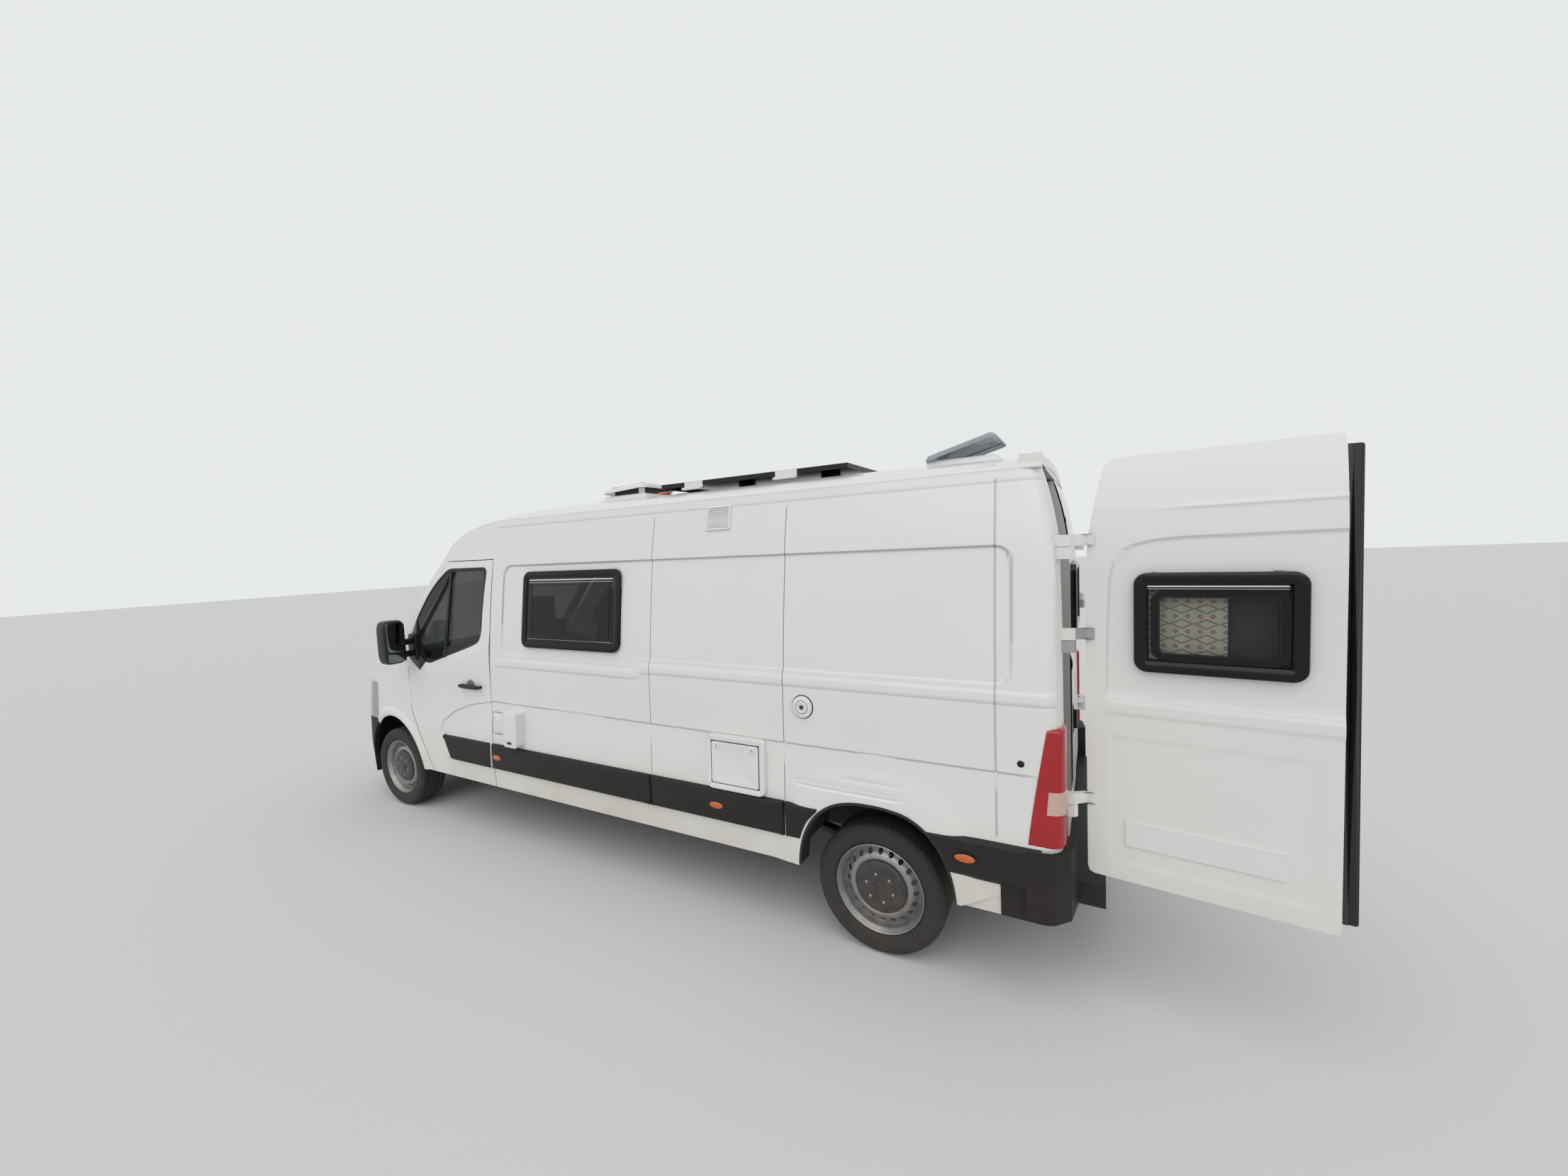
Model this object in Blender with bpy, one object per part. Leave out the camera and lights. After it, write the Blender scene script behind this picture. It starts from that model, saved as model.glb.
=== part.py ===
"""Long high-roof panel van converted to a camper, as separate panels and running gear.

Metres, +Z up, +X forwards, +Y to the van's left. While the pieces are worked out, x is 0 at the
front axle and z is 0 on the ground. At the end every piece hangs on a root empty that is moved so
that the origin is on the ground under the middle of the whole outline.
"""
import math

import bpy
import bmesh
import numpy as np
from mathutils import Matrix, Vector

for item in list(bpy.data.objects):
    bpy.data.objects.remove(item, do_unlink=True)

# Clearances
SEAT = 0.0003
CLEAR = 0.006
OVER = 0.03
SINK = 0.004
FLAT_ANGLE = 0.0004

# Wheels and tyres
WHEELBASE = 4.332
TYRE_RADIUS = 0.335
TYRE_WIDTH = 0.212
RIM_RADIUS = 0.218
RIM_WIDTH = 0.186
FRONT_TRACK = 1.750
REAR_TRACK = 1.730
FRONT_ARCH = 0.500
REAR_ARCH_LONG = 0.405
REAR_ARCH_HIGH = 0.480
ARCH_CENTRE_Z = 0.330

# Heights and half widths of the lines along the body side
SILL_Z = 0.410
RUB_LOW_Z = 0.555
RUB_TOP_Z = 0.742
CREASE_Z = 1.066
BELT_Z = 1.366
GUTTER_Z = 2.046
EDGE_Z = 2.370
SILL_Y = 1.020
RUB_LOW_Y = 1.025
RUB_TOP_Y = 1.024
CREASE_Y = 1.008
BELT_Y = 0.995
GUTTER_Y = 0.910
EDGE_Y = 0.842
WALL = 0.060
ROOF_WALL = 0.045

# Columns: height, half width
BODY_LINES = (
    (SILL_Z, SILL_Y),
    (RUB_LOW_Z, RUB_LOW_Y),
    (RUB_TOP_Z, RUB_TOP_Y),
    (CREASE_Z, CREASE_Y),
    (BELT_Z, BELT_Y),
    (GUTTER_Z, GUTTER_Y),
    (EDGE_Z, EDGE_Y),
)
LINE_Z = np.array([line[0] for line in BODY_LINES])
LINE_Y = np.array([line[1] for line in BODY_LINES])

# Plan of the body: taper to the nose, rounded rear corners
TAPER_START_X = -1.400
NOSE_END_X = 0.700
NOSE_TAPER = 0.200
TAPER_POWER = 5.0
REAR_X = -5.172
REAR_LEAN = 0.075
LEAN_START_Z = 1.900
REAR_RADIUS = 0.080

# Windscreen and roof
SCREEN_BASE_X = 0.300
SCREEN_BASE_Z = 1.270
SCREEN_DROP = 0.240
SCREEN_TOP_Z = EDGE_Z - SCREEN_DROP
SCREEN_RAKE = 1.040
SCREEN_BOW = 0.160
BOW_Y = 0.850
ROOF_CROWN = 0.120
ROOF_TOP_Z = EDGE_Z + ROOF_CROWN
SCREEN_FRAME = 0.050
FRAME_GAP = 0.00096
SCREEN_BORDER = 0.075
GLASS = 0.006

# Doors
DOOR_LEAD_X = -0.330
DOOR_REAR_X = -1.397
DOOR_FOOT_X = -0.610
DOOR_BEND_Z = 0.900
DOOR_TOP_Z = 2.085
DOOR_RADIUS = 0.040
PILLAR = 0.105
SLIDING_FRONT_X = -1.440
SLIDING_REAR_X = -2.790
SLIDING_LOW_Z = 0.450
SLIDING_TOP_Z = 2.300

# Rear doors
REAR_EDGE_Y = 0.820
REAR_EDGE_TOP_Y = 0.745
REAR_EDGE_BEND_Z = 2.020
REAR_LOW_Z = 0.585
REAR_RISE = 0.015
REAR_TOP_Z = EDGE_Z + REAR_RISE
REAR_DOOR_T = 0.060
REAR_HINGE_BACK = 0.040
REAR_HINGE_Y = 0.862
REAR_REST_DEG = 97.0
PILLAR_DEPTH = 0.100

# Floor
FLOOR_TOP_Z = 0.560
FLOOR_T = 0.050
FLOOR_FRONT_X = -0.560
RAIL_Y = 0.480
RAIL_WIDTH = 0.070
RAIL_DEPTH = 0.110
CROSS_PLACES = (-1.30, -2.70, -3.70, -4.95)
BOX_INNER_Y = 0.680
BOX_T = 0.025
LIP = 0.005
LIP_DROP = 0.020
ROOF_SEAT_SHARE = 0.90
SCREEN_SHARES = (-1.0, -0.75, -0.4, 0.0, 0.4, 0.75, 1.0)
HATCH_RIM = 0.040
HATCH_GAP = 0.012

# Bulkhead and dashboard
BULKHEAD_X = -0.080
BULKHEAD_T = 0.030
BULKHEAD_LOW_Z = 0.760
DASH_LOW_Z = 0.860
DASH_DEEP = 0.340

# Nose
BUMPER_LOW_Z = 0.215
BUMPER_MID_Z = 0.480
GRILLE_LOW_Z = 0.730
LAMP_MID_Z = 0.900
GRILLE_TOP_Z = 1.050
BUMPER_T = 0.035
GRILLE_T = 0.030
GRILLE_SLATS = 6
INTAKE_HALF = 0.420
INTAKE_PITCH = 0.070
LAMP_IN_SHARE = 0.50
NOSE_ROWS_Z = (BUMPER_LOW_Z, BUMPER_MID_Z, GRILLE_LOW_Z, LAMP_MID_Z, GRILLE_TOP_Z)
NOSE_REACH = (0.480, 0.542, 0.510, 0.480, 0.430)
NOSE_SQUARE = 3.0
BONNET_HALF = 0.780
BONNET_POWER = 1.6
BONNET_SIDE_DROP = 0.020
BONNET_T = 0.020
WING_TOP_Z = 1.280
BONNET_HINGE_PLACES = (-0.55, 0.50)
BARREL_LONG = 0.045

# Cab door details
DOOR_BORDER = 0.085
CAB_GLASS_LOW_Z = 1.500
CAB_GLASS_DROP = 0.180
MIRROR_X = -0.445
MIRROR_IN_Y = 1.075
MIRROR_OUT_Y = 1.235
MIRROR_LOW_Z = 1.300
MIRROR_TOP_Z = 1.645
MIRROR_RIM = 0.030
MIRROR_DEEP = 0.090

# Rear face
REAR_GAP_Y = 0.006
REAR_ROWS = (SILL_Z, LEAN_START_Z, LEAN_START_Z + 0.16, LEAN_START_Z + 0.32, EDGE_Z)
REAR_WINDOW_IN_Y = 0.110
REAR_WINDOW_OUT_Y = 0.640
REAR_WINDOW_LOW_Z = 1.510
REAR_WINDOW_TOP_Z = 1.905
REAR_BUMPER_FRONT_X = -5.030
REAR_STEP_X = -5.330
LAMP_FRONT_X = -5.045
LAMP_BACK_X = -5.185
LAMP_LOW_Z = 0.755
LAMP_TOP_Z = 1.235
RUB_LIFT = 0.024
BUMPER_REACH = 0.050
BUMPER_LAP = 0.030
BUMPER_CORNER = 0.040
BUMPER_SKIRT = 0.130
STEP_DROP = 0.055
LAMP_SLOPE = 0.050
LAMP_INSET = 0.022
LAMP_LIFT = 0.010

# Wheels, hubs and springs
WHEEL_SIDES = 30
HUB_RADIUS = 0.075
DISC_IN = 0.030
DISC_OUT = 0.060
DISC_R = 0.140
CAP_R = 0.055
CAP_OUT = 0.100
STRUT_RADIUS = 0.026
ARM_TOP_Z = 0.230
TOWER_Z = 0.800
SPRING_HALF = 0.620
SPRING_LOW_Z = 0.270
SPRING_T = 0.030
SPRING_EYE = 0.040

# Cab inside
WHEEL_HUB_Z = 1.170
STEER_RADIUS = 0.190
STEER_GRIP = 0.014
STEER_HUB = 0.045
HUB_DEEP = 0.045
COLUMN_LONG = 0.320
COLUMN_RADIUS = 0.035
SEAT_Y = 0.470
SEAT_HALF = 0.245
SEAT_FRONT_X = -0.640
SEAT_BACK_X = -1.120
SEAT_PAN_Z = 0.960
SEAT_BACK_Z = 1.560

# Roof equipment
SOLAR_FRONT_X = -2.680
SOLAR_LONG = 1.380
SOLAR_REAR_X = SOLAR_FRONT_X - SOLAR_LONG
SOLAR_Y = 0.160
SOLAR_HALF = 0.330
SOLAR_T = 0.035
SOLAR_LIFT = 0.030
SOLAR_FOOT = 0.150
FAN_SPACE = 0.260
FAN_LONG = 0.470
FAN_REAR_X = SOLAR_FRONT_X + FAN_SPACE
FAN_FRONT_X = FAN_REAR_X + FAN_LONG
FAN_Y = 0.150
FAN_HALF = 0.220
FAN_TALL = 0.120
FAN_SKIRT = 0.050
FAN_INSET = 0.010
FAN_SLOPE = 0.040
EAR_LONG = 0.030
EAR_PLACES = (-0.20, 0.15)
LUG_HALF = 0.008
LUG_REACH = 0.050

# Engine, tank, exhaust and axle members
SUBFRAME_HALF = 0.440
SUBFRAME_IN = 0.400
SUBFRAME_REAR_X = -0.420
SUBFRAME_FRONT_X = 0.100
MEMBER_HALF = 0.030
ARM_T = 0.025
ARM_REAR_X = -0.300
ARM_FRONT_X = 0.060
POST_BACK = 0.160
POST_DEEP = 0.080
BOSS_RADIUS = 0.045
AXLE_RADIUS = 0.040
ENGINE_REAR_X = 0.110
ENGINE_LONG = 0.510
ENGINE_HALF = 0.380
ENGINE_LOW_Z = 0.280
ENGINE_TOP_Z = 0.920
ENGINE_FOOT = 0.060
TANK_FRONT_X = -1.550
TANK_REAR_X = -2.550
TANK_LOW_Z = 0.240
TANK_RIGHT_Y = -0.400
TANK_LEFT_Y = 0.360
PIPE_Y = -0.600
PIPE_Z = 0.360
PIPE_RADIUS = 0.028
PIPE_FRONT_X = -0.700
PIPE_REAR_X = -3.550
SILENCER_FRONT_X = -2.750
SILENCER_REAR_X = -3.400
SILENCER_RADIUS = 0.085
TAIL_OUT_Y = -0.860
HANGER = 0.020
HANGER_PLACES = (-0.80, -3.10)
JACK_X = -2.150
JACK_LONG = 0.160
JACK_DEEP = 0.014

# Pressed recess along the body side and in the rear doors, and the strips on them
RECESS_FRONT_X = -1.530
RECESS_REAR_X = -4.980
RECESS_LOW_Z = BELT_Z + 0.006
RECESS_TOP_Z = 2.040
RECESS_RADIUS = 0.070
RECESS_DEEP = 0.012
REAR_RECESS_Y = 0.745
REAR_RECESS_TOP_Z = 2.050
REAR_RECESS_DEEP = 0.008
CAB_STRIP_FRONT_X = -0.800
INLET_FRONT_X = -1.620
INLET_REAR_X = -1.760
INLET_LOW_Z = 0.765
INLET_TOP_Z = 1.015
INLET_DEEP = 0.070


# Small helpers


def look(name, colour, roughness, metallic=0.0):
    """One Principled material."""
    material = bpy.data.materials.new(name)
    material.use_nodes = True
    shader = material.node_tree.nodes["Principled BSDF"]
    shader.inputs["Base Color"].default_value = (*colour, 1.0)
    shader.inputs["Roughness"].default_value = roughness
    shader.inputs["Metallic"].default_value = metallic
    material.diffuse_color = (*colour, 1.0)
    return material


WHITE = look("white_paint", (0.80, 0.80, 0.79), 0.35)
BLACK = look("dark_moulding", (0.035, 0.032, 0.031), 0.55)
GLASS_LOOK = look("tinted_glass", (0.05, 0.07, 0.07), 0.08)
STEEL = look("silver_steel", (0.45, 0.46, 0.47), 0.40, 0.8)
IRON = look("chassis_iron", (0.06, 0.06, 0.06), 0.70, 0.4)
RUBBER = look("tyre_rubber", (0.03, 0.03, 0.03), 0.85)
RED = look("lamp_red", (0.45, 0.02, 0.02), 0.20)
CLEAR_LENS = look("lamp_clear", (0.75, 0.77, 0.78), 0.12)
TRIM = look("grey_trim", (0.16, 0.16, 0.17), 0.70)
CLOTH = look("seat_cloth", (0.12, 0.12, 0.13), 0.90)
PANEL = look("solar_cells", (0.02, 0.025, 0.05), 0.15)

NODES = []


def solid(name, points, faces):
    """One mesh object from points and faces, its faces turned outwards."""
    mesh = bpy.data.meshes.new(name)
    mesh.from_pydata([tuple(point) for point in points], [], faces)
    shape = bmesh.new()
    shape.from_mesh(mesh)
    bmesh.ops.remove_doubles(shape, verts=shape.verts, dist=1e-6)
    bmesh.ops.recalc_face_normals(shape, faces=shape.faces)
    shape.to_mesh(mesh)
    shape.free()
    piece = bpy.data.objects.new(name, mesh)
    bpy.context.scene.collection.objects.link(piece)
    return piece


def slab(name, outer, inner):
    """Closed panel between two matching grids of points, rows by columns."""
    outer = np.asarray(outer, float)
    inner = np.asarray(inner, float)
    rows, cols = outer.shape[:2]
    points = np.concatenate([outer.reshape(-1, 3), inner.reshape(-1, 3)])
    half = rows * cols
    faces = []
    for i in range(rows - 1):
        for j in range(cols - 1):
            a = i * cols + j
            for triangle in ((a, a + 1, a + cols + 1), (a, a + cols + 1, a + cols)):
                faces.append(triangle)
                faces.append(tuple(half + k for k in reversed(triangle)))
    edge = [j for j in range(cols)]
    edge += [i * cols + cols - 1 for i in range(1, rows)]
    edge += [(rows - 1) * cols + j for j in range(cols - 2, -1, -1)]
    edge += [i * cols for i in range(rows - 2, 0, -1)]
    for k, a in enumerate(edge):
        b = edge[(k + 1) % len(edge)]
        faces.append((b, a, half + a, half + b))
    return solid(name, points, faces)


def prism(name, outline, plane, low, high):
    """Closed prism: an outline in one plane, pushed from low to high across it."""
    order = {"xz": (0, 2, 1), "xy": (0, 1, 2), "yz": (1, 2, 0)}[plane]
    count = len(outline)
    points = []
    for level in (low, high):
        for first, second in outline:
            point = [0.0, 0.0, 0.0]
            point[order[0]] = first
            point[order[1]] = second
            point[order[2]] = level
            points.append(point)
    faces = [tuple(range(count)), tuple(range(2 * count - 1, count - 1, -1))]
    for k in range(count):
        n = (k + 1) % count
        faces.append((k, n, count + n, count + k))
    return solid(name, points, faces)


def block(name, low, high):
    """Box between two corners."""
    outline = ((low[0], low[1]), (high[0], low[1]), (high[0], high[1]), (low[0], high[1]))
    return prism(name, outline, "xy", low[2], high[2])


def rounded(x0, x1, z0, z1, radius, steps=4):
    """Outline of a rectangle with round corners."""
    points = []
    corners = ((x1 - radius, z1 - radius, 0), (x0 + radius, z1 - radius, 1),
               (x0 + radius, z0 + radius, 2), (x1 - radius, z0 + radius, 3))
    for cx, cz, quarter in corners:
        for k in range(steps + 1):
            angle = math.pi / 2 * (quarter + k / steps)
            points.append((cx + radius * math.cos(angle), cz + radius * math.sin(angle)))
    return points


def grown(outline, gap):
    """The outline pushed outwards by gap, corner by corner."""
    points = [Vector(point) for point in outline]
    area = sum(a.x * b.y - b.x * a.y for a, b in zip(points, points[1:] + points[:1]))
    turn = 1.0 if area > 0 else -1.0
    result = []
    count = len(points)
    for k in range(count):
        before = (points[k] - points[k - 1]).normalized()
        after = (points[(k + 1) % count] - points[k]).normalized()
        out_before = Vector((before.y, -before.x)) * turn
        out_after = Vector((after.y, -after.x)) * turn
        middle = (out_before + out_after).normalized()
        reach = gap / max(middle.dot(out_before), 0.3)
        result.append(tuple(points[k] + middle * reach))
    return result


def turned(name, profile, segments, centre, closed=True):
    """Profile of (radius, y) pairs turned round an axis along Y through centre."""
    rings = []
    for radius, y in profile:
        for k in range(segments):
            angle = 2 * math.pi * k / segments - math.pi / 2
            rings.append((centre[0] + radius * math.cos(angle), centre[1] + y,
                          centre[2] + radius * math.sin(angle)))
    faces = []
    count = len(profile)
    last = count if closed else count - 1
    for i in range(last):
        n = (i + 1) % count
        if profile[i][0] == 0.0 and profile[n][0] == 0.0:
            continue
        for k in range(segments):
            m = (k + 1) % segments
            faces.append((i * segments + k, i * segments + m, n * segments + m, n * segments + k))
    if not closed:
        faces.append(tuple(range(segments)))
        faces.append(tuple(range((count - 1) * segments, count * segments)))
    return solid(name, rings, faces)


def rod(name, start, end, radius, sides=12):
    """Round bar between two points."""
    start = Vector(start)
    end = Vector(end)
    along = (end - start).normalized()
    across = along.orthogonal().normalized()
    third = along.cross(across)
    points = []
    for place in (start, end):
        for k in range(sides):
            angle = 2 * math.pi * k / sides
            points.append(place + (across * math.cos(angle) + third * math.sin(angle)) * radius)
    faces = [tuple(range(sides)), tuple(range(2 * sides - 1, sides - 1, -1))]
    for k in range(sides):
        n = (k + 1) % sides
        faces.append((k, n, sides + n, sides + k))
    return solid(name, points, faces)


def combine(piece, tool, operation):
    """Boolean with the exact solver, kept as plain mesh; the tool is used up."""
    modifier = piece.modifiers.new(operation.lower(), "BOOLEAN")
    modifier.operation = operation
    modifier.object = tool
    modifier.solver = "EXACT"
    graph = bpy.context.evaluated_depsgraph_get()
    mesh = bpy.data.meshes.new_from_object(piece.evaluated_get(graph))
    piece.modifiers.clear()
    piece.data = mesh
    bpy.data.objects.remove(tool, do_unlink=True)
    return piece


def cut(piece, *tools):
    """Take tools out of a piece."""
    for tool in tools:
        combine(piece, tool, "DIFFERENCE")
    return piece


def join(piece, *tools):
    """Weld tools to a piece."""
    for tool in tools:
        combine(piece, tool, "UNION")
    return piece


def keep(piece, tool):
    """Keep only what lies inside the tool."""
    return combine(piece, tool, "INTERSECT")


def node(piece, name, material, body="van"):
    """Name a finished piece, colour it and say which body carries it."""
    piece.name = name
    shape = bmesh.new()
    shape.from_mesh(piece.data)
    bmesh.ops.dissolve_limit(shape, angle_limit=FLAT_ANGLE, verts=shape.verts, edges=shape.edges)
    shape.to_mesh(piece.data)
    shape.free()
    piece.data.materials.clear()
    piece.data.materials.append(material)
    NODES.append((piece, body))
    return piece


def mirrored(piece, name):
    """A copy of a piece on the van's other side."""
    mesh = piece.data.copy()
    mesh.transform(Matrix.Scale(-1.0, 4, (0.0, 1.0, 0.0)))
    mesh.flip_normals()
    twin = bpy.data.objects.new(name, mesh)
    bpy.context.scene.collection.objects.link(twin)
    return twin


# The body's surfaces, as functions


def rear_x(z):
    """Rear face of the body: upright, then leaning forwards above the windows."""
    share = max(0.0, (z - LEAN_START_Z) / (EDGE_Z - LEAN_START_Z))
    return REAR_X + REAR_LEAN * share ** 2


def side_y(x, z):
    """Half width of the body at a place along it and a height."""
    width = float(np.interp(z, LINE_Z, LINE_Y))
    share = max(0.0, (x - TAPER_START_X) / (NOSE_END_X - TAPER_START_X))
    width -= NOSE_TAPER * share ** TAPER_POWER
    turn = min(1.0, max(0.0, (rear_x(z) + REAR_RADIUS - x) / REAR_RADIUS))
    return width - REAR_RADIUS * (1.0 - math.sqrt(1.0 - turn * turn))


def screen_x(y, z):
    """Windscreen surface: raked, and bowed across the van."""
    return SCREEN_BASE_X - (z - SCREEN_BASE_Z) * SCREEN_RAKE - SCREEN_BOW * (y / BOW_Y) ** 2


# Roof stations. Columns: x at the middle, height at the middle, height at the edge, share of bow
ROOF_STATIONS = (
    (screen_x(0.0, SCREEN_TOP_Z), SCREEN_TOP_Z, SCREEN_TOP_Z - 0.020, 1.00),
    (screen_x(0.0, SCREEN_TOP_Z) - 0.14, SCREEN_TOP_Z + 0.14, EDGE_Z - 0.150, 0.80),
    (screen_x(0.0, SCREEN_TOP_Z) - 0.32, SCREEN_TOP_Z + 0.25, EDGE_Z - 0.075, 0.60),
    (screen_x(0.0, SCREEN_TOP_Z) - 0.55, ROOF_TOP_Z - 0.045, EDGE_Z - 0.025, 0.35),
    (screen_x(0.0, SCREEN_TOP_Z) - 0.80, ROOF_TOP_Z - 0.010, EDGE_Z, 0.10),
    (screen_x(0.0, SCREEN_TOP_Z) - 1.10, ROOF_TOP_Z, EDGE_Z, 0.00),
    (REAR_X + 0.90, ROOF_TOP_Z, EDGE_Z, 0.00),
    (rear_x(EDGE_Z) + REAR_RADIUS, ROOF_TOP_Z - 0.015, EDGE_Z, 0.00),
    (rear_x(EDGE_Z), ROOF_TOP_Z - 0.030, EDGE_Z, 0.00),
)
ROOF_SHARES = (1.0, 0.93, 0.80, 0.55, 0.28, 0.0, -0.28, -0.55, -0.80, -0.93, -1.0)


def front_edge_x(z):
    """Foremost x of the body side at a height: nose, windscreen edge, then the roof's brow."""
    heights = [SILL_Z, SCREEN_BASE_Z - 0.06, SCREEN_BASE_Z]
    places = [SCREEN_BASE_X, SCREEN_BASE_X]
    places.append(screen_x(side_y(0.0, SCREEN_BASE_Z), SCREEN_BASE_Z))
    for x, top, edge, bow in ROOF_STATIONS[:5]:
        y = float(np.interp(edge, LINE_Z, LINE_Y))
        heights.append(edge)
        places.append(x - bow * SCREEN_BOW * (y / BOW_Y) ** 2)
    return float(np.interp(z, heights, places))


SHEET_ROWS = sorted(set(
    [line[0] for line in BODY_LINES] + [SCREEN_BASE_Z - 0.06, SCREEN_BASE_Z]
    + [0.5 * (BELT_Z + GUTTER_Z)] + [station[2] for station in ROOF_STATIONS[:5]]))
FRONT_SHARES = (0.0, 0.12, 0.26, 0.44, 0.68, 1.0)


def jamb_y(z):
    """Inner edge of the rear pillar: the rear door's edge plus its gap."""
    share = max(0.0, (z - REAR_EDGE_BEND_Z) / (REAR_TOP_Z - REAR_EDGE_BEND_Z))
    return REAR_EDGE_Y + (REAR_EDGE_TOP_Y - REAR_EDGE_Y) * share + CLEAR


def side_sheet(side):
    """The whole body side as one thick sheet, before doors and arches are cut."""
    split = ROOF_STATIONS[5][0]
    outer = []
    inner = []
    for z in SHEET_ROWS:
        start = front_edge_x(z)
        back = rear_x(z)
        columns = [(start + (split - start) * share, WALL) for share in FRONT_SHARES]
        columns.append((back + PILLAR_DEPTH + SINK, WALL))
        columns.append((back + PILLAR_DEPTH, None))
        columns += [(back + REAR_RADIUS * share, None) for share in (1.0, 0.5, 0.2, 0.05, 0.0)]
        outer.append([(x, side * side_y(x, z), z) for x, wall in columns])
        row = []
        for x, wall in columns:
            y = side_y(x, z) - wall if wall else jamb_y(z)
            row.append((x, side * y, z))
        inner.append(row)
    return slab("side_sheet", outer, inner)


def side_prism(outline, side=1, deep=0.30, out=0.30):
    """Cutter through one side wall along Y."""
    low, high = SILL_Y - deep, SILL_Y + out
    if side < 0:
        low, high = -high, -low
    return prism("side_prism", outline, "xz", low, high)


def side_plate(name, outline, side, lift, depth):
    """Plate that follows the body side over an outline, from lift outside to depth inside."""
    xs = [point[0] for point in outline]
    zs = [point[1] for point in outline]
    low, high = min(zs) - OVER, max(zs) + OVER
    rows = [low] + [z for z in SHEET_ROWS if low < z < high] + [high]
    columns = (min(xs) - OVER, 0.5 * (min(xs) + max(xs)), max(xs) + OVER)
    outer = [[(x, side * (side_y(x, z) + lift), z) for x in columns] for z in rows]
    inner = [[(x, side * (side_y(x, z) - depth), z) for x in columns] for z in rows]
    return keep(slab(name, outer, inner), side_prism(outline, side))


# Cab door outline, seen from the side


def door_outline():
    """Door edge: foot behind the arch, front edge, windscreen pillar, top and rear edge."""
    top = screen_x(side_y(DOOR_LEAD_X, DOOR_TOP_Z), DOOR_TOP_Z) - PILLAR
    shoulder_z = SCREEN_BASE_Z + 0.21
    return [
        (DOOR_REAR_X, SILL_Z - OVER),
        (DOOR_FOOT_X, SILL_Z - OVER),
        (DOOR_LEAD_X, DOOR_BEND_Z),
        (DOOR_LEAD_X, shoulder_z),
        (top, DOOR_TOP_Z),
        (DOOR_REAR_X, DOOR_TOP_Z),
    ]


def arch_cutter():
    """Front arch: a round tunnel right through the van."""
    centre = (0.0, 0.0, ARCH_CENTRE_Z)
    profile = ((FRONT_ARCH, -2.0), (FRONT_ARCH, 2.0))
    return turned("arch", profile, 40, centre, closed=False)


def rear_arch_outline(grow=0.0):
    """Rear arch: a tall rounded opening over the rear axle."""
    points = []
    power = 2.0 / 2.5
    for k in range(25):
        angle = math.pi * k / 24
        c, s = math.cos(angle), math.sin(angle)
        points.append((-WHEELBASE + math.copysign(abs(c) ** power, c) * (REAR_ARCH_LONG + grow),
                       ARCH_CENTRE_Z + s ** power * (REAR_ARCH_HIGH + grow)))
    points.append((points[-1][0], SILL_Z - 0.2))
    points.append((points[0][0], SILL_Z - 0.2))
    return points


# Bodies that move. Columns: name, parent, pivot, axis, rest turn in degrees
LEAD_Y = side_y(DOOR_LEAD_X, DOOR_BEND_Z)
REAR_PIVOT_X = REAR_X - REAR_HINGE_BACK
KINGPIN_IN = 0.145
KINGPIN_Y = FRONT_TRACK / 2 - KINGPIN_IN
HATCH_SPACE = 0.370
HATCH_LONG = 0.420
HATCH_FRONT_X = SOLAR_REAR_X - HATCH_SPACE
HATCH_REAR_X = HATCH_FRONT_X - HATCH_LONG
HATCH_HALF = 0.225
HATCH_FRAME_Z = 0.040
HATCH_LID_T = 0.030
HATCH_REST_DEG = 15.0
HATCH_HINGE_Z = ROOF_TOP_Z + LIP + SEAT + HATCH_FRAME_Z
BONNET_HINGE_X = screen_x(0.0, SCREEN_BASE_Z) + 0.035
BONNET_HINGE_Z = SCREEN_BASE_Z - 0.005
SERVICE_FRONT_X = -3.395
SERVICE_REAR_X = -3.715
SERVICE_LOW_Z = 0.776
SERVICE_TOP_Z = 1.020
SERVICE_LIFT = 0.028
FLAP_FRONT_X = -1.412
FLAP_REAR_X = -1.530
FLAP_LOW_Z = 0.820
FLAP_TOP_Z = 0.970
PIN_RADIUS = 0.004
PIN_DEPTH = 0.005
PIN_INSET = 0.017
SMALL_CORNER = 0.012
SERVICE_PIVOT = (
    0.5 * (SERVICE_FRONT_X + SERVICE_REAR_X),
    side_y(SERVICE_FRONT_X, SERVICE_LOW_Z) + SERVICE_LIFT - PIN_DEPTH,
    SERVICE_LOW_Z + PIN_INSET,
)
FLAP_PIVOT = (
    FLAP_FRONT_X - PIN_INSET,
    side_y(FLAP_FRONT_X, 0.5 * (FLAP_LOW_Z + FLAP_TOP_Z)) - PIN_DEPTH,
    0.5 * (FLAP_LOW_Z + FLAP_TOP_Z),
)
WHEEL_HUB_X = -0.470
STEER_RAKE_DEG = 35.0
STEER_SIDE_Y = 0.440

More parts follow.
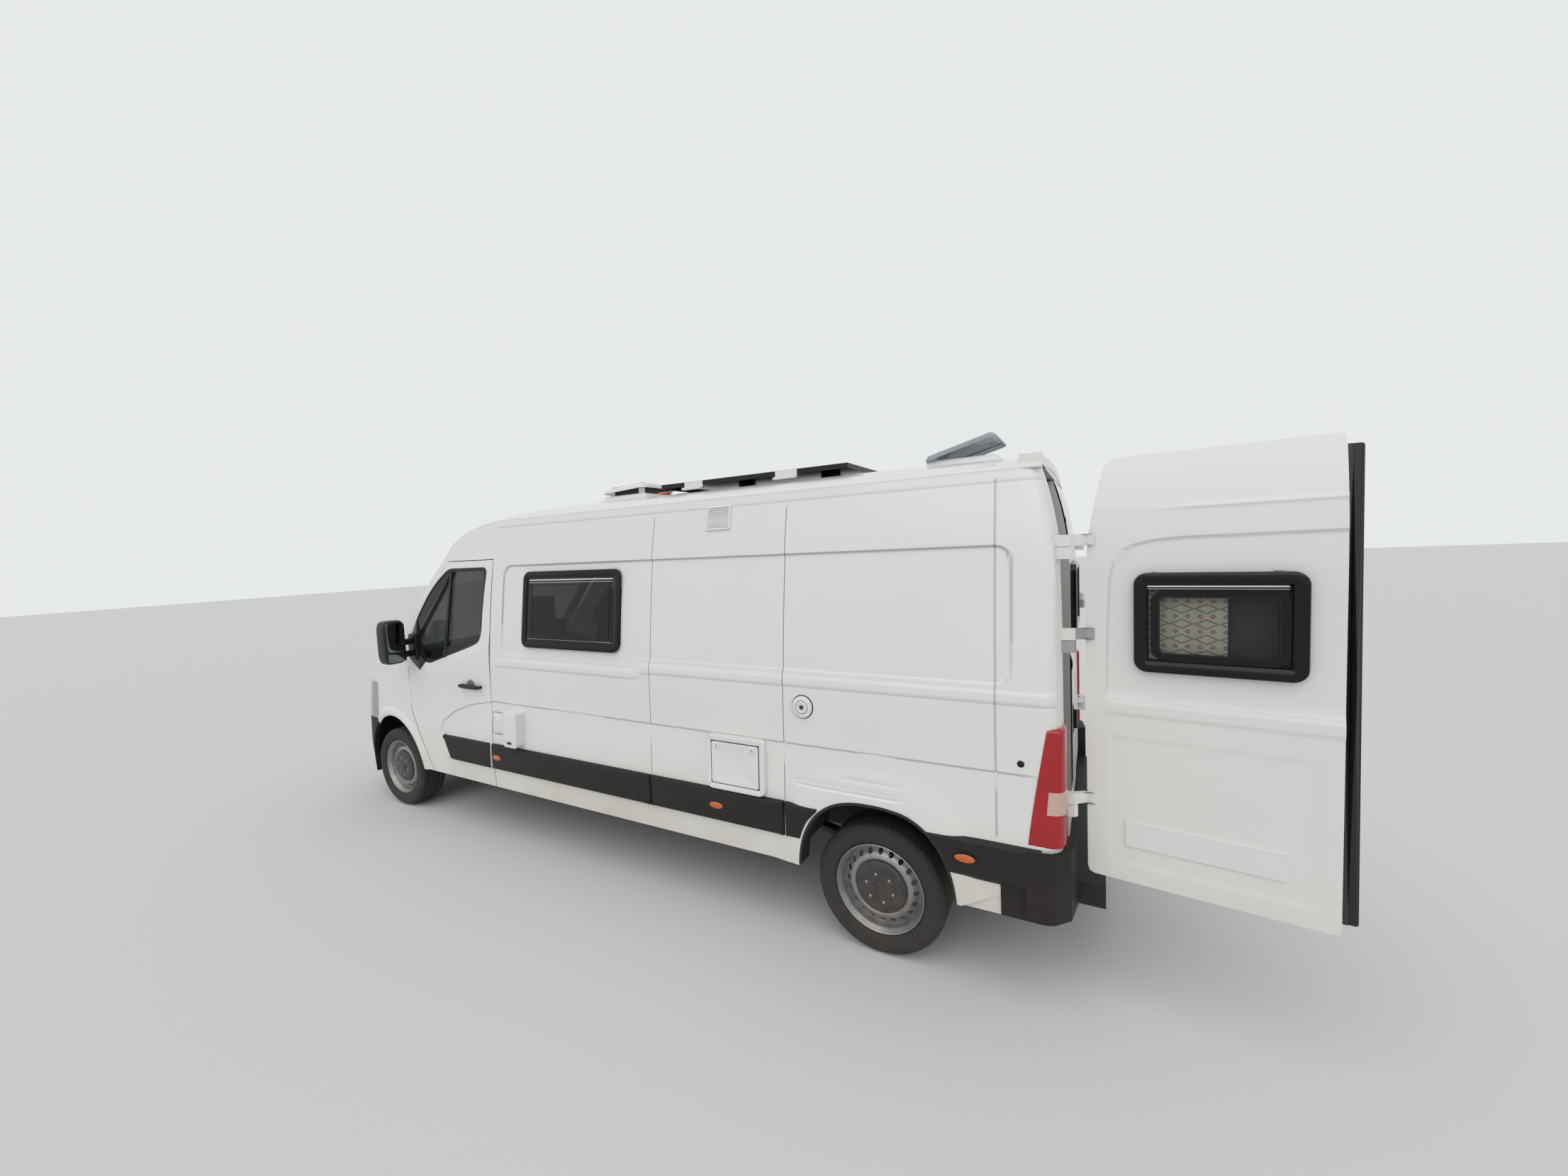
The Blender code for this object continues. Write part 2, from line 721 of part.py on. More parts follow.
MOVING = (
    ("cab_door_left", "van", (DOOR_LEAD_X, LEAD_Y, CREASE_Z), 0.0),
    ("cab_door_right", "van", (DOOR_LEAD_X, -LEAD_Y, CREASE_Z), 0.0),
    ("rear_door_left", "van", (REAR_PIVOT_X, REAR_HINGE_Y, BELT_Z), -REAR_REST_DEG),
    ("rear_door_right", "van", (REAR_PIVOT_X, -REAR_HINGE_Y, BELT_Z), 0.0),
    ("knuckle_left", "van", (0.0, KINGPIN_Y, TYRE_RADIUS), 0.0),
    ("knuckle_right", "van", (0.0, -KINGPIN_Y, TYRE_RADIUS), 0.0),
    ("wheel_front_left", "knuckle_left", (0.0, FRONT_TRACK / 2, TYRE_RADIUS), 0.0),
    ("wheel_front_right", "knuckle_right", (0.0, -FRONT_TRACK / 2, TYRE_RADIUS), 0.0),
    ("wheel_rear_left", "van", (-WHEELBASE, REAR_TRACK / 2, TYRE_RADIUS), 0.0),
    ("wheel_rear_right", "van", (-WHEELBASE, -REAR_TRACK / 2, TYRE_RADIUS), 0.0),
    ("bonnet", "van", (BONNET_HINGE_X, 0.0, BONNET_HINGE_Z), 0.0),
    ("hatch_lid", "van", (HATCH_FRONT_X, 0.0, HATCH_HINGE_Z), HATCH_REST_DEG),
    ("service_door", "van", SERVICE_PIVOT, 0.0),
    ("fuel_flap", "van", FLAP_PIVOT, 0.0),
    ("steering_wheel", "van", (WHEEL_HUB_X, STEER_SIDE_Y, WHEEL_HUB_Z), 0.0),
)


# Body panels


def wing_outline():
    """Front wing seen from the side, up to the headlamp and down behind the arch."""
    outline = door_outline()
    foot, bend, shoulder = outline[1], outline[2], outline[3]
    return [
        (SCREEN_BASE_X + OVER, SILL_Z - OVER),
        (SCREEN_BASE_X + OVER, SCREEN_BASE_Z - 0.045),
        (SCREEN_BASE_X * 0.4, WING_TOP_Z - SEAT),
        (shoulder[0] + CLEAR, WING_TOP_Z - SEAT),
        (bend[0] + CLEAR, bend[1] - SEAT),
        (foot[0] + CLEAR, foot[1]),
    ]


def sliding_outline():
    """Sliding door's outer panel."""
    return rounded(SLIDING_REAR_X, SLIDING_FRONT_X, SLIDING_LOW_Z, SLIDING_TOP_Z, 2 * DOOR_RADIUS)


WINDOW_REAR_X = -2.690
WINDOW_FRONT_X = -1.765
WINDOW_LOW_Z = 1.465
WINDOW_TOP_Z = 1.990
WINDOW_RADIUS = 0.055
WINDOW_LIFT = 0.016
WINDOW_DEPTH = 0.030


def window_outline():
    """Hinged acrylic side window with its frame."""
    return rounded(WINDOW_REAR_X, WINDOW_FRONT_X, WINDOW_LOW_Z, WINDOW_TOP_Z, WINDOW_RADIUS)


CAP_X = -3.970
CAP_Z = 1.250
CAP_RADIUS = 0.055
CAP_LIFT = 0.014
VENT_FRONT_X = -3.335
VENT_REAR_X = -3.495
VENT_LOW_Z = 2.195
VENT_TOP_Z = 2.325
VENT_LIFT = 0.012
VENT_SLOTS = 9
HINGE_RADIUS = 0.009
HINGE_LONG = 0.050
LEAF_LONG = 0.050
LEAF_DROP = 0.002
HINGE_HEIGHTS = (0.97, 1.19)
REAR_HINGE_HEIGHTS = (0.90, 1.62, 2.02)
REAR_HINGE_RADIUS = 0.013
STRAP_LONG = 0.130
STRAP_T = 0.008


def rail(y0, y1, x0, x1, z0, z1, name="rail"):
    """Straight box member between side, length and height limits."""
    return block(name, (min(x0, x1), min(y0, y1), z0), (max(x0, x1), max(y0, y1), z1))


def recess_outline():
    """Pressed recess from behind the cab door to the rear corner, over the belt line."""
    return rounded(RECESS_REAR_X, RECESS_FRONT_X, RECESS_LOW_Z, RECESS_TOP_Z, RECESS_RADIUS)


def side_wall(side):
    """Left or right body side: pillars, cant rail, load side, rear corner."""
    wall = side_sheet(side)
    door = grown(door_outline(), CLEAR)
    front = [
        (SCREEN_BASE_X + 2 * OVER, SILL_Z - 3 * OVER),
        (SCREEN_BASE_X + 2 * OVER, WING_TOP_Z),
        (DOOR_LEAD_X - OVER, WING_TOP_Z),
        (DOOR_FOOT_X - OVER, SILL_Z - 3 * OVER),
    ]
    cut(wall, side_prism(door, side, 0.6), side_prism(front, side, 0.6))
    cut(wall, side_prism(rear_arch_outline(), side))
    cut(wall, side_plate("recess", recess_outline(), side, OVER, RECESS_DEEP))
    if side > 0:
        cut(wall, side_prism(grown(window_outline(), SEAT), side))
        frame = grown(rounded(SERVICE_REAR_X, SERVICE_FRONT_X, SERVICE_LOW_Z, SERVICE_TOP_Z,
                              SMALL_CORNER), CLEAR)
        border = grown(frame, 0.024)
        join(wall, side_plate("service_frame", border, side, SERVICE_LIFT, SINK))
        cut(wall, side_prism(frame, side))
        cap = [(CAP_X + CAP_RADIUS * math.cos(a), CAP_Z + CAP_RADIUS * math.sin(a))
               for a in [2 * math.pi * k / 24 for k in range(24)]]
        join(wall, side_plate("filler_cap", cap, side, CAP_LIFT, SINK))
        vent = rounded(VENT_REAR_X, VENT_FRONT_X, VENT_LOW_Z, VENT_TOP_Z, 0.008, 2)
        join(wall, side_plate("vent", vent, side, VENT_LIFT, SINK))
        pitch = (VENT_TOP_Z - VENT_LOW_Z) / (VENT_SLOTS + 1)
        for k in range(VENT_SLOTS):
            z = VENT_LOW_Z + pitch * (k + 0.7)
            slot = rounded(VENT_REAR_X + 0.012, VENT_FRONT_X - 0.012, z, z + 0.55 * pitch, 0.002, 1)
            cut(wall, side_plate("slot", slot, side, VENT_LIFT + OVER, -0.5 * VENT_LIFT))
        flap = grown(rounded(FLAP_REAR_X, FLAP_FRONT_X, FLAP_LOW_Z, FLAP_TOP_Z, SMALL_CORNER), CLEAR)
        cut(wall, side_plate("flap_pocket", flap, side, OVER, 0.035))
    else:
        cut(wall, side_prism(grown(sliding_outline(), SEAT), side))
    hinge_leaves(wall, side)
    return wall


def hinge_leaves(wall, side):
    """Fixed halves of the rear door hinges, welded to the rear pillar."""
    for z in REAR_HINGE_HEIGHTS:
        low = z + SEAT
        barrel = rod("barrel", (REAR_PIVOT_X, side * REAR_HINGE_Y, low),
                     (REAR_PIVOT_X, side * REAR_HINGE_Y, low + HINGE_LONG), REAR_HINGE_RADIUS)
        leaf = rail(side * (REAR_HINGE_Y - 0.010), side * (REAR_HINGE_Y + 0.020), REAR_PIVOT_X,
                    REAR_X + 0.04, low + SEAT, low + HINGE_LONG - SEAT, "leaf")
        join(leaf, barrel)
        join(wall, leaf)


def make_sides():
    """Both body sides, the sliding door and the windows in them."""
    node(side_wall(1), "side_wall_left", WHITE)
    node(side_wall(-1), "side_wall_right", WHITE)
    door = keep(side_sheet(-1), side_prism(sliding_outline(), -1))
    cut(door, side_plate("recess", recess_outline(), -1, OVER, RECESS_DEEP))
    cut(door, side_prism(grown(window_outline(), SEAT), -1))
    node(door, "sliding_door", WHITE)
    for side, tag in ((1, "left"), (-1, "right")):
        window = side_plate("window", window_outline(), side, WINDOW_LIFT, WINDOW_DEPTH)
        node(window, "side_window_" + tag, GLASS_LOOK)


def make_roof():
    """Roof skin from the brow over the windscreen to the rear doors, with the hatch hole."""
    outer = []
    inner = []
    for x, top, edge, bow in ROOF_STATIONS:
        half = float(np.interp(edge, LINE_Z, LINE_Y))
        row = []
        under = []
        for share in ROOF_SHARES:
            y = half * share
            z = edge + LIP + (top - edge) * (1.0 - abs(share) ** 3)
            place = x - bow * SCREEN_BOW * (y / BOW_Y) ** 2
            row.append((place, y, z))
            seated = abs(share) > ROOF_SEAT_SHARE
            back = 0.0 if seated else bow * ROOF_WALL
            low = edge + SEAT if seated else max(z - ROOF_WALL, edge + SEAT)
            under.append((place - back, y, low))
        outer.append(row)
        inner.append(under)
    roof = slab("roof", outer, inner)
    hole = rounded(HATCH_REAR_X + HATCH_RIM, HATCH_FRONT_X - HATCH_RIM,
                   HATCH_RIM - HATCH_HALF, HATCH_HALF - HATCH_RIM, HATCH_RIM)
    cut(roof, prism("hatch_hole", hole, "xy", EDGE_Z, ROOF_TOP_Z + EDGE_Z))
    header = rail(-REAR_EDGE_TOP_Y, REAR_EDGE_TOP_Y, rear_x(EDGE_Z) + SINK,
                  rear_x(EDGE_Z) + PILLAR_DEPTH, REAR_TOP_Z - 2 * CLEAR, ROOF_TOP_Z - ROOF_WALL)
    join(roof, header)
    both = [(-y, z) for y, z in rear_door_outline()[1:4]]
    both = rear_door_outline()[1:4] + both[::-1]
    rebate = prism("rebate", grown(both, CLEAR), "yz", REAR_X - 1.0,
                   rear_x(EDGE_Z) + REAR_DOOR_T + 2 * CLEAR)
    cut(roof, rebate)
    node(roof, "roof", WHITE)


def make_cab_frame():
    """Windscreen frame, scuttle, bulkhead and toe board in one welded piece."""
    rows = [SCREEN_BASE_Z - LIP_DROP, SCREEN_BASE_Z, 0.5 * (SCREEN_BASE_Z + SCREEN_TOP_Z),
            SCREEN_TOP_Z - LIP_DROP - SEAT]
    outer = []
    inner = []
    glass_out = []
    glass_in = []
    for z in rows:
        half = min(side_y(front_edge_x(z), z), side_y(0.0, z)) - WALL - FRAME_GAP
        ys = [half * share for share in SCREEN_SHARES]
        outer.append([(screen_x(y, z) - GLASS - SEAT, y, z) for y in ys])
        inner.append([(screen_x(y, z) - SCREEN_FRAME, y, z) for y in ys])
        if z >= SCREEN_BASE_Z:
            glass_out.append([(screen_x(y, z), y, z) for y in ys])
            glass_in.append([(screen_x(y, z) - GLASS, y, z) for y in ys])
    frame = slab("cab_frame", outer, inner)
    low, high = rows[1] + SCREEN_BORDER, rows[-1] - SCREEN_BORDER
    half_low = abs(outer[0][0][1]) - SCREEN_BORDER
    half_high = abs(outer[-1][0][1]) - SCREEN_BORDER
    opening = [(-half_low, low), (half_low, low), (half_high, high), (-half_high, high)]
    cut(frame, prism("opening", opening, "yz", -2.0, 2.0))
    half = side_y(SCREEN_BASE_X, SCREEN_BASE_Z) - WALL - SCREEN_BORDER
    scuttle = block("scuttle", (BULKHEAD_X, -half, SCREEN_BASE_Z - SCREEN_FRAME),
                    (BONNET_HINGE_X - CLEAR - 0.01, half, SCREEN_BASE_Z - 2 * SEAT))
    bulkhead = [
        (BULKHEAD_X, SCREEN_BASE_Z - 2 * SINK),
        (BULKHEAD_X + BULKHEAD_T, SCREEN_BASE_Z - 2 * SINK),
        (BULKHEAD_X + BULKHEAD_T, BULKHEAD_LOW_Z),
        (FLOOR_FRONT_X + BULKHEAD_T, BULKHEAD_LOW_Z - BULKHEAD_T),
        (FLOOR_FRONT_X + BULKHEAD_T, FLOOR_TOP_Z + SINK),
        (FLOOR_FRONT_X - BULKHEAD_T, FLOOR_TOP_Z + SEAT),
        (FLOOR_FRONT_X - BULKHEAD_T, FLOOR_TOP_Z + BULKHEAD_T),
        (FLOOR_FRONT_X, BULKHEAD_LOW_Z),
        (BULKHEAD_X, BULKHEAD_LOW_Z + BULKHEAD_T),
    ]
    wide = side_y(BULKHEAD_X, BELT_Z) - WALL - 2 * CLEAR
    join(frame, scuttle, prism("bulkhead", bulkhead, "xz", -wide, wide))
    for y in BONNET_HINGE_PLACES:
        relief = rod("relief", (BONNET_HINGE_X, y - CLEAR, BONNET_HINGE_Z),
                     (BONNET_HINGE_X, y + BARREL_LONG + CLEAR, BONNET_HINGE_Z), HINGE_RADIUS + CLEAR)
        cut(frame, relief)
        start = y - SEAT - BARREL_LONG
        barrel = rod("barrel", (BONNET_HINGE_X, start, BONNET_HINGE_Z),
                     (BONNET_HINGE_X, y - SEAT, BONNET_HINGE_Z), HINGE_RADIUS)
        arm = rail(start + SEAT, y - 2 * SEAT, BONNET_HINGE_X - 0.04, BONNET_HINGE_X,
                   BONNET_HINGE_Z - HINGE_RADIUS, BONNET_HINGE_Z - 0.3 * HINGE_RADIUS)
        join(barrel, arm)
        join(frame, barrel)
    node(frame, "cab_frame", BLACK)
    node(slab("windscreen", glass_out, glass_in), "windscreen", GLASS_LOOK)


def nose_point(angle, z, inset=0.0):
    """Plan curve of the nose at a height: a squarish ellipse ahead of the front arches."""
    reach = float(np.interp(z, NOSE_ROWS_Z, NOSE_REACH)) - inset
    half = side_y(SCREEN_BASE_X, max(z, RUB_TOP_Z)) - inset
    power = 2.0 / NOSE_SQUARE
    c, s = max(0.0, math.cos(angle)), math.sin(angle)
    return SCREEN_BASE_X + reach * c ** power, math.copysign(abs(s) ** power, s) * half


def nose_slab(name, start, end, count, heights, thick):
    """Part of the nose as a thick skin between two plan angles."""
    outer = []
    inner = []
    for z in heights:
        row = []
        under = []
        for k in range(count + 1):
            angle = start + (end - start) * k / count
            row.append((*nose_point(angle, z), z))
            under.append((*nose_point(angle, z, thick), z))
        outer.append(row)
        inner.append(under)
    return slab(name, outer, inner)


def make_front():
    """Bumper with its lower grille, upper grille, headlamps, wings and bonnet."""
    right = math.pi / 2
    rows = (BUMPER_LOW_Z, BUMPER_MID_Z, GRILLE_LOW_Z)
    bumper = nose_slab("bumper_front", -right, right, 16, rows, BUMPER_T)
    cut(bumper, arch_cutter())
    for k in range(3):
        z = BUMPER_LOW_Z + BUMPER_T + k * INTAKE_PITCH
        cut(bumper, rail(-INTAKE_HALF, INTAKE_HALF, SCREEN_BASE_X, NOSE_END_X + 1.0,
                         z, z + 0.6 * INTAKE_PITCH))
    node(bumper, "bumper_front", BLACK)
    lamp_in = math.asin(LAMP_IN_SHARE)
    heights = (GRILLE_LOW_Z + SEAT, LAMP_MID_Z, GRILLE_TOP_Z)
    grille = nose_slab("grille", -lamp_in, lamp_in, 8, heights, GRILLE_T)
    pitch = (GRILLE_TOP_Z - GRILLE_LOW_Z) / GRILLE_SLATS
    for k in range(GRILLE_SLATS - 1):
        z = GRILLE_LOW_Z + (k + 0.75) * pitch
        cut(grille, rail(-INTAKE_HALF, INTAKE_HALF, SCREEN_BASE_X, NOSE_END_X + 1.0,
                         z, z + 0.5 * pitch))
    node(grille, "grille", BLACK)
    seam = SEAT / SCREEN_BASE_X * 4
    lamp = nose_slab("lamp", lamp_in + seam, right, 8, heights, 2 * GRILLE_T)
    cut(lamp, arch_cutter())
    node(lamp, "headlamp_left", CLEAR_LENS)
    node(mirrored(lamp, "headlamp_right"), "headlamp_right", CLEAR_LENS)
    trim = prism("wing_front", [(SCREEN_BASE_X - SEAT, 0.0), (1.0, 0.0), (1.0, 2.0),
                                (SCREEN_BASE_X - SEAT, 2.0)], "xz", -2.0, 2.0)
    wing = keep(side_sheet(1), side_prism(wing_outline(), 1))
    cut(wing, arch_cutter(), trim)
    for z in HINGE_HEIGHTS:
        cut(wing, rod("relief", (DOOR_LEAD_X, LEAD_Y, z), (DOOR_LEAD_X, LEAD_Y, z + HINGE_LONG + CLEAR),
                      HINGE_RADIUS + CLEAR))
        low = z - SEAT - HINGE_LONG
        barrel = rod("barrel", (DOOR_LEAD_X, LEAD_Y, low), (DOOR_LEAD_X, LEAD_Y, z - SEAT), HINGE_RADIUS)
        leaf = rail(LEAD_Y - 0.5 * WALL, LEAD_Y - LEAF_DROP, DOOR_LEAD_X + CLEAR, DOOR_LEAD_X + LEAF_LONG,
                    low + SEAT, z - 2 * SEAT)
        web = rail(LEAD_Y - LEAF_DROP - CLEAR, LEAD_Y - LEAF_DROP - SEAT, DOOR_LEAD_X,
                   DOOR_LEAD_X + 2 * CLEAR, low + 2 * SEAT, z - 3 * SEAT)
        join(leaf, web, barrel)
        join(wing, leaf)
    node(wing, "wing_left", WHITE)
    node(mirrored(wing, "wing_right"), "wing_right", WHITE)
    bonnet_rows = 5
    outer = []
    inner = []
    for i in range(bonnet_rows + 1):
        share = i / bonnet_rows
        row = []
        under = []
        for k in range(-4, 5):
            y = BONNET_HALF * k / 4
            reach = nose_x(y, GRILLE_TOP_Z)
            x = BONNET_HINGE_X + (reach - BONNET_HINGE_X) * share
            z = BONNET_HINGE_Z - (BONNET_HINGE_Z - GRILLE_TOP_Z - CLEAR) * share ** BONNET_POWER
            z -= BONNET_SIDE_DROP * (k / 4) ** 2 * (1.0 - share)
            row.append((x, y, z + BONNET_T * (1.0 - share)))
            under.append((x, y, z - BONNET_T * (1.0 - share) * 0.2 - SINK * share))
        outer.append(row)
        inner.append(under)
    bonnet = slab("bonnet", inner, outer)
    for y in BONNET_HINGE_PLACES:
        pin = (BONNET_HINGE_X, y, BONNET_HINGE_Z)
        cut(bonnet, rod("relief", (pin[0], y - BARREL_LONG - CLEAR, pin[2]), pin, HINGE_RADIUS + CLEAR))
        join(bonnet, rod("barrel", pin, (pin[0], y + BARREL_LONG, pin[2]), HINGE_RADIUS))
    node(bonnet, "bonnet", WHITE, "bonnet")


def nose_x(y, z):
    """Foremost x of the nose at a side distance and height."""
    reach = float(np.interp(z, NOSE_ROWS_Z, NOSE_REACH))
    half = side_y(SCREEN_BASE_X, max(z, RUB_TOP_Z))
    share = min(1.0, abs(y) / half)
    return SCREEN_BASE_X + reach * (1.0 - share ** NOSE_SQUARE) ** (1.0 / NOSE_SQUARE)


def make_cab_doors():
    """Cab doors with their glass and mirrors; the left one is made first, then mirrored."""
    door = keep(side_sheet(1), side_prism(door_outline(), 1, 0.6))
    cut(door, arch_cutter())
    outline = door_outline()
    top = outline[4][0]
    glass = [
        (DOOR_REAR_X + DOOR_BORDER, CAB_GLASS_LOW_Z),
        (DOOR_LEAD_X - 0.6 * DOOR_BORDER, CAB_GLASS_LOW_Z - CAB_GLASS_DROP),
        (DOOR_LEAD_X - 0.6 * DOOR_BORDER, outline[3][1] - 0.3 * DOOR_BORDER),
        (top - 0.5 * DOOR_BORDER, DOOR_TOP_Z - 0.7 * DOOR_BORDER),
        (DOOR_REAR_X + DOOR_BORDER, DOOR_TOP_Z - 0.7 * DOOR_BORDER),
    ]
    cut(door, side_prism(grown(glass, SEAT), 1))
    pane = side_plate("cab_glass", glass, 1, -2 * GLASS, 3 * GLASS)
    for z in HINGE_HEIGHTS:
        cut(door, rod("relief", (DOOR_LEAD_X, LEAD_Y, z - HINGE_LONG - CLEAR), (DOOR_LEAD_X, LEAD_Y, z),
                      HINGE_RADIUS + CLEAR))
        barrel = rod("barrel", (DOOR_LEAD_X, LEAD_Y, z), (DOOR_LEAD_X, LEAD_Y, z + HINGE_LONG),
                     HINGE_RADIUS)
        leaf = rail(LEAD_Y - 0.5 * WALL, LEAD_Y - LEAF_DROP, DOOR_LEAD_X - LEAF_LONG, DOOR_LEAD_X - CLEAR,
                    z + SEAT, z + HINGE_LONG - SEAT)
        web = rail(LEAD_Y - LEAF_DROP - CLEAR, LEAD_Y - LEAF_DROP - SEAT, DOOR_LEAD_X - 2 * CLEAR,
                   DOOR_LEAD_X, z + 2 * SEAT, z + HINGE_LONG - 2 * SEAT)
        join(leaf, web, barrel)
        join(door, leaf)
    tip = rounded(DOOR_REAR_X - OVER, CAB_STRIP_FRONT_X, RUB_LOW_Z - OVER, RUB_TOP_Z + OVER,
                  3 * OVER)
    strip = keep(strip_plate(DOOR_REAR_X, CAB_STRIP_FRONT_X, 1, -SINK), side_prism(tip, 1))
    join(door, strip)
    node(door, "cab_door_left", WHITE, "cab_door_left")
    node(mirrored(door, "cab_door_right"), "cab_door_right", WHITE, "cab_door_right")
    node(pane, "cab_glass_left", GLASS_LOOK, "cab_door_left")
    node(mirrored(pane, "cab_glass_right"), "cab_glass_right", GLASS_LOOK, "cab_door_right")
    head = slab("mirror", *mirror_grids())
    foot = side_plate("foot", rounded(MIRROR_X - 0.055, MIRROR_X + 0.055, MIRROR_LOW_Z - 0.075,
                                      MIRROR_LOW_Z + 0.005, 0.02), 1, 0.022, -SEAT)
    near = side_y(MIRROR_X, MIRROR_LOW_Z)
    for low in (-0.070, -0.025):
        z = MIRROR_LOW_Z + low
        arm = prism("arm", [(near + 0.012, z), (near + 0.012, z + 0.025), (MIRROR_IN_Y + 0.035, z + 0.115),
                            (MIRROR_IN_Y + 0.035, z + 0.090)], "yz", MIRROR_X - 0.022, MIRROR_X + 0.022)
        join(head, arm)
    join(head, foot)
    node(head, "mirror_left", BLACK, "cab_door_left")
    node(mirrored(head, "mirror_right"), "mirror_right", BLACK, "cab_door_right")


def mirror_grids():
    """Mirror head: rounded housing, flat at the back where the glass is."""
    outer = []
    inner = []
    for share_z in (0.0, 0.15, 0.5, 0.85, 1.0):
        z = MIRROR_LOW_Z + (MIRROR_TOP_Z - MIRROR_LOW_Z) * share_z
        round_z = 1.0 - (2 * share_z - 1.0) ** 4
        row = []
        under = []
        for share_y in (0.0, 0.15, 0.5, 0.85, 1.0):
            y = MIRROR_IN_Y + (MIRROR_OUT_Y - MIRROR_IN_Y) * share_y
            round_y = 1.0 - (2 * share_y - 1.0) ** 4
            deep = MIRROR_RIM + MIRROR_DEEP * round_z * round_y
            row.append((MIRROR_X + deep, y, z))
            under.append((MIRROR_X - MIRROR_RIM, y, z))
        outer.append(row)
        inner.append(under)
    return outer, inner


def rear_sheet(side, lift, depth, low_y, high_y, low_z, high_z):
    """Rear face between two side distances, lift outside and depth inside the face."""
    rows = [low_z] + [z for z in REAR_ROWS if low_z < z < high_z] + [high_z]
    outer = [[(rear_x(z) - lift, side * y, z) for y in (low_y, high_y)] for z in rows]
    inner = [[(rear_x(z) + depth, side * y, z) for y in (low_y, high_y)] for z in rows]
    return slab("rear_sheet", outer, inner)


def rear_door_outline():
    """Rear door seen from behind: straight edges, narrower at the top."""
    return [
        (REAR_GAP_Y, REAR_LOW_Z),
        (REAR_EDGE_Y, REAR_LOW_Z),
        (REAR_EDGE_Y, REAR_EDGE_BEND_Z),
        (REAR_EDGE_TOP_Y, REAR_TOP_Z),
        (REAR_GAP_Y, REAR_TOP_Z),
    ]


def make_rear_doors():
    """Two full-height rear doors with windows and strap hinges, both as if closed."""
    for side, tag in ((1, "left"), (-1, "right")):
        body = "rear_door_" + tag
        door = rear_sheet(side, 0.0, REAR_DOOR_T, 0.0, 1.0, REAR_LOW_Z - OVER, REAR_TOP_Z + OVER)
        outline = [(side * y, z) for y, z in rear_door_outline()]
        keep(door, prism("outline", outline, "yz", REAR_X - 1.0, REAR_X + 1.0))
        glass = [(side * y, z) for y, z in rounded(REAR_WINDOW_IN_Y, REAR_WINDOW_OUT_Y,
                                                   REAR_WINDOW_LOW_Z, REAR_WINDOW_TOP_Z, 0.08)]
        hole = grown(glass, SEAT)
        cut(door, prism("hole", hole, "yz", REAR_X - 1.0, REAR_X + 1.0))
        cut(door, rear_sheet(side, OVER, REAR_RECESS_DEEP, 0.0, REAR_RECESS_Y, RECESS_LOW_Z,
                             REAR_RECESS_TOP_Z))
        for z in REAR_HINGE_HEIGHTS:
            high = z - SEAT
            low = high - HINGE_LONG
            barrel = rod("barrel", (REAR_PIVOT_X, side * REAR_HINGE_Y, low),
                         (REAR_PIVOT_X, side * REAR_HINGE_Y, high), REAR_HINGE_RADIUS)
            strap = rail(side * (REAR_EDGE_Y - STRAP_LONG), side * REAR_HINGE_Y,
                         REAR_X - CLEAR - STRAP_T, REAR_X - CLEAR, low + SEAT, high - SEAT, "strap")
            pad = rail(side * (REAR_EDGE_Y - STRAP_LONG), side * (REAR_EDGE_Y - CLEAR),
                       REAR_X - CLEAR - 0.5 * STRAP_T, REAR_X + SINK, low + 2 * SEAT, high - 2 * SEAT)
            knee = rail(side * (REAR_HINGE_Y - REAR_HINGE_RADIUS), side * REAR_HINGE_Y,
                        REAR_PIVOT_X, REAR_X - CLEAR - 0.5 * STRAP_T, low + 2 * SEAT, high - 2 * SEAT)
            join(strap, pad, knee, barrel)
            join(door, strap)
        node(door, body, WHITE, body)
        pane = rear_sheet(side, GLASS, REAR_DOOR_T * 0.5, 0.0, 1.0, REAR_LOW_Z, REAR_TOP_Z)
        keep(pane, prism("pane", glass, "yz", REAR_X - 1.0, REAR_X + 1.0))
        node(pane, "rear_window_" + tag, GLASS_LOOK, body)


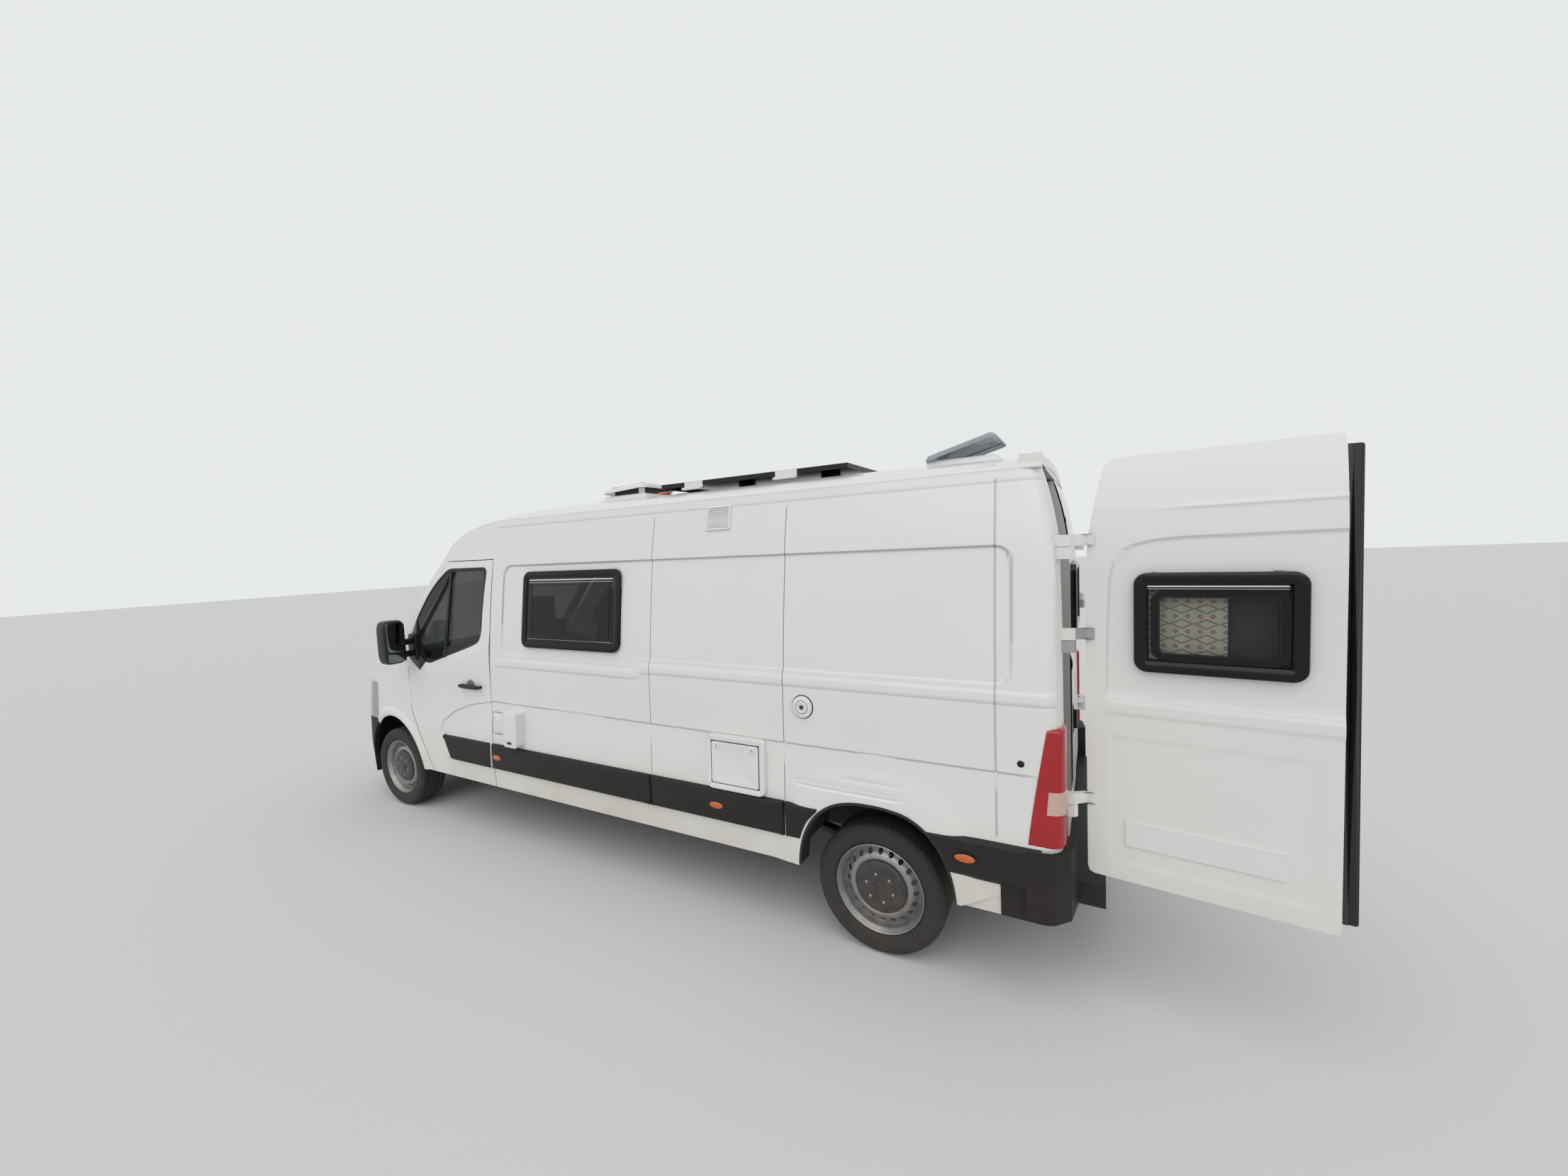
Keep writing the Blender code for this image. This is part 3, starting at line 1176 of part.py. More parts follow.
def make_floor():
    """Load floor with wheel boxes and two rails, notched round the rear wheels."""
    half = side_y(TAPER_START_X, FLOOR_TOP_Z - FLOOR_T) - WALL - SEAT
    box_half = side_y(TAPER_START_X, ARCH_CENTRE_Z + REAR_ARCH_HIGH + BOX_T) - WALL - SEAT
    back = REAR_X + REAR_DOOR_T + CLEAR
    floor = block("floor_pan", (back, -half, FLOOR_TOP_Z - FLOOR_T), (FLOOR_FRONT_X, half, FLOOR_TOP_Z))
    for side in (1, -1):
        join(floor, rail(side * (RAIL_Y - RAIL_WIDTH / 2), side * (RAIL_Y + RAIL_WIDTH / 2),
                         back + OVER, FLOOR_FRONT_X - OVER, FLOOR_TOP_Z - FLOOR_T - RAIL_DEPTH,
                         FLOOR_TOP_Z - SINK))
        pad_z = FLOOR_TOP_Z - FLOOR_T - RAIL_DEPTH
        join(floor, rail(side * (RAIL_Y - RAIL_WIDTH / 2), side * (RAIL_Y + RAIL_WIDTH / 2),
                         JACK_X, JACK_X + JACK_LONG, pad_z - JACK_DEEP, pad_z + SINK))
        inside = BOX_INNER_Y
        outer = prism("box", rear_arch_outline(BOX_T), "xz", *sorted((side * inside, side * box_half)))
        keep(outer, block("above", (-9.0, -9.0, FLOOR_TOP_Z - FLOOR_T), (0.0, 9.0, 9.0)))
        join(floor, outer)
        hollow = prism("hollow", rear_arch_outline(), "xz",
                       *sorted((side * (inside + BOX_T), side * (half + OVER))))
        cut(floor, hollow)
        near = side_y(FLOOR_FRONT_X, FLOOR_TOP_Z - FLOOR_T) - WALL - CLEAR
        cab = rail(side * near, side * (half + OVER), DOOR_REAR_X - CLEAR, OVER, 0.0, EDGE_Z)
        corner = rail(side * (REAR_EDGE_Y + CLEAR - SEAT), side * (half + OVER), REAR_X - 1.0,
                      REAR_X + PILLAR_DEPTH + SINK + SEAT, 0.0, EDGE_Z)
        cut(floor, cab, corner)
    for x in CROSS_PLACES:
        join(floor, rail(-RAIL_Y, RAIL_Y, x, x + RAIL_WIDTH, FLOOR_TOP_Z - FLOOR_T - 0.06,
                         FLOOR_TOP_Z - SINK))
    node(floor, "floor_pan", IRON)


def make_wheels():
    """Steel wheels and tyres, turned round their axles."""
    half = TYRE_WIDTH / 2
    rim_half = RIM_WIDTH / 2
    bead = RIM_RADIUS + 0.012
    tyre = [
        (bead + SEAT, -rim_half + 0.012),
        (RIM_RADIUS + 0.045, -half + 0.004),
        (TYRE_RADIUS - 0.050, -half),
        (TYRE_RADIUS - 0.010, -half + 0.018),
        (TYRE_RADIUS, -half + 0.040),
        (TYRE_RADIUS, half - 0.040),
        (TYRE_RADIUS - 0.010, half - 0.018),
        (TYRE_RADIUS - 0.050, half),
        (RIM_RADIUS + 0.045, half - 0.004),
        (bead + SEAT, rim_half - 0.012),
        (RIM_RADIUS - 0.004 + SEAT, rim_half - 0.022),
        (RIM_RADIUS - 0.004 + SEAT, -rim_half + 0.022),
    ]
    for body, parent, centre, turn in MOVING:
        if not body.startswith("wheel_"):
            continue
        side = 1.0 if centre[1] > 0 else -1.0
        rim = [
            (RIM_RADIUS - 0.004, -rim_half + 0.022),
            (bead, -rim_half + 0.012),
            (bead, -rim_half),
            (RIM_RADIUS - 0.018, -rim_half + 0.022),
            (RIM_RADIUS - 0.018, DISC_IN),
            (HUB_RADIUS, DISC_IN - 0.020),
            (0.0, DISC_IN - 0.020),
            (0.0, CAP_OUT),
            (CAP_R, CAP_OUT),
            (CAP_R, DISC_OUT),
            (HUB_RADIUS, DISC_OUT),
            (DISC_R, DISC_OUT + 0.020),
            (RIM_RADIUS - 0.022, DISC_IN + 0.014),
            (RIM_RADIUS - 0.018, rim_half - 0.022),
            (bead, rim_half),
            (bead, rim_half - 0.012),
            (RIM_RADIUS - 0.004, rim_half - 0.022),
        ]
        rim = [(radius, side * y) for radius, y in rim]
        tag = body[len("wheel_"):]
        wheel = turned("rim", rim, WHEEL_SIDES, centre)
        node(wheel, "rim_" + tag, STEEL, body)
        ring = turned("tyre", [(radius, side * y) for radius, y in tyre], WHEEL_SIDES, centre)
        node(ring, "tyre_" + tag, RUBBER, body)


def make_axles():
    """Front knuckles with their struts, the subframe, and the rear axle on its springs."""
    for side, tag in ((1, "left"), (-1, "right")):
        y = side * KINGPIN_Y
        post = rod("post", (0.0, y, ARM_TOP_Z + SEAT), (0.0, y, TOWER_Z - SEAT), STRUT_RADIUS)
        boss = rod("boss", (0.0, y, TYRE_RADIUS),
                   (0.0, side * (FRONT_TRACK / 2 + DISC_IN - 0.020) - side * SEAT, TYRE_RADIUS), BOSS_RADIUS)
        knuckle = join(post, boss)
        node(knuckle, "knuckle_" + tag, IRON, "knuckle_" + tag)
    low, high = ARM_TOP_Z - MEMBER_HALF, ARM_TOP_Z + MEMBER_HALF
    back_x = FLOOR_FRONT_X - POST_BACK
    frame = rail(-SUBFRAME_HALF, SUBFRAME_HALF, SUBFRAME_REAR_X, SUBFRAME_FRONT_X, low, high)
    for side in (1, -1):
        y = side * KINGPIN_Y
        near, far = side * SUBFRAME_IN, side * SUBFRAME_HALF
        tip = y + side * MEMBER_HALF
        arm = prism("arm", [(ARM_REAR_X, near), (ARM_FRONT_X, near), (MEMBER_HALF, tip),
                            (-MEMBER_HALF, tip)], "xy", ARM_TOP_Z - ARM_T, ARM_TOP_Z)
        strut = rail(near, far, -BOSS_RADIUS, ARM_FRONT_X, ARM_TOP_Z, TOWER_Z + MEMBER_HALF)
        tower = rail(near, y + side * BOSS_RADIUS, -AXLE_RADIUS, ARM_FRONT_X, TOWER_Z, TOWER_Z + MEMBER_HALF)
        back = rail(near, far, back_x, SUBFRAME_REAR_X + MEMBER_HALF, low, high)
        post = rail(near, side * (RAIL_Y + MEMBER_HALF), back_x, back_x + POST_DEEP,
                    low, FLOOR_TOP_Z - FLOOR_T - RAIL_DEPTH - SEAT)
        join(frame, arm, strut, tower, back, post)
    node(frame, "front_subframe", IRON)
    engine = block("engine", (ENGINE_REAR_X, -ENGINE_HALF, ENGINE_LOW_Z),
                   (ENGINE_REAR_X + ENGINE_LONG, ENGINE_HALF, ENGINE_TOP_Z))
    foot = block("foot", (ENGINE_REAR_X - ENGINE_FOOT, -SUBFRAME_IN / 2, high + SEAT),
                 (ENGINE_REAR_X + ENGINE_FOOT, SUBFRAME_IN / 2, TYRE_RADIUS))
    node(join(engine, foot), "engine_block", IRON)
    reach = REAR_TRACK / 2 + DISC_IN - 0.020 - SEAT
    axle = rod("axle", (-WHEELBASE, -reach, TYRE_RADIUS), (-WHEELBASE, reach, TYRE_RADIUS), AXLE_RADIUS)
    for side in (1, -1):
        spring = prism("spring", spring_outline(), "xz", 
                       *sorted((side * (RAIL_Y - MEMBER_HALF), side * (RAIL_Y + MEMBER_HALF))))
        join(axle, spring)
    node(axle, "rear_axle", IRON)


def spring_outline():
    """Leaf spring seen from the side: an arc from eye to eye, with its hangers."""
    top = FLOOR_TOP_Z - FLOOR_T - RAIL_DEPTH - SEAT
    rise = top - SPRING_EYE - SPRING_LOW_Z
    points = []
    for share in (-1.0, -0.6, -0.2, 0.2, 0.6, 1.0):
        points.append((-WHEELBASE + SPRING_HALF * share, SPRING_LOW_Z + rise * share ** 2))
    upper = []
    for share in (0.92, 0.6, 0.2, -0.2, -0.6, -0.92):
        upper.append((-WHEELBASE + SPRING_HALF * share, SPRING_LOW_Z + SPRING_T + rise * share ** 2))
    hang_front = [(-WHEELBASE + SPRING_HALF, top), (-WHEELBASE + SPRING_HALF * 0.93, top)]
    hang_back = [(-WHEELBASE - SPRING_HALF * 0.93, top), (-WHEELBASE - SPRING_HALF, top)]
    return points + hang_front + upper + hang_back


def make_underside():
    """Fuel tank and exhaust, hung from the floor."""
    top = FLOOR_TOP_Z - FLOOR_T - SEAT
    tank = prism("tank", rounded(TANK_REAR_X, TANK_FRONT_X, TANK_LOW_Z, top, FLOOR_T), "xz",
                 TANK_RIGHT_Y, TANK_LEFT_Y)
    node(tank, "fuel_tank", IRON)
    pipe = rod("pipe", (PIPE_FRONT_X, PIPE_Y, PIPE_Z), (PIPE_REAR_X, PIPE_Y, PIPE_Z), PIPE_RADIUS)
    box = rod("box", (SILENCER_FRONT_X, PIPE_Y, PIPE_Z), (SILENCER_REAR_X, PIPE_Y, PIPE_Z),
              SILENCER_RADIUS, 16)
    turn_x = PIPE_REAR_X + 2 * PIPE_RADIUS
    tail = rod("tail", (turn_x, PIPE_Y, PIPE_Z), (turn_x, TAIL_OUT_Y, PIPE_Z - PIPE_RADIUS),
               0.9 * PIPE_RADIUS)
    join(pipe, box, tail)
    for x in HANGER_PLACES:
        join(pipe, rail(PIPE_Y - HANGER / 2, PIPE_Y + HANGER / 2, x, x + HANGER, PIPE_Z, top))
    node(pipe, "exhaust", IRON)


def strip_plate(low_x, high_x, side, gap):
    """Rubbing strip between two places along the body: bevelled edges, a small gap behind it."""
    edge = RUB_LIFT * 0.8
    rows = [RUB_LOW_Z, RUB_LOW_Z + edge, RUB_TOP_Z - edge, RUB_TOP_Z]
    lift = [RUB_LIFT * 0.4, RUB_LIFT, RUB_LIFT * 0.9, RUB_LIFT * 0.3]
    grids = ([], [])
    for z, out in zip(rows, lift):
        columns = [low_x, 0.5 * (low_x + high_x), high_x]
        grids[0].append([(x, side * (side_y(x, z) + out), z) for x in columns])
        grids[1].append([(x, side * (side_y(x, z) + gap), z) for x in columns])
    return slab("strip", *grids)


def make_rubbing_strips():
    """Dark mouldings along both sides between the cab door and the rear arch, with markers."""
    for side, tag, front in ((1, "left", DOOR_REAR_X - CLEAR), (-1, "right", SLIDING_REAR_X - SEAT)):
        strip = strip_plate(-WHEELBASE, front, side, SEAT)
        cut(strip, side_prism(rear_arch_outline(), side))
        node(strip, "moulding_" + tag, BLACK)


def make_rear_end():
    """Rear bumper with its step, and the tail lamps in the rear corners."""
    face = REAR_X - BUMPER_REACH
    outline = [
        (REAR_BUMPER_FRONT_X, 0.0), (REAR_BUMPER_FRONT_X, RUB_TOP_Y + RUB_LIFT),
        (REAR_X + BUMPER_LAP, RUB_TOP_Y + RUB_LIFT), (REAR_X - BUMPER_LAP, RUB_TOP_Y - BUMPER_CORNER),
        (face, REAR_EDGE_Y + BUMPER_LAP), (face, 0.0)]
    low = RUB_LOW_Z - BUMPER_SKIRT
    top = REAR_LOW_Z - STEP_DROP
    half = prism("corner", outline, "xy", low + 2 * LIP, RUB_TOP_Z - BUMPER_LAP * 0.4)
    body = block("step", (REAR_STEP_X, 0.0, low), (REAR_X + BUMPER_LAP, REAR_EDGE_Y, top))
    clear = block("clear", (REAR_X - 1.0, -1.0, top + SEAT), (REAR_X + 1.0, REAR_EDGE_Y + CLEAR, 2.0))
    cut(half, clear)
    hollow = block("hollow", (REAR_X - SEAT, -1.0, 0.0), (0.0, REAR_EDGE_Y + CLEAR + 2 * LIP, 2.0))
    join(half, body, strip_plate(REAR_X + REAR_RADIUS, -WHEELBASE, 1, SEAT))
    cut(half, side_prism(rear_arch_outline(), 1))
    node_cutter = side_filled(SEAT)
    cut(half, hollow, node_cutter)
    other = mirrored(half, "other")
    keep_left = half
    bridge = block("bridge", (REAR_STEP_X, -BUMPER_SKIRT, low), (REAR_X - 4 * SEAT, BUMPER_SKIRT, top))
    join(keep_left, bridge, other)
    node(keep_left, "bumper_rear", BLACK)
    for side, tag in ((1, "left"), (-1, "right")):
        lamp = [(LAMP_FRONT_X, LAMP_LOW_Z), (LAMP_BACK_X, LAMP_LOW_Z), (LAMP_BACK_X, LAMP_TOP_Z),
                (LAMP_FRONT_X - LAMP_SLOPE, LAMP_TOP_Z)]
        near = side * (REAR_HINGE_Y + LAMP_INSET + SEAT)
        block_lamp = prism("lamp", lamp, "xz", *sorted((near, side * (CREASE_Y + LAMP_LIFT))))
        cut(block_lamp, side_filled(SEAT, side))
        node(block_lamp, "tail_lamp_" + tag, RED)


def side_filled(gap, side=1):
    """The rear corner filled solid and grown by a gap, to seat bumper and lamps on it."""
    outer = []
    inner = []
    for z in (SILL_Z - OVER, SILL_Z, RUB_LOW_Z, RUB_TOP_Z, CREASE_Z, BELT_Z):
        columns = [REAR_X + 0.6] + [REAR_X + REAR_RADIUS * share for share in (1.0, 0.5, 0.2, 0.05, 0.0)]
        outer.append([(x, side * (side_y(x, max(z, SILL_Z)) + gap), z) for x in columns])
        inner.append([(x, side * (REAR_EDGE_Y - 0.2), z) for x in columns])
    filled = slab("filled", outer, inner)
    filled.data.transform(Matrix.Translation((-gap, 0.0, 0.0)))
    return filled


def make_cab_inside():
    """Dashboard with the steering column, the steering wheel and the two front seats."""
    face = BULKHEAD_X - SEAT
    outline = [
        (face, DASH_LOW_Z),
        (face, SCREEN_BASE_Z - 2 * SCREEN_FRAME),
        (face - 0.4 * DASH_DEEP, SCREEN_BASE_Z - SCREEN_FRAME),
        (face - DASH_DEEP, SCREEN_BASE_Z - 3 * SCREEN_FRAME),
        (face - 0.9 * DASH_DEEP, DASH_LOW_Z + 0.4 * DASH_DEEP),
        (face - 0.5 * DASH_DEEP, DASH_LOW_Z),
    ]
    half = side_y(DOOR_LEAD_X, SCREEN_BASE_Z) - WALL - 2 * CLEAR
    dash = prism("dash", outline, "xz", -half, half)
    rake = math.radians(STEER_RAKE_DEG)
    along = Vector((-math.sin(rake), 0.0, math.cos(rake)))
    hub = Vector((WHEEL_HUB_X, STEER_SIDE_Y, WHEEL_HUB_Z))
    column = rod("column", hub - along * (HUB_DEEP + SEAT), hub - along * COLUMN_LONG, COLUMN_RADIUS, 10)
    join(dash, column)
    node(dash, "dashboard", TRIM)
    rim = []
    for k in range(8):
        angle = 2 * math.pi * k / 8
        rim.append((STEER_RADIUS + STEER_GRIP * math.cos(angle), STEER_GRIP * math.sin(angle)))
    wheel = turned("rim", rim, 24, (0.0, 0.0, 0.0))
    boss = rod("boss", (0.0, -HUB_DEEP, 0.0), (0.0, STEER_GRIP, 0.0), STEER_HUB, 12)
    for turn in (0.0, 120.0, 240.0):
        angle = math.radians(turn - 90.0)
        tip = (STEER_RADIUS * math.cos(angle), 0.0, STEER_RADIUS * math.sin(angle))
        join(boss, rod("spoke", (0.0, 0.0, 0.0), tip, 0.8 * STEER_GRIP, 6))
    join(wheel, boss)
    wheel.data.transform(Matrix.Translation(hub) @ Vector((0.0, 1.0, 0.0)).rotation_difference(along)
                         .to_matrix().to_4x4())
    node(wheel, "steering_wheel", TRIM, "steering_wheel")
    for side, tag in ((1, "left"), (-1, "right")):
        y0, y1 = sorted((side * (SEAT_Y - SEAT_HALF), side * (SEAT_Y + SEAT_HALF)))
        outline = [
            (SEAT_FRONT_X - 0.06, FLOOR_TOP_Z + SEAT),
            (SEAT_FRONT_X - 0.04, SEAT_PAN_Z - 0.14),
            (SEAT_FRONT_X, SEAT_PAN_Z - 0.08),
            (SEAT_FRONT_X - 0.03, SEAT_PAN_Z),
            (SEAT_BACK_X + 0.03, SEAT_PAN_Z - 0.03),
            (SEAT_BACK_X - 0.10, SEAT_BACK_Z),
            (SEAT_BACK_X - 0.20, SEAT_BACK_Z),
            (SEAT_BACK_X - 0.13, SEAT_PAN_Z - 0.12),
            (SEAT_BACK_X - 0.10, FLOOR_TOP_Z + SEAT),
        ]
        seat = prism("seat", outline, "xz", y0, y1)
        middle = side * SEAT_Y
        rest = prism("rest", rounded(SEAT_BACK_X - 0.21, SEAT_BACK_X - 0.12, SEAT_BACK_Z - 0.02,
                                     SEAT_BACK_Z + 0.21, 0.03), "xz", middle - 0.13, middle + 0.13)
        node(join(seat, rest), "seat_" + tag, CLOTH)


def make_equipment():
    """Solar panel, roof fan, roof hatch, service door, fuel flap, inlet box."""
    top = ROOF_TOP_Z + LIP + SEAT
    panel = block("panel", (SOLAR_REAR_X, SOLAR_Y - SOLAR_HALF, top + SOLAR_LIFT),
                  (SOLAR_FRONT_X, SOLAR_Y + SOLAR_HALF, top + SOLAR_LIFT + SOLAR_T))
    for x in (SOLAR_REAR_X, SOLAR_FRONT_X - SOLAR_FOOT):
        for y in (SOLAR_Y - SOLAR_HALF, SOLAR_Y + SOLAR_HALF - SOLAR_FOOT):
            foot_z = roof_z(y + (SOLAR_FOOT if y > 0 else 0.0)) + 2 * SEAT
            high = roof_z(y + SOLAR_FOOT / 2)
            join(panel, block("foot", (x, y, max(foot_z, high) + SEAT),
                              (x + SOLAR_FOOT, y + SOLAR_FOOT, top + SOLAR_LIFT + SOLAR_T / 2)))
    trim_roof(panel)
    node(panel, "solar_panel", PANEL)
    vent = block("vent", (FAN_REAR_X, FAN_Y - FAN_HALF, top - FAN_SKIRT),
                 (FAN_FRONT_X, FAN_Y + FAN_HALF, top + FAN_SKIRT))
    rise = top + FAN_TALL
    hood = prism("hood", [(FAN_FRONT_X - FAN_INSET, top + FAN_SLOPE), (FAN_FRONT_X - FAN_INSET * 3, rise),
                          (FAN_REAR_X + FAN_SLOPE, rise), (FAN_REAR_X + FAN_INSET, top + FAN_SLOPE)],
                 "xz", FAN_Y - FAN_HALF + FAN_INSET, FAN_Y + FAN_HALF - FAN_INSET)
    join(vent, hood)
    trim_roof(vent)
    node(vent, "roof_vent", WHITE)
    ring = prism("ring", rounded(HATCH_REAR_X, HATCH_FRONT_X, -HATCH_HALF, HATCH_HALF, HATCH_RIM), "xy",
                 top - FAN_SKIRT, top + HATCH_FRAME_Z - HATCH_GAP)
    hole = rounded(HATCH_REAR_X + HATCH_RIM, HATCH_FRONT_X - HATCH_RIM,
                   HATCH_RIM - HATCH_HALF, HATCH_HALF - HATCH_RIM, HATCH_RIM)
    cut(ring, prism("hole", hole, "xy", EDGE_Z, EDGE_Z + 1.0))
    trim_roof(ring)
    pivot = (HATCH_FRONT_X, 0.0, HATCH_HINGE_Z)
    for y in EAR_PLACES:
        ear = block("ear", (HATCH_FRONT_X - 0.6 * EAR_LONG, y, top),
                    (HATCH_FRONT_X + 0.4 * EAR_LONG, y + EAR_LONG, pivot[2] + EAR_LONG / 3))
        join(ring, ear)
    node(ring, "hatch_frame", WHITE)
    low = pivot[2] - HATCH_GAP / 2
    lid = prism("lid", rounded(HATCH_REAR_X - LIP, HATCH_FRONT_X - 0.7 * LUG_REACH, -HATCH_HALF - LIP,
                               HATCH_HALF + LIP, HATCH_RIM), "xy", low, low + HATCH_LID_T)
    for y in EAR_PLACES:
        lug = block("lug", (HATCH_FRONT_X - LUG_REACH, y + EAR_LONG + SEAT, pivot[2] - LUG_HALF),
                    (HATCH_FRONT_X + LUG_HALF, y + 2 * EAR_LONG, pivot[2] + LUG_HALF))
        join(lid, lug)
    node(lid, "hatch_lid", CLEAR_LENS, "hatch_lid")
    door = side_plate("service_door", rounded(SERVICE_REAR_X, SERVICE_FRONT_X, SERVICE_LOW_Z,
                                              SERVICE_TOP_Z, SMALL_CORNER), 1, SERVICE_LIFT, 0.02)
    x, y, z = SERVICE_PIVOT
    join(door, rod("pin", (SERVICE_REAR_X - CLEAR + SEAT, y, z), (SERVICE_FRONT_X + CLEAR - SEAT, y, z),
                   PIN_RADIUS, 8))
    node(door, "service_door", WHITE, "service_door")
    flap = side_plate("fuel_flap", rounded(FLAP_REAR_X, FLAP_FRONT_X, FLAP_LOW_Z, FLAP_TOP_Z,
                                           SMALL_CORNER), 1, 0.0, 0.012)
    ends = [(FLAP_PIVOT[0], side_y(FLAP_FRONT_X, z) - PIN_DEPTH, z)
            for z in (FLAP_LOW_Z - CLEAR + SEAT, FLAP_TOP_Z + CLEAR - SEAT)]
    join(flap, rod("pin", *ends, PIN_RADIUS, 8))
    node(flap, "fuel_flap", WHITE, "fuel_flap")
    inlet = side_plate("mains_inlet", rounded(INLET_REAR_X, INLET_FRONT_X, INLET_LOW_Z, INLET_TOP_Z,
                                             LIP_DROP), 1, INLET_DEEP, -SEAT)
    node(inlet, "mains_inlet", WHITE)


def roof_z(y, x=SLIDING_REAR_X):
    """Height of the roof skin at a side distance and a place along the van, behind the brow."""
    places = [station[0] for station in ROOF_STATIONS[::-1]]
    top = float(np.interp(x, places, [station[1] for station in ROOF_STATIONS[::-1]]))
    edge = float(np.interp(x, places, [station[2] for station in ROOF_STATIONS[::-1]]))
    shares = ROOF_SHARES[5::-1]
    heights = [edge + LIP + (top - edge) * (1.0 - s ** 3) for s in shares]
    return float(np.interp(abs(y) / EDGE_Y, shares, heights))


def trim_roof(piece):
    """Cut a piece so that it stands on the roof skin with the seat gap."""
    ys = [EDGE_Y * share for share in ROOF_SHARES]
    grid_top = []
    grid_low = []
    for station in ROOF_STATIONS[:4:-1]:
        x = station[0]
        grid_top.append([(x, y, roof_z(y, x) + SEAT) for y in ys])
        grid_low.append([(x, y, EDGE_Z - 0.5) for y in ys])
    cut(piece, slab("roof_form", grid_top, grid_low))


# Assembly


def assemble():
    """Hang every piece on the empty of its body, and stand the van on its origin."""
    root = bpy.data.objects.new("van", None)
    bpy.context.scene.collection.objects.link(root)
    pivots = {"van": Vector((0.0, 0.0, 0.0))}
    axes = {"van": root}
    for body, parent, pivot, turn in MOVING:
        empty = bpy.data.objects.new(body + "_axis", None)
        bpy.context.scene.collection.objects.link(empty)
        empty.parent = axes[parent]
        empty.location = Vector(pivot) - pivots[parent]
        axes[body] = empty
        pivots[body] = Vector(pivot)
        if body == "hatch_lid":
            empty.rotation_euler = (0.0, math.radians(turn), 0.0)
        else:
            empty.rotation_euler = (0.0, 0.0, math.radians(turn))
    for piece, body in NODES:
        piece.data.transform(Matrix.Translation(-pivots[body]))
        piece.parent = axes[body]
        piece.data.shade_smooth()
        piece.data.set_sharp_from_angle(angle=math.radians(35.0))
    bpy.context.view_layer.update()
    corners = [piece.matrix_world @ vertex.co for piece, body in NODES for vertex in piece.data.vertices]
    middle_x = 0.5 * (min(c.x for c in corners) + max(c.x for c in corners))
    root.location.x = -middle_x
    return root


make_sides()
make_roof()
make_cab_frame()
make_front()
make_cab_doors()
make_rear_doors()
make_floor()
make_wheels()
make_axles()
make_underside()
make_rubbing_strips()
make_rear_end()
make_cab_inside()
make_equipment()
assemble()
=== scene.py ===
# %% [markdown]
# # A long camper van, dressed for a picture
# The van's solids come from its own CAD file: every panel, door and wheel is there at its real place.
# This notebook puts the fine surfaces and the finishes on them. We load the solids first, because
# every later size is read from them or from the same body lines that the solids follow.

# %% Load the solids
import math

import bmesh
import bpy
import numpy as np
from mathutils import Matrix, Vector
from mathutils.bvhtree import BVHTree


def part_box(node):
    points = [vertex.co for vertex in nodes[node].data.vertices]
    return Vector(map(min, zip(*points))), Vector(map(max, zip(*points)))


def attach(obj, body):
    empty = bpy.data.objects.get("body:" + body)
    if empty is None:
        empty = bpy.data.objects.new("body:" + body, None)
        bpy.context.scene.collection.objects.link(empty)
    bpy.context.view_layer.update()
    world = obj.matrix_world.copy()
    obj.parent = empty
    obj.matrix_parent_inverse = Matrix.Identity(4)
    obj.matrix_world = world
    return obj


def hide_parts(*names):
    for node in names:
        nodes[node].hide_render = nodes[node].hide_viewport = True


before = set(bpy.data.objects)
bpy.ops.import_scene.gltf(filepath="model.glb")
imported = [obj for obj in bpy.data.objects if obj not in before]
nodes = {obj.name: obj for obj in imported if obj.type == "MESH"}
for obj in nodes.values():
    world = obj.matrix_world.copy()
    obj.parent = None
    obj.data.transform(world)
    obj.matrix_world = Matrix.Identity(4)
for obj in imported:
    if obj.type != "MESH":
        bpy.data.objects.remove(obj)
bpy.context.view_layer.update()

# %% [markdown]
# ## Where things are
# The van's own measuring frame has x = 0 at the front axle. The solids stand with their middle over
# the origin, so one shift along x links the two. We read it from the front wheel instead of typing it.

# %% Shift and body lines
wheel_low, wheel_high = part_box("tyre_front_left")
SHIFT = 0.5 * (wheel_low.x + wheel_high.x)
WHEELBASE = 4.332
TYRE_RADIUS = 0.335
LINE_Z = np.array([0.410, 0.555, 0.742, 1.066, 1.366, 2.046, 2.370])
LINE_Y = np.array([1.020, 1.025, 1.024, 1.008, 0.995, 0.910, 0.842])
REAR_X = -5.172
EDGE_Z = 2.370
print("shift along x", round(SHIFT, 4))


def spline(x, knots, values):
    """Smooth curve through the knots: on each span a cubic whose slopes are the mean of its neighbours'."""
    slopes = np.diff(values) / np.diff(knots)
    ends = np.concatenate([[slopes[0]], 0.5 * (slopes[1:] + slopes[:-1]), [slopes[-1]]])
    x = np.clip(x, knots[0], knots[-1])
    k = np.clip(np.searchsorted(knots, x) - 1, 0, len(knots) - 2)
    width = knots[k + 1] - knots[k]
    t = (x - knots[k]) / width
    a = (1 + 2 * t) * (1 - t) ** 2 * values[k] + t * (1 - t) ** 2 * width * ends[k]
    return a + t * t * (3 - 2 * t) * values[k + 1] + t * t * (t - 1) * width * ends[k + 1]


def ease(x):
    """Smooth step: 0 below 0, 1 above 1, and 3x^2 - 2x^3 between."""
    x = np.clip(x, 0.0, 1.0)
    return x * x * (3 - 2 * x)


def rear_x(z):
    """Rear face: upright, then leaning forwards with the square of the height above 1.9 m."""
    return REAR_X + 0.075 * np.clip((z - 1.9) / (EDGE_Z - 1.9), 0, None) ** 2


def side_y(x, z):
    """Half width: a smooth curve over height, less the nose's taper and the rear corner's round."""
    width = spline(z, LINE_Z, LINE_Y)
    share = np.clip((x + 1.4) / 2.1, 0, None)
    width = width - 0.2 * share ** 5
    turn = np.clip((rear_x(z) + 0.08 - x) / 0.08, 0, 1)
    return width - 0.08 * (1 - np.sqrt(1 - turn ** 2))


# %% [markdown]
# ## The picture: camera, floor and light
# The camera was found by fitting the van's known lengths to the photograph: a wide lens, a little
# above the waist line, behind the left rear corner. A plain pale floor and a soft, even sky keep
# every colour about as it is written.

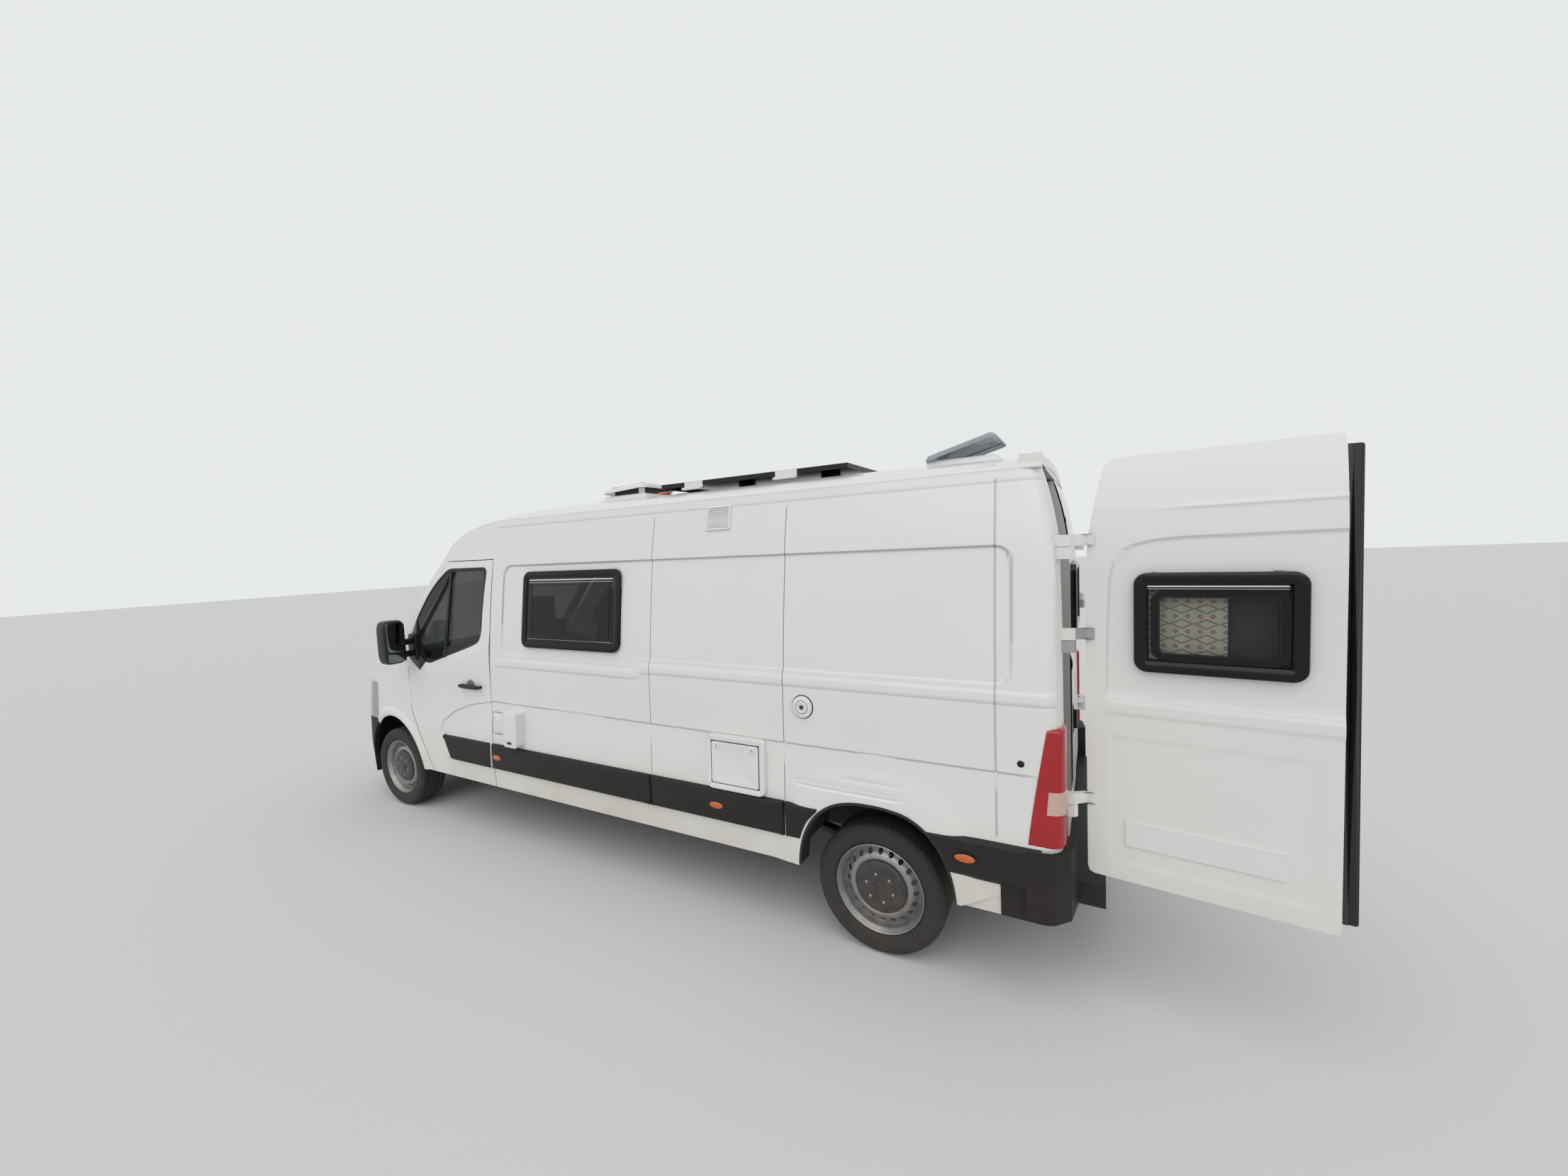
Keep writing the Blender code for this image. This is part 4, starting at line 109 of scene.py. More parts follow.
# %% Camera
PHOTO_WIDE = 2212
EYE = Vector((-5.3137, 3.5692, 2.0622))
YAW, PITCH, ROLL = -1.06501, -0.06723, -0.04607
FOCAL_PIXELS = 804.97
ahead = Vector((math.cos(YAW) * math.cos(PITCH), math.sin(YAW) * math.cos(PITCH), math.sin(PITCH)))
right = Vector((math.sin(YAW), -math.cos(YAW), 0.0))
up = right.cross(ahead)
right, up = right * math.cos(ROLL) + up * math.sin(ROLL), up * math.cos(ROLL) - right * math.sin(ROLL)
camera = bpy.data.objects.new("camera", bpy.data.cameras.new("camera"))
bpy.context.scene.collection.objects.link(camera)
turn = Matrix((right, up, -ahead)).transposed()
camera.matrix_world = Matrix.Translation(EYE + Vector((SHIFT, 0, 0))) @ turn.to_4x4()
camera.data.sensor_width = 36.0
camera.data.lens = 36.0 * FOCAL_PIXELS / PHOTO_WIDE
camera.data.clip_start = 0.05
bpy.context.scene.camera = camera
bpy.context.scene.view_settings.view_transform = "Standard"
print("lens", round(camera.data.lens, 2), "mm")

# %% Floor, sky and lamps
floor_mesh = bpy.data.meshes.new("floor")
floor_mesh.from_pydata([(-60, -60, 0), (60, -60, 0), (60, 60, 0), (-60, 60, 0)], [], [(0, 1, 2, 3)])
floor = bpy.data.objects.new("floor", floor_mesh)
bpy.context.scene.collection.objects.link(floor)
floor_look = bpy.data.materials.new("floor")
floor_look.use_nodes = True
floor_look.node_tree.nodes["Principled BSDF"].inputs["Base Color"].default_value = (0.70, 0.695, 0.68, 1)
floor_look.node_tree.nodes["Principled BSDF"].inputs["Roughness"].default_value = 0.9
floor_mesh.materials.append(floor_look)

world = bpy.data.worlds.new("sky")
bpy.context.scene.world = world
world.use_nodes = True
tree = world.node_tree
tree.nodes["Background"].inputs["Color"].default_value = (0.93, 0.96, 1.0, 1)
tree.nodes["Background"].inputs["Strength"].default_value = 0.56
seen = tree.nodes.new("ShaderNodeBackground")
seen.inputs["Color"].default_value = (0.80, 0.82, 0.82, 1)
rays = tree.nodes.new("ShaderNodeLightPath")
blend_sky = tree.nodes.new("ShaderNodeMixShader")
last = rays.outputs["Is Camera Ray"]
for kind in ("Is Glossy Ray", "Is Transmission Ray"):
    either = tree.nodes.new("ShaderNodeMath")
    either.operation = "ADD"
    either.use_clamp = True
    tree.links.new(last, either.inputs[0])
    tree.links.new(rays.outputs[kind], either.inputs[1])
    last = either.outputs[0]
tree.links.new(last, blend_sky.inputs["Fac"])
tree.links.new(tree.nodes["Background"].outputs[0], blend_sky.inputs[1])
tree.links.new(seen.outputs[0], blend_sky.inputs[2])
tree.links.new(blend_sky.outputs[0], tree.nodes["World Output"].inputs["Surface"])


def lamp(name, place, target, size, power, colour):
    """Large soft area lamp at a place, turned to a target, both in the van's own frame."""
    light = bpy.data.lights.new(name, "AREA")
    light.shape = "DISK"
    light.size, light.energy, light.color = size, power, colour
    piece = bpy.data.objects.new(name, light)
    place = Vector(place) + Vector((SHIFT, 0, 0))
    target = Vector(target) + Vector((SHIFT, 0, 0))
    piece.location = place
    piece.rotation_euler = (target - place).to_track_quat("-Z", "Y").to_euler()
    bpy.context.scene.collection.objects.link(piece)


def sun(name, direction, spread, strength, colour):
    """Very soft sun: the same light everywhere, from a direction, with a wide angle."""
    light = bpy.data.lights.new(name, "SUN")
    light.angle, light.energy, light.color = spread, strength, colour
    piece = bpy.data.objects.new(name, light)
    piece.rotation_euler = Vector(direction).to_track_quat("-Z", "Y").to_euler()
    bpy.context.scene.collection.objects.link(piece)


sun("high_sky", (0.10, -0.62, -0.85), math.radians(70), 1.20, (1.0, 0.99, 0.965))
lamp("rear_fill", (-12.0, 3.0, 4.0), (-5.0, 0.3, 1.4), 5.0, 25, (0.98, 1.0, 0.98))
print("lights", [light.name for light in bpy.data.lights])

# %% [markdown]
# ## Finishes
# Real paint is never one flat colour: it carries dust near the sills, a little orange peel and
# faint wash marks; on the white paint the tan near the sills is dust and also a painted reflection
# of the ground. Each finish below mixes a few noise patterns on Object coordinates, so it stays
# put on the van, and sends a small part of them to the bump.

# %% Finish builder


def graph(material):
    """Gives add(kind, inputs, settings) for a material: an input is a value or another node's socket."""
    tree = material.node_tree

    def add(kind, inputs, **settings):
        node = tree.nodes.new("ShaderNode" + kind)
        for key, value in settings.items():
            setattr(node, key, value)
        for key, value in inputs.items():
            if isinstance(value, bpy.types.NodeSocket):
                tree.links.new(value, node.inputs[key])
            else:
                node.inputs[key].default_value = value
        return node.outputs
    return add


def finish(name, colour, roughness, metallic=0.0, spread=0.06, grain=8.0, bump=0.0, bump_scale=200.0,
           dust=0.0, dust_colour=(0.42, 0.33, 0.25), dust_top=0.9, **sockets):
    """Material from noise: the colour varies by spread, dust fades in below its top height (on the white
    paint also a painted reflection of the ground), bump adds grain.
    """
    material = bpy.data.materials.new(name)
    material.use_nodes = True
    shader = material.node_tree.nodes["Principled BSDF"]
    add, link = graph(material), material.node_tree.links.new
    shader.inputs["Metallic"].default_value = metallic
    place = add("TexCoord", {})["Object"]
    cloud = add("TexNoise", {"Vector": place, "Scale": grain, "Detail": 6.0})["Fac"]
    light = [min(1.0, c * (1 + spread)) for c in colour]
    dark = [c * (1 - spread) for c in colour]
    last = add("Mix", {"Factor": cloud, "A": (*dark, 1), "B": (*light, 1)}, data_type="RGBA")["Result"]
    if dust:
        height = add("SeparateXYZ", {0: place})["Z"]
        fade = add("MapRange", {"Value": height, "From Min": dust_top, "From Max": 0.1, "To Max": dust},
                   interpolation_type="SMOOTHSTEP")[0]
        patch = add("TexNoise", {"Vector": place, "Scale": 0.6 * grain, "Detail": 8.0,
                                 "Roughness": 0.65})["Fac"]
        ramp = add("MapRange", {"Value": patch, "From Min": 0.3, "From Max": 0.7})[0]
        share = add("Math", {0: fade, 1: ramp}, operation="MULTIPLY")[0]
        last = add("Mix", {"Factor": share, "A": last, "B": (*dust_colour, 1)}, data_type="RGBA")["Result"]
    # An attribute darkens the colour towards near black: dirt and painted shade in the joint grooves, painted
    # shade along creases, under ledges, at recess edges and in the handle cup.
    grime = add("Attribute", {}, attribute_name="grime")["Fac"]
    soiled = add("Mix", {"Factor": grime, "A": last, "B": (0.05, 0.045, 0.04, 1)}, data_type="RGBA")["Result"]
    link(soiled, shader.inputs["Base Color"])
    rough = add("MapRange", {"Value": cloud, "To Min": max(0.0, roughness - 0.08),
                             "To Max": min(1.0, roughness + 0.08)})[0]
    link(rough, shader.inputs["Roughness"])
    if bump:
        fine = add("TexNoise", {"Vector": place, "Scale": bump_scale, "Detail": 3.0})["Fac"]
        relief = add("Bump", {"Height": fine, "Strength": bump, "Distance": 0.002})[0]
        link(relief, shader.inputs["Normal"])
    for key, value in sockets.items():
        shader.inputs[key.replace("_", " ")].default_value = value
    return material


# %% The van's finishes
# The white paint's tan fade towards the sills is dust and a painted reflection of the ground.
paint = finish("white_paint", (0.78, 0.78, 0.75), 0.34, spread=0.015, grain=2.5, bump=0.03, bump_scale=60,
               dust=0.85, dust_colour=(0.60, 0.47, 0.36), dust_top=0.86, Coat_Weight=0.35)
inner_paint = finish("inner_paint", (0.62, 0.62, 0.60), 0.5, spread=0.03)
moulding = finish("grained_plastic", (0.018, 0.015, 0.014), 0.55, spread=0.2, grain=14, bump=0.3,
                  bump_scale=700, dust=0.16, dust_colour=(0.12, 0.085, 0.065), dust_top=0.9,
                  Specular_IOR_Level=0.3)
satin_black = finish("satin_black", (0.010, 0.010, 0.011), 0.32, spread=0.12, grain=20, bump=0.08,
                     bump_scale=500, Specular_IOR_Level=0.35)
gloss_black = finish("gloss_black", (0.004, 0.0045, 0.005), 0.12, spread=0.1, grain=6,
                     Specular_IOR_Level=0.3)
rubber = finish("tyre_rubber", (0.030, 0.028, 0.027), 0.8, spread=0.25, grain=25, bump=0.4, bump_scale=260,
                dust=0.50, dust_colour=(0.065, 0.048, 0.037), dust_top=0.72)
seal = finish("door_seal", (0.018, 0.018, 0.018), 0.7, spread=0.15, grain=30, bump=0.2, bump_scale=300)
wheel_silver = finish("wheel_silver", (0.36, 0.36, 0.36), 0.38, metallic=0.65, spread=0.12, grain=22,
                      bump=0.12, bump_scale=350, dust=0.65, dust_colour=(0.17, 0.125, 0.095), dust_top=0.75)
cap_grey = finish("cap_grey", (0.030, 0.030, 0.032), 0.42, spread=0.15, grain=30, bump=0.15, bump_scale=400,
                  dust=0.55, dust_colour=(0.17, 0.13, 0.10), dust_top=0.75)
chassis = finish("chassis_black", (0.030, 0.029, 0.028), 0.75, spread=0.3, grain=9, bump=0.5, bump_scale=90,
                 dust=0.6, dust_colour=(0.12, 0.09, 0.07), dust_top=0.8)
trim = finish("cab_trim", (0.085, 0.085, 0.09), 0.65, spread=0.1, grain=30, bump=0.3, bump_scale=600)
cloth = finish("seat_cloth", (0.07, 0.075, 0.085), 0.95, spread=0.2, grain=90, bump=0.5, bump_scale=900,
               Sheen_Weight=0.3)
wood = finish("wood_lining", (0.50, 0.31, 0.20), 0.55, spread=0.2, grain=5, bump=0.1, bump_scale=120)
white_plastic = finish("white_plastic", (0.78, 0.78, 0.76), 0.38, spread=0.02, grain=12, bump=0.04,
                       bump_scale=300)
zinc = finish("zinc_steel", (0.44, 0.43, 0.42), 0.38, metallic=0.7, spread=0.1, grain=40, bump=0.1,
              bump_scale=500)


def glazing(name, colour, clear, roughness=0.03):
    """Glass: a glossy dark surface with a faint film that lets part of the light straight through."""
    material = bpy.data.materials.new(name)
    material.use_nodes = True
    shader = material.node_tree.nodes["Principled BSDF"]
    add, link = graph(material), material.node_tree.links.new
    place = add("TexCoord", {})["Object"]
    film = add("TexNoise", {"Vector": place, "Scale": 5.0, "Detail": 6.0})["Fac"]
    haze = add("MapRange", {"Value": film, "To Min": 0.7 * roughness, "To Max": 1.6 * roughness})[0]
    link(haze, shader.inputs["Roughness"])
    dark, light = [0.85 * c for c in colour], [min(1.0, 1.15 * c) for c in colour]
    tint = add("Mix", {"Factor": film, "A": (*dark, 1), "B": (*light, 1)}, data_type="RGBA")["Result"]
    link(tint, shader.inputs["Base Color"])
    shader.inputs["Alpha"].default_value = 1.0 - clear
    shader.inputs["Specular IOR Level"].default_value = 0.45
    return material


cab_tint = glazing("cab_tint", (0.010, 0.020, 0.014), 0.50)
acrylic = glazing("smoked_acrylic", (0.008, 0.009, 0.010), 0.42)
clear_acrylic = glazing("clear_acrylic", (0.02, 0.02, 0.02), 0.80)
hatch_clear = glazing("hatch_acrylic", (0.42, 0.47, 0.50), 0.35, 0.15)
lens_red = finish("red_lens", (0.40, 0.006, 0.012), 0.22, spread=0.12, grain=15, Coat_Weight=0.25)
lens_pale = finish("pale_lens", (0.60, 0.42, 0.36), 0.2, spread=0.08, grain=30, Coat_Weight=0.5)
lens_orange = finish("orange_lens", (0.62, 0.12, 0.015), 0.2, spread=0.1, grain=40, Coat_Weight=0.6)
lens_clear = glazing("clear_lens", (0.75, 0.78, 0.80), 0.62)
mirror_look = finish("mirror_glass", (0.16, 0.19, 0.17), 0.05, metallic=1.0, spread=0.05, grain=20)
lamp_glass = finish("lamp_glass", (0.34, 0.36, 0.37), 0.12, metallic=0.5, spread=0.15, grain=25,
                    Coat_Weight=0.8)
cell_blue = finish("solar_cell", (0.010, 0.014, 0.030), 0.25, spread=0.25, grain=30)
rib_grey = finish("rib_grey", (0.30, 0.34, 0.38), 0.3, spread=0.1, grain=20, Coat_Weight=0.3)
reflector = finish("lamp_reflector", (0.72, 0.73, 0.74), 0.12, metallic=1.0, spread=0.03)

# The CAD service door gets the dark seal finish: it shows only in the gap round the lid, where the dark is
# painted shade.
for name, node in nodes.items():
    group = {"tyre": rubber, "rim": wheel_silver, "cab_glass": cab_tint, "windscreen": cab_tint,
             "side_window": acrylic, "rear_window": acrylic, "moulding": moulding, "bumper": moulding,
             "grille": moulding, "tail_lamp": lens_red, "headlamp": lamp_glass, "floor_pan": chassis,
             "front_subframe": chassis, "engine": chassis, "rear_axle": chassis, "fuel_tank": chassis,
             "exhaust": chassis, "knuckle": chassis, "dashboard": trim, "steering": trim, "seat": cloth,
             "cab_frame": inner_paint, "mirror": satin_black, "hatch_lid": hatch_clear,
             "solar": gloss_black, "roof_vent": white_plastic, "hatch_frame": white_plastic,
             "service_door": seal, "mains_inlet": white_plastic}
    chosen = next((look for start, look in group.items() if name.startswith(start)), paint)
    node.data.materials.clear()
    node.data.materials.append(chosen)
print("finishes", len(bpy.data.materials))

# %% [markdown]
# ## The pressed body sides
# On the real van each side is a few large steel pressings: a shallow recess over the belt line,
# a ledge along the belt, a soft crease lower down, and upright joints between the pressings.
# A press shapes a sheet by height over a plane, so each side here is one function of x and z, put on
# a grid that is fine where a feature is and coarse elsewhere. The sheet is a thin closed shell that
# lies 3 mm outside the solid panel.

# %% Grid and shell helpers


def ticks(low, high, step, fine):
    """Grid lines from low to high: an even step, and around each (place, reach, small step) a fine comb."""
    lines = list(np.linspace(low, high, max(2, int(round((high - low) / step)) + 1)))
    for place, reach, small in fine:
        comb = np.arange(-reach, reach + 0.5 * small, small) + place
        lines = [v for v in lines if abs(v - place) > reach + 0.4 * small] + list(comb)
    lines = np.unique(np.round([v for v in lines if low <= v <= high] + [low, high], 6))
    kept = [lines[0]]
    for v in lines[1:]:
        if v - kept[-1] > 0.0009:
            kept.append(v)
    kept[-1] = high
    return np.array(kept)


def inside(points, outline):
    """Signed distance from points to a closed outline, positive inside (nearest edge, crossing count)."""
    a = np.asarray(outline, float)
    b = np.roll(a, -1, axis=0)
    p = points[..., None, :]
    along = b - a
    t = np.clip(((p - a) * along).sum(-1) / (along ** 2).sum(-1), 0, 1)
    gap = np.sqrt((((a + t[..., None] * along) - p) ** 2).sum(-1)).min(-1)
    cross = (a[:, 1] > p[..., 1]) != (b[:, 1] > p[..., 1])
    with np.errstate(divide="ignore", invalid="ignore"):
        reach = a[:, 0] + (p[..., 1] - a[:, 1]) * along[:, 0] / along[:, 1]
    odd = (cross & (p[..., 0] < reach)).sum(-1) % 2 == 1
    return np.where(odd, gap, -gap)


def add_mesh(name, points, quads, look, grime=None, angle=38.0):
    """Mesh object from arrays; unused points are left out, edges over the angle stay sharp."""
    quads = np.asarray(quads)
    used, index = np.unique(quads, return_inverse=True)
    mesh = bpy.data.meshes.new(name)
    mesh.from_pydata(np.asarray(points)[used].tolist(), [], index.reshape(quads.shape).tolist())
    if grime is not None:
        mesh.attributes.new("grime", "FLOAT", "POINT").data.foreach_set("value", np.asarray(grime)[used])
    mesh.materials.append(look)
    mesh.validate()
    mesh.shade_smooth()
    mesh.set_sharp_from_angle(angle=math.radians(angle))
    piece = bpy.data.objects.new(name, mesh)
    bpy.context.scene.collection.objects.link(piece)
    return piece


def shell(name, us, vs, surface, outline, look, thick=0.0022, holes=(), flip=False):
    """Closed thin sheet over an outline of a (u, v) grid.

    Cells with a corner inside the outline stay; their outer corners slide to the outline along
    the distance field. The inner face is the outer one moved back by the thickness.
    """
    u, v = np.meshgrid(us, vs, indexing="ij")
    flat = np.stack([u, v], -1)

    def field(places):
        value = inside(places, outline)
        for hole in holes:
            value = np.minimum(value, -inside(places, hole))
        return value

    value = field(flat)
    ok = value > 1e-5
    cell = ok[:-1, :-1] | ok[1:, :-1] | ok[:-1, 1:] | ok[1:, 1:]
    used = np.zeros(value.shape, bool)
    for di in (0, 1):
        for dj in (0, 1):
            used[di:di + cell.shape[0], dj:dj + cell.shape[1]] |= cell
    slide = used & ~ok
    for _ in range(3):
        places = flat[slide]
        here = field(places)
        gx = (field(places + [1e-4, 0]) - field(places - [1e-4, 0])) / 2e-4
        gz = (field(places + [0, 1e-4]) - field(places - [0, 1e-4])) / 2e-4
        size = np.maximum(gx ** 2 + gz ** 2, 0.2)
        flat[slide] = places - (here / size)[:, None] * np.stack([gx, gz], -1)
    outer, back, grime = surface(flat[..., 0], flat[..., 1])
    inner = outer + back * thick
    count = u.size
    index = np.arange(count).reshape(u.shape)
    i, j = np.nonzero(cell)
    quads = np.stack([index[i, j], index[i + 1, j], index[i + 1, j + 1], index[i, j + 1]], -1)
    if flip:
        quads = quads[:, ::-1]
    edges = np.concatenate([quads[:, [k, (k + 1) % 4]] for k in range(4)])
    key = edges.min(1) * count + edges.max(1)
    _, first, uses = np.unique(key, return_index=True, return_counts=True)
    rim = edges[first[uses == 1]]
    walls = np.stack([rim[:, 1], rim[:, 0], rim[:, 0] + count, rim[:, 1] + count], -1)
    faces = np.concatenate([quads, quads[:, ::-1] + count, walls])
    points = np.concatenate([outer.reshape(-1, 3), inner.reshape(-1, 3)])
    return add_mesh(name, points, faces, look, np.concatenate([grime.ravel(), 0 * grime.ravel()]))


def round_box(x0, x1, z0, z1, radius, steps=8):
    """Outline of a rectangle with round corners, counter-clockwise from the first corner."""
    angle = np.linspace(0, 0.5 * math.pi, steps + 1)
    corners = ((x1 - radius, z1 - radius, 0), (x0 + radius, z1 - radius, 1),
               (x0 + radius, z0 + radius, 2), (x1 - radius, z0 + radius, 3))
    parts = [np.stack([cx + radius * np.cos(angle + 0.5 * math.pi * q),
                       cz + radius * np.sin(angle + 0.5 * math.pi * q)], -1) for cx, cz, q in corners]
    return np.concatenate(parts)


def circle(x, z, radius, count=40, high=None, power=1.0):
    """Round outline; an oval with a second radius, and squarer with a power below 1."""
    a = np.linspace(0, 2 * math.pi, count, endpoint=False)
    along, rise = [np.sign(v) * np.abs(v) ** power for v in (np.cos(a), np.sin(a))]
    return np.stack([x + radius * along, z + (high or radius) * rise], -1)


print("one corner of a round box has", len(round_box(0, 1, 0, 1, 0.1)) // 4, "points")

# %% [markdown]
# ### What is pressed into a side
# The features are written as small depths that add up: the recess falls 10 mm behind a smooth
# border, the belt ledge stands 5 mm, the crease changes the slope. A joint between two pressings
# is a narrow groove. A darkening value is written as well: dirt and painted shade in the joint
# and gutter grooves, painted shade at the recess edge, under the ledge and along the creases.

# %% Side surface
JOINTS = (-1.4000, -2.9330, -3.8540, -4.9100)
RECESS = round_box(-4.985, -1.530, 1.385, 2.040, 0.075)
SKIN_LIFT = 0.0035
ARCH_LONG, ARCH_HIGH, ARCH_MEAN, ARCH_Z, ARCH_POWER, ARCH_STEPS = 0.405, 0.480, 0.440, 0.330, 2.5, 49


def groove(distance, half):
    """Round-bottomed groove: 1 in the middle, 0 at the half width and beyond."""
    return np.clip(1 - (distance / half) ** 2, 0, 1)


def facing(x, y, z, side, grime=0.0):
    """Answer of a side's surface function for shell(): points, the way inwards, and a darkening value for
    dirt and painted shade.
    """
    points = np.stack([x + SHIFT, side * y, z], -1)
    back = np.zeros_like(points)
    back[..., 1] = -side
    return points, back, np.clip(grime + np.zeros_like(x), 0, 1)


def side_surface(side, joints, recess=RECESS, dents=(), knocked=0.0):
    """The pressed side as a function for shell(): points, the way inwards, and a darkening value for dirt and
    painted shade.
    """
    def surface(x, z):
        y = side_y(x, z) + SKIN_LIFT
        depth = np.zeros_like(x)
        grime = np.zeros_like(x)
        rise = 0.040 * ease((-x - 2.80) / 0.10)
        low = z - rise * (1 - ease((z - 1.50) / 0.20))
        if recess is not None:
            edge = inside(np.stack([x, low], -1), recess)
            depth += 0.010 * ease(edge / 0.014)
            # Painted shade along the recess edge, heavier along its top edge.
            grime += 0.62 * np.clip(1 - np.abs(edge - 0.004) / 0.007, 0, 1) * (z > 1.6)
            grime += 0.20 * np.clip(1 - np.abs(edge - 0.004) / 0.007, 0, 1) * (z <= 1.6)
        ledge = ease((low - 1.312) / 0.012) * (1 - ease((low - 1.352) / 0.022))
        reach = ease((-x - 1.44) / 0.09) if recess is not None else 1.0
        y = y + 0.0050 * ledge * reach
        # Painted shade under the belt ledge.
        grime += 0.30 * np.clip(1 - np.abs(low - 1.310) / 0.004, 0, 1) * reach
        crease = ease((1.056 - z) / 0.009) * (1 - ease((1.047 - z) / 0.26))
        y = y - 0.0032 * crease
        # Painted shade just below the waist crease's step.
        grime += 0.42 * np.clip(1 - np.abs(z - 1.049) / 0.0085, 0, 1) * ease((x + 5.06) / 0.03)
        span = np.abs(x + WHEELBASE) / ARCH_LONG
        climb = np.clip(z - ARCH_Z, 0, None) / ARCH_HIGH
        off = ARCH_MEAN * ((span ** ARCH_POWER + climb ** ARCH_POWER) ** (1 / ARCH_POWER) - 1)
        y = y + 0.012 * (1 - ease((off - 0.050) / 0.130))
        reach = knocked * ease((x + 4.50) / 0.06) * ease((-3.88 - x) / 0.06)
        y = y + 0.0065 * reach * (1 - ease((z - 0.838) / 0.013)) - 0.004 * reach * groove(z - 0.862, 0.020)
        # Painted shade along the dent's crease over the arch.
        grime += 0.50 * reach * np.clip(1 - np.abs(z - 0.850) / 0.0045, 0, 1)
        crest = knocked * ease((x + 4.49) / 0.03) * ease((-4.17 - x) / 0.03)
        # Painted shade in the small scratch groove above the dent.
        grime += 0.32 * crest * np.clip(1 - np.abs(z - 0.914) / 0.0035, 0, 1)
        y = y - 0.0025 * crest * groove(z - 0.914, 0.014)
        # Dirt and painted shade in the gutter groove.
        gutter = np.clip(1 - np.abs(z - 2.322) / 0.0045, 0, 1)
        depth += 0.0016 * gutter
        grime += 0.40 * gutter
        # Dirt and painted shade in each joint groove.
        for place, low, high in joints:
            cut = groove(x - place, 0.0030) * (z > low) * (z < high)
            depth += 0.0026 * cut
            grime += 0.85 * cut
        for cx, cz, wide, deep in dents:
            depth += deep * np.exp(-(((x - cx) ** 2 + (z - cz) ** 2) / wide ** 2))
        return facing(x, y - depth, z, side, grime)
    return surface


def arch():
    """Rear arch opening: |x / long|^2.5 + |z / high|^2.5 = 1 over the axle, open at the bottom."""
    angle = np.linspace(0, math.pi, ARCH_STEPS)
    x = np.sign(np.cos(angle)) * np.abs(np.cos(angle)) ** (2 / ARCH_POWER) * ARCH_LONG - WHEELBASE
    z = ARCH_Z + np.abs(np.sin(angle)) ** (2 / ARCH_POWER) * ARCH_HIGH
    feet = [[-WHEELBASE - ARCH_LONG, 0.2], [-WHEELBASE + ARCH_LONG, 0.2]]
    return np.concatenate([np.stack([x, z], -1), feet])


print("rear arch from", arch()[:, 0].min().round(3), "to", arch()[:, 0].max().round(3))

# %% Left side, from the cab door to the rear corner
# Columns: place, reach, small step
FINE_X = [(j, 0.0045, 0.0015) for j in JOINTS] + [(-1.570, 0.060, 0.008), (-4.940, 0.060, 0.008)]
FINE_Z = [(2.030, 0.024, 0.004), (1.360, 0.090, 0.005), (1.051, 0.016, 0.0025), (2.322, 0.010, 0.0025)]
WINDOW = round_box(-2.690, -1.765, 1.465, 1.990, 0.055)
SERVICE = round_box(-3.745, -3.365, 0.746, 1.050, 0.020)
FLAP_HOLE = round_box(-1.536, -1.390, 0.812, 0.978, 0.012)
FILLER_X, FILLER_Z = -3.970, 1.250
CAP_HOLE = circle(FILLER_X, FILLER_Z, 0.054, 32)
side_edge = [(-1.4035, 2.360), (-5.095, 2.360), (-5.140, 2.046), (-5.1535, 1.9), (-5.1535, 0.743),
             (-5.030, 0.743), (-5.030, 0.556), (-4.755, 0.412), (-3.92, 0.412), (-1.4035, 0.412)]
side_joints = [(JOINTS[1], 0.745, 2.285), (JOINTS[2], 0.745, 2.300), (JOINTS[3], 0.76, 2.335)]
dents = [(-4.22, 0.93, 0.05, 0.0030), (-4.36, 0.98, 0.08, 0.0022), (-3.15, 1.72, 0.30, 0.0012),
         (-4.42, 1.60, 0.26, 0.0014), (-2.30, 1.15, 0.22, 0.0012)]
xs = ticks(-5.1535, -1.4035, 0.042, FINE_X + [(-5.12, 0.034, 0.006), (-4.75, 0.03, 0.012),
                                             (-3.93, 0.03, 0.012), (-3.97, 0.06, 0.012)])
zs = ticks(0.412, 2.360, 0.038, FINE_Z + [(0.850, 0.026, 0.004), (0.914, 0.016, 0.0035), (2.33, 0.03, 0.010),
                                          (0.98, 0.02, 0.010), (0.80, 0.03, 0.010)])
left_side = shell("side_left_skin", xs, zs, side_surface(1, side_joints, dents=dents, knocked=1.0),
                  side_edge, paint, holes=(WINDOW, SERVICE, FLAP_HOLE, CAP_HOLE, arch()), flip=True)
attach(left_side, "van")
print("left skin", len(left_side.data.vertices), "points")

# %% Right side and the sliding door
DOOR = round_box(-2.790, -1.440, 0.450, 2.300, 0.080)
right_joints = [(JOINTS[2], 0.745, 2.300), (JOINTS[3], 0.76, 2.335)]
xr = ticks(-5.1535, -1.4035, 0.042, FINE_X + [(-5.12, 0.034, 0.006), (-2.72, 0.08, 0.010),
                                             (-1.51, 0.08, 0.010), (-4.75, 0.03, 0.012)])
zr = ticks(0.412, 2.360, 0.038, FINE_Z + [(2.25, 0.06, 0.010), (0.50, 0.06, 0.010), (2.33, 0.02, 0.010)])
grown_door = round_box(-2.794, -1.436, 0.446, 2.304, 0.083)
right_side = shell("side_right_skin", xr, zr, side_surface(-1, right_joints), side_edge, paint,
                   holes=(grown_door, arch()))
sliding = shell("sliding_door_skin", xr, zr, side_surface(-1, ()), DOOR, paint, holes=(WINDOW,))
for piece in (right_side, sliding):
    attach(piece, "van")
print("right skin", len(right_side.data.vertices), "sliding door", len(sliding.data.vertices))

# %% [markdown]
# ## Wheels
# A steel wheel is rolled and pressed: a lipped rim, and a disc with a ring of round holes. Both are
# turned shapes, so a profile of radius and distance from the middle plane is swept round the axle.
# The holes are kept as real holes: the ring is built sector by sector round each hole.

# %% Turning helpers


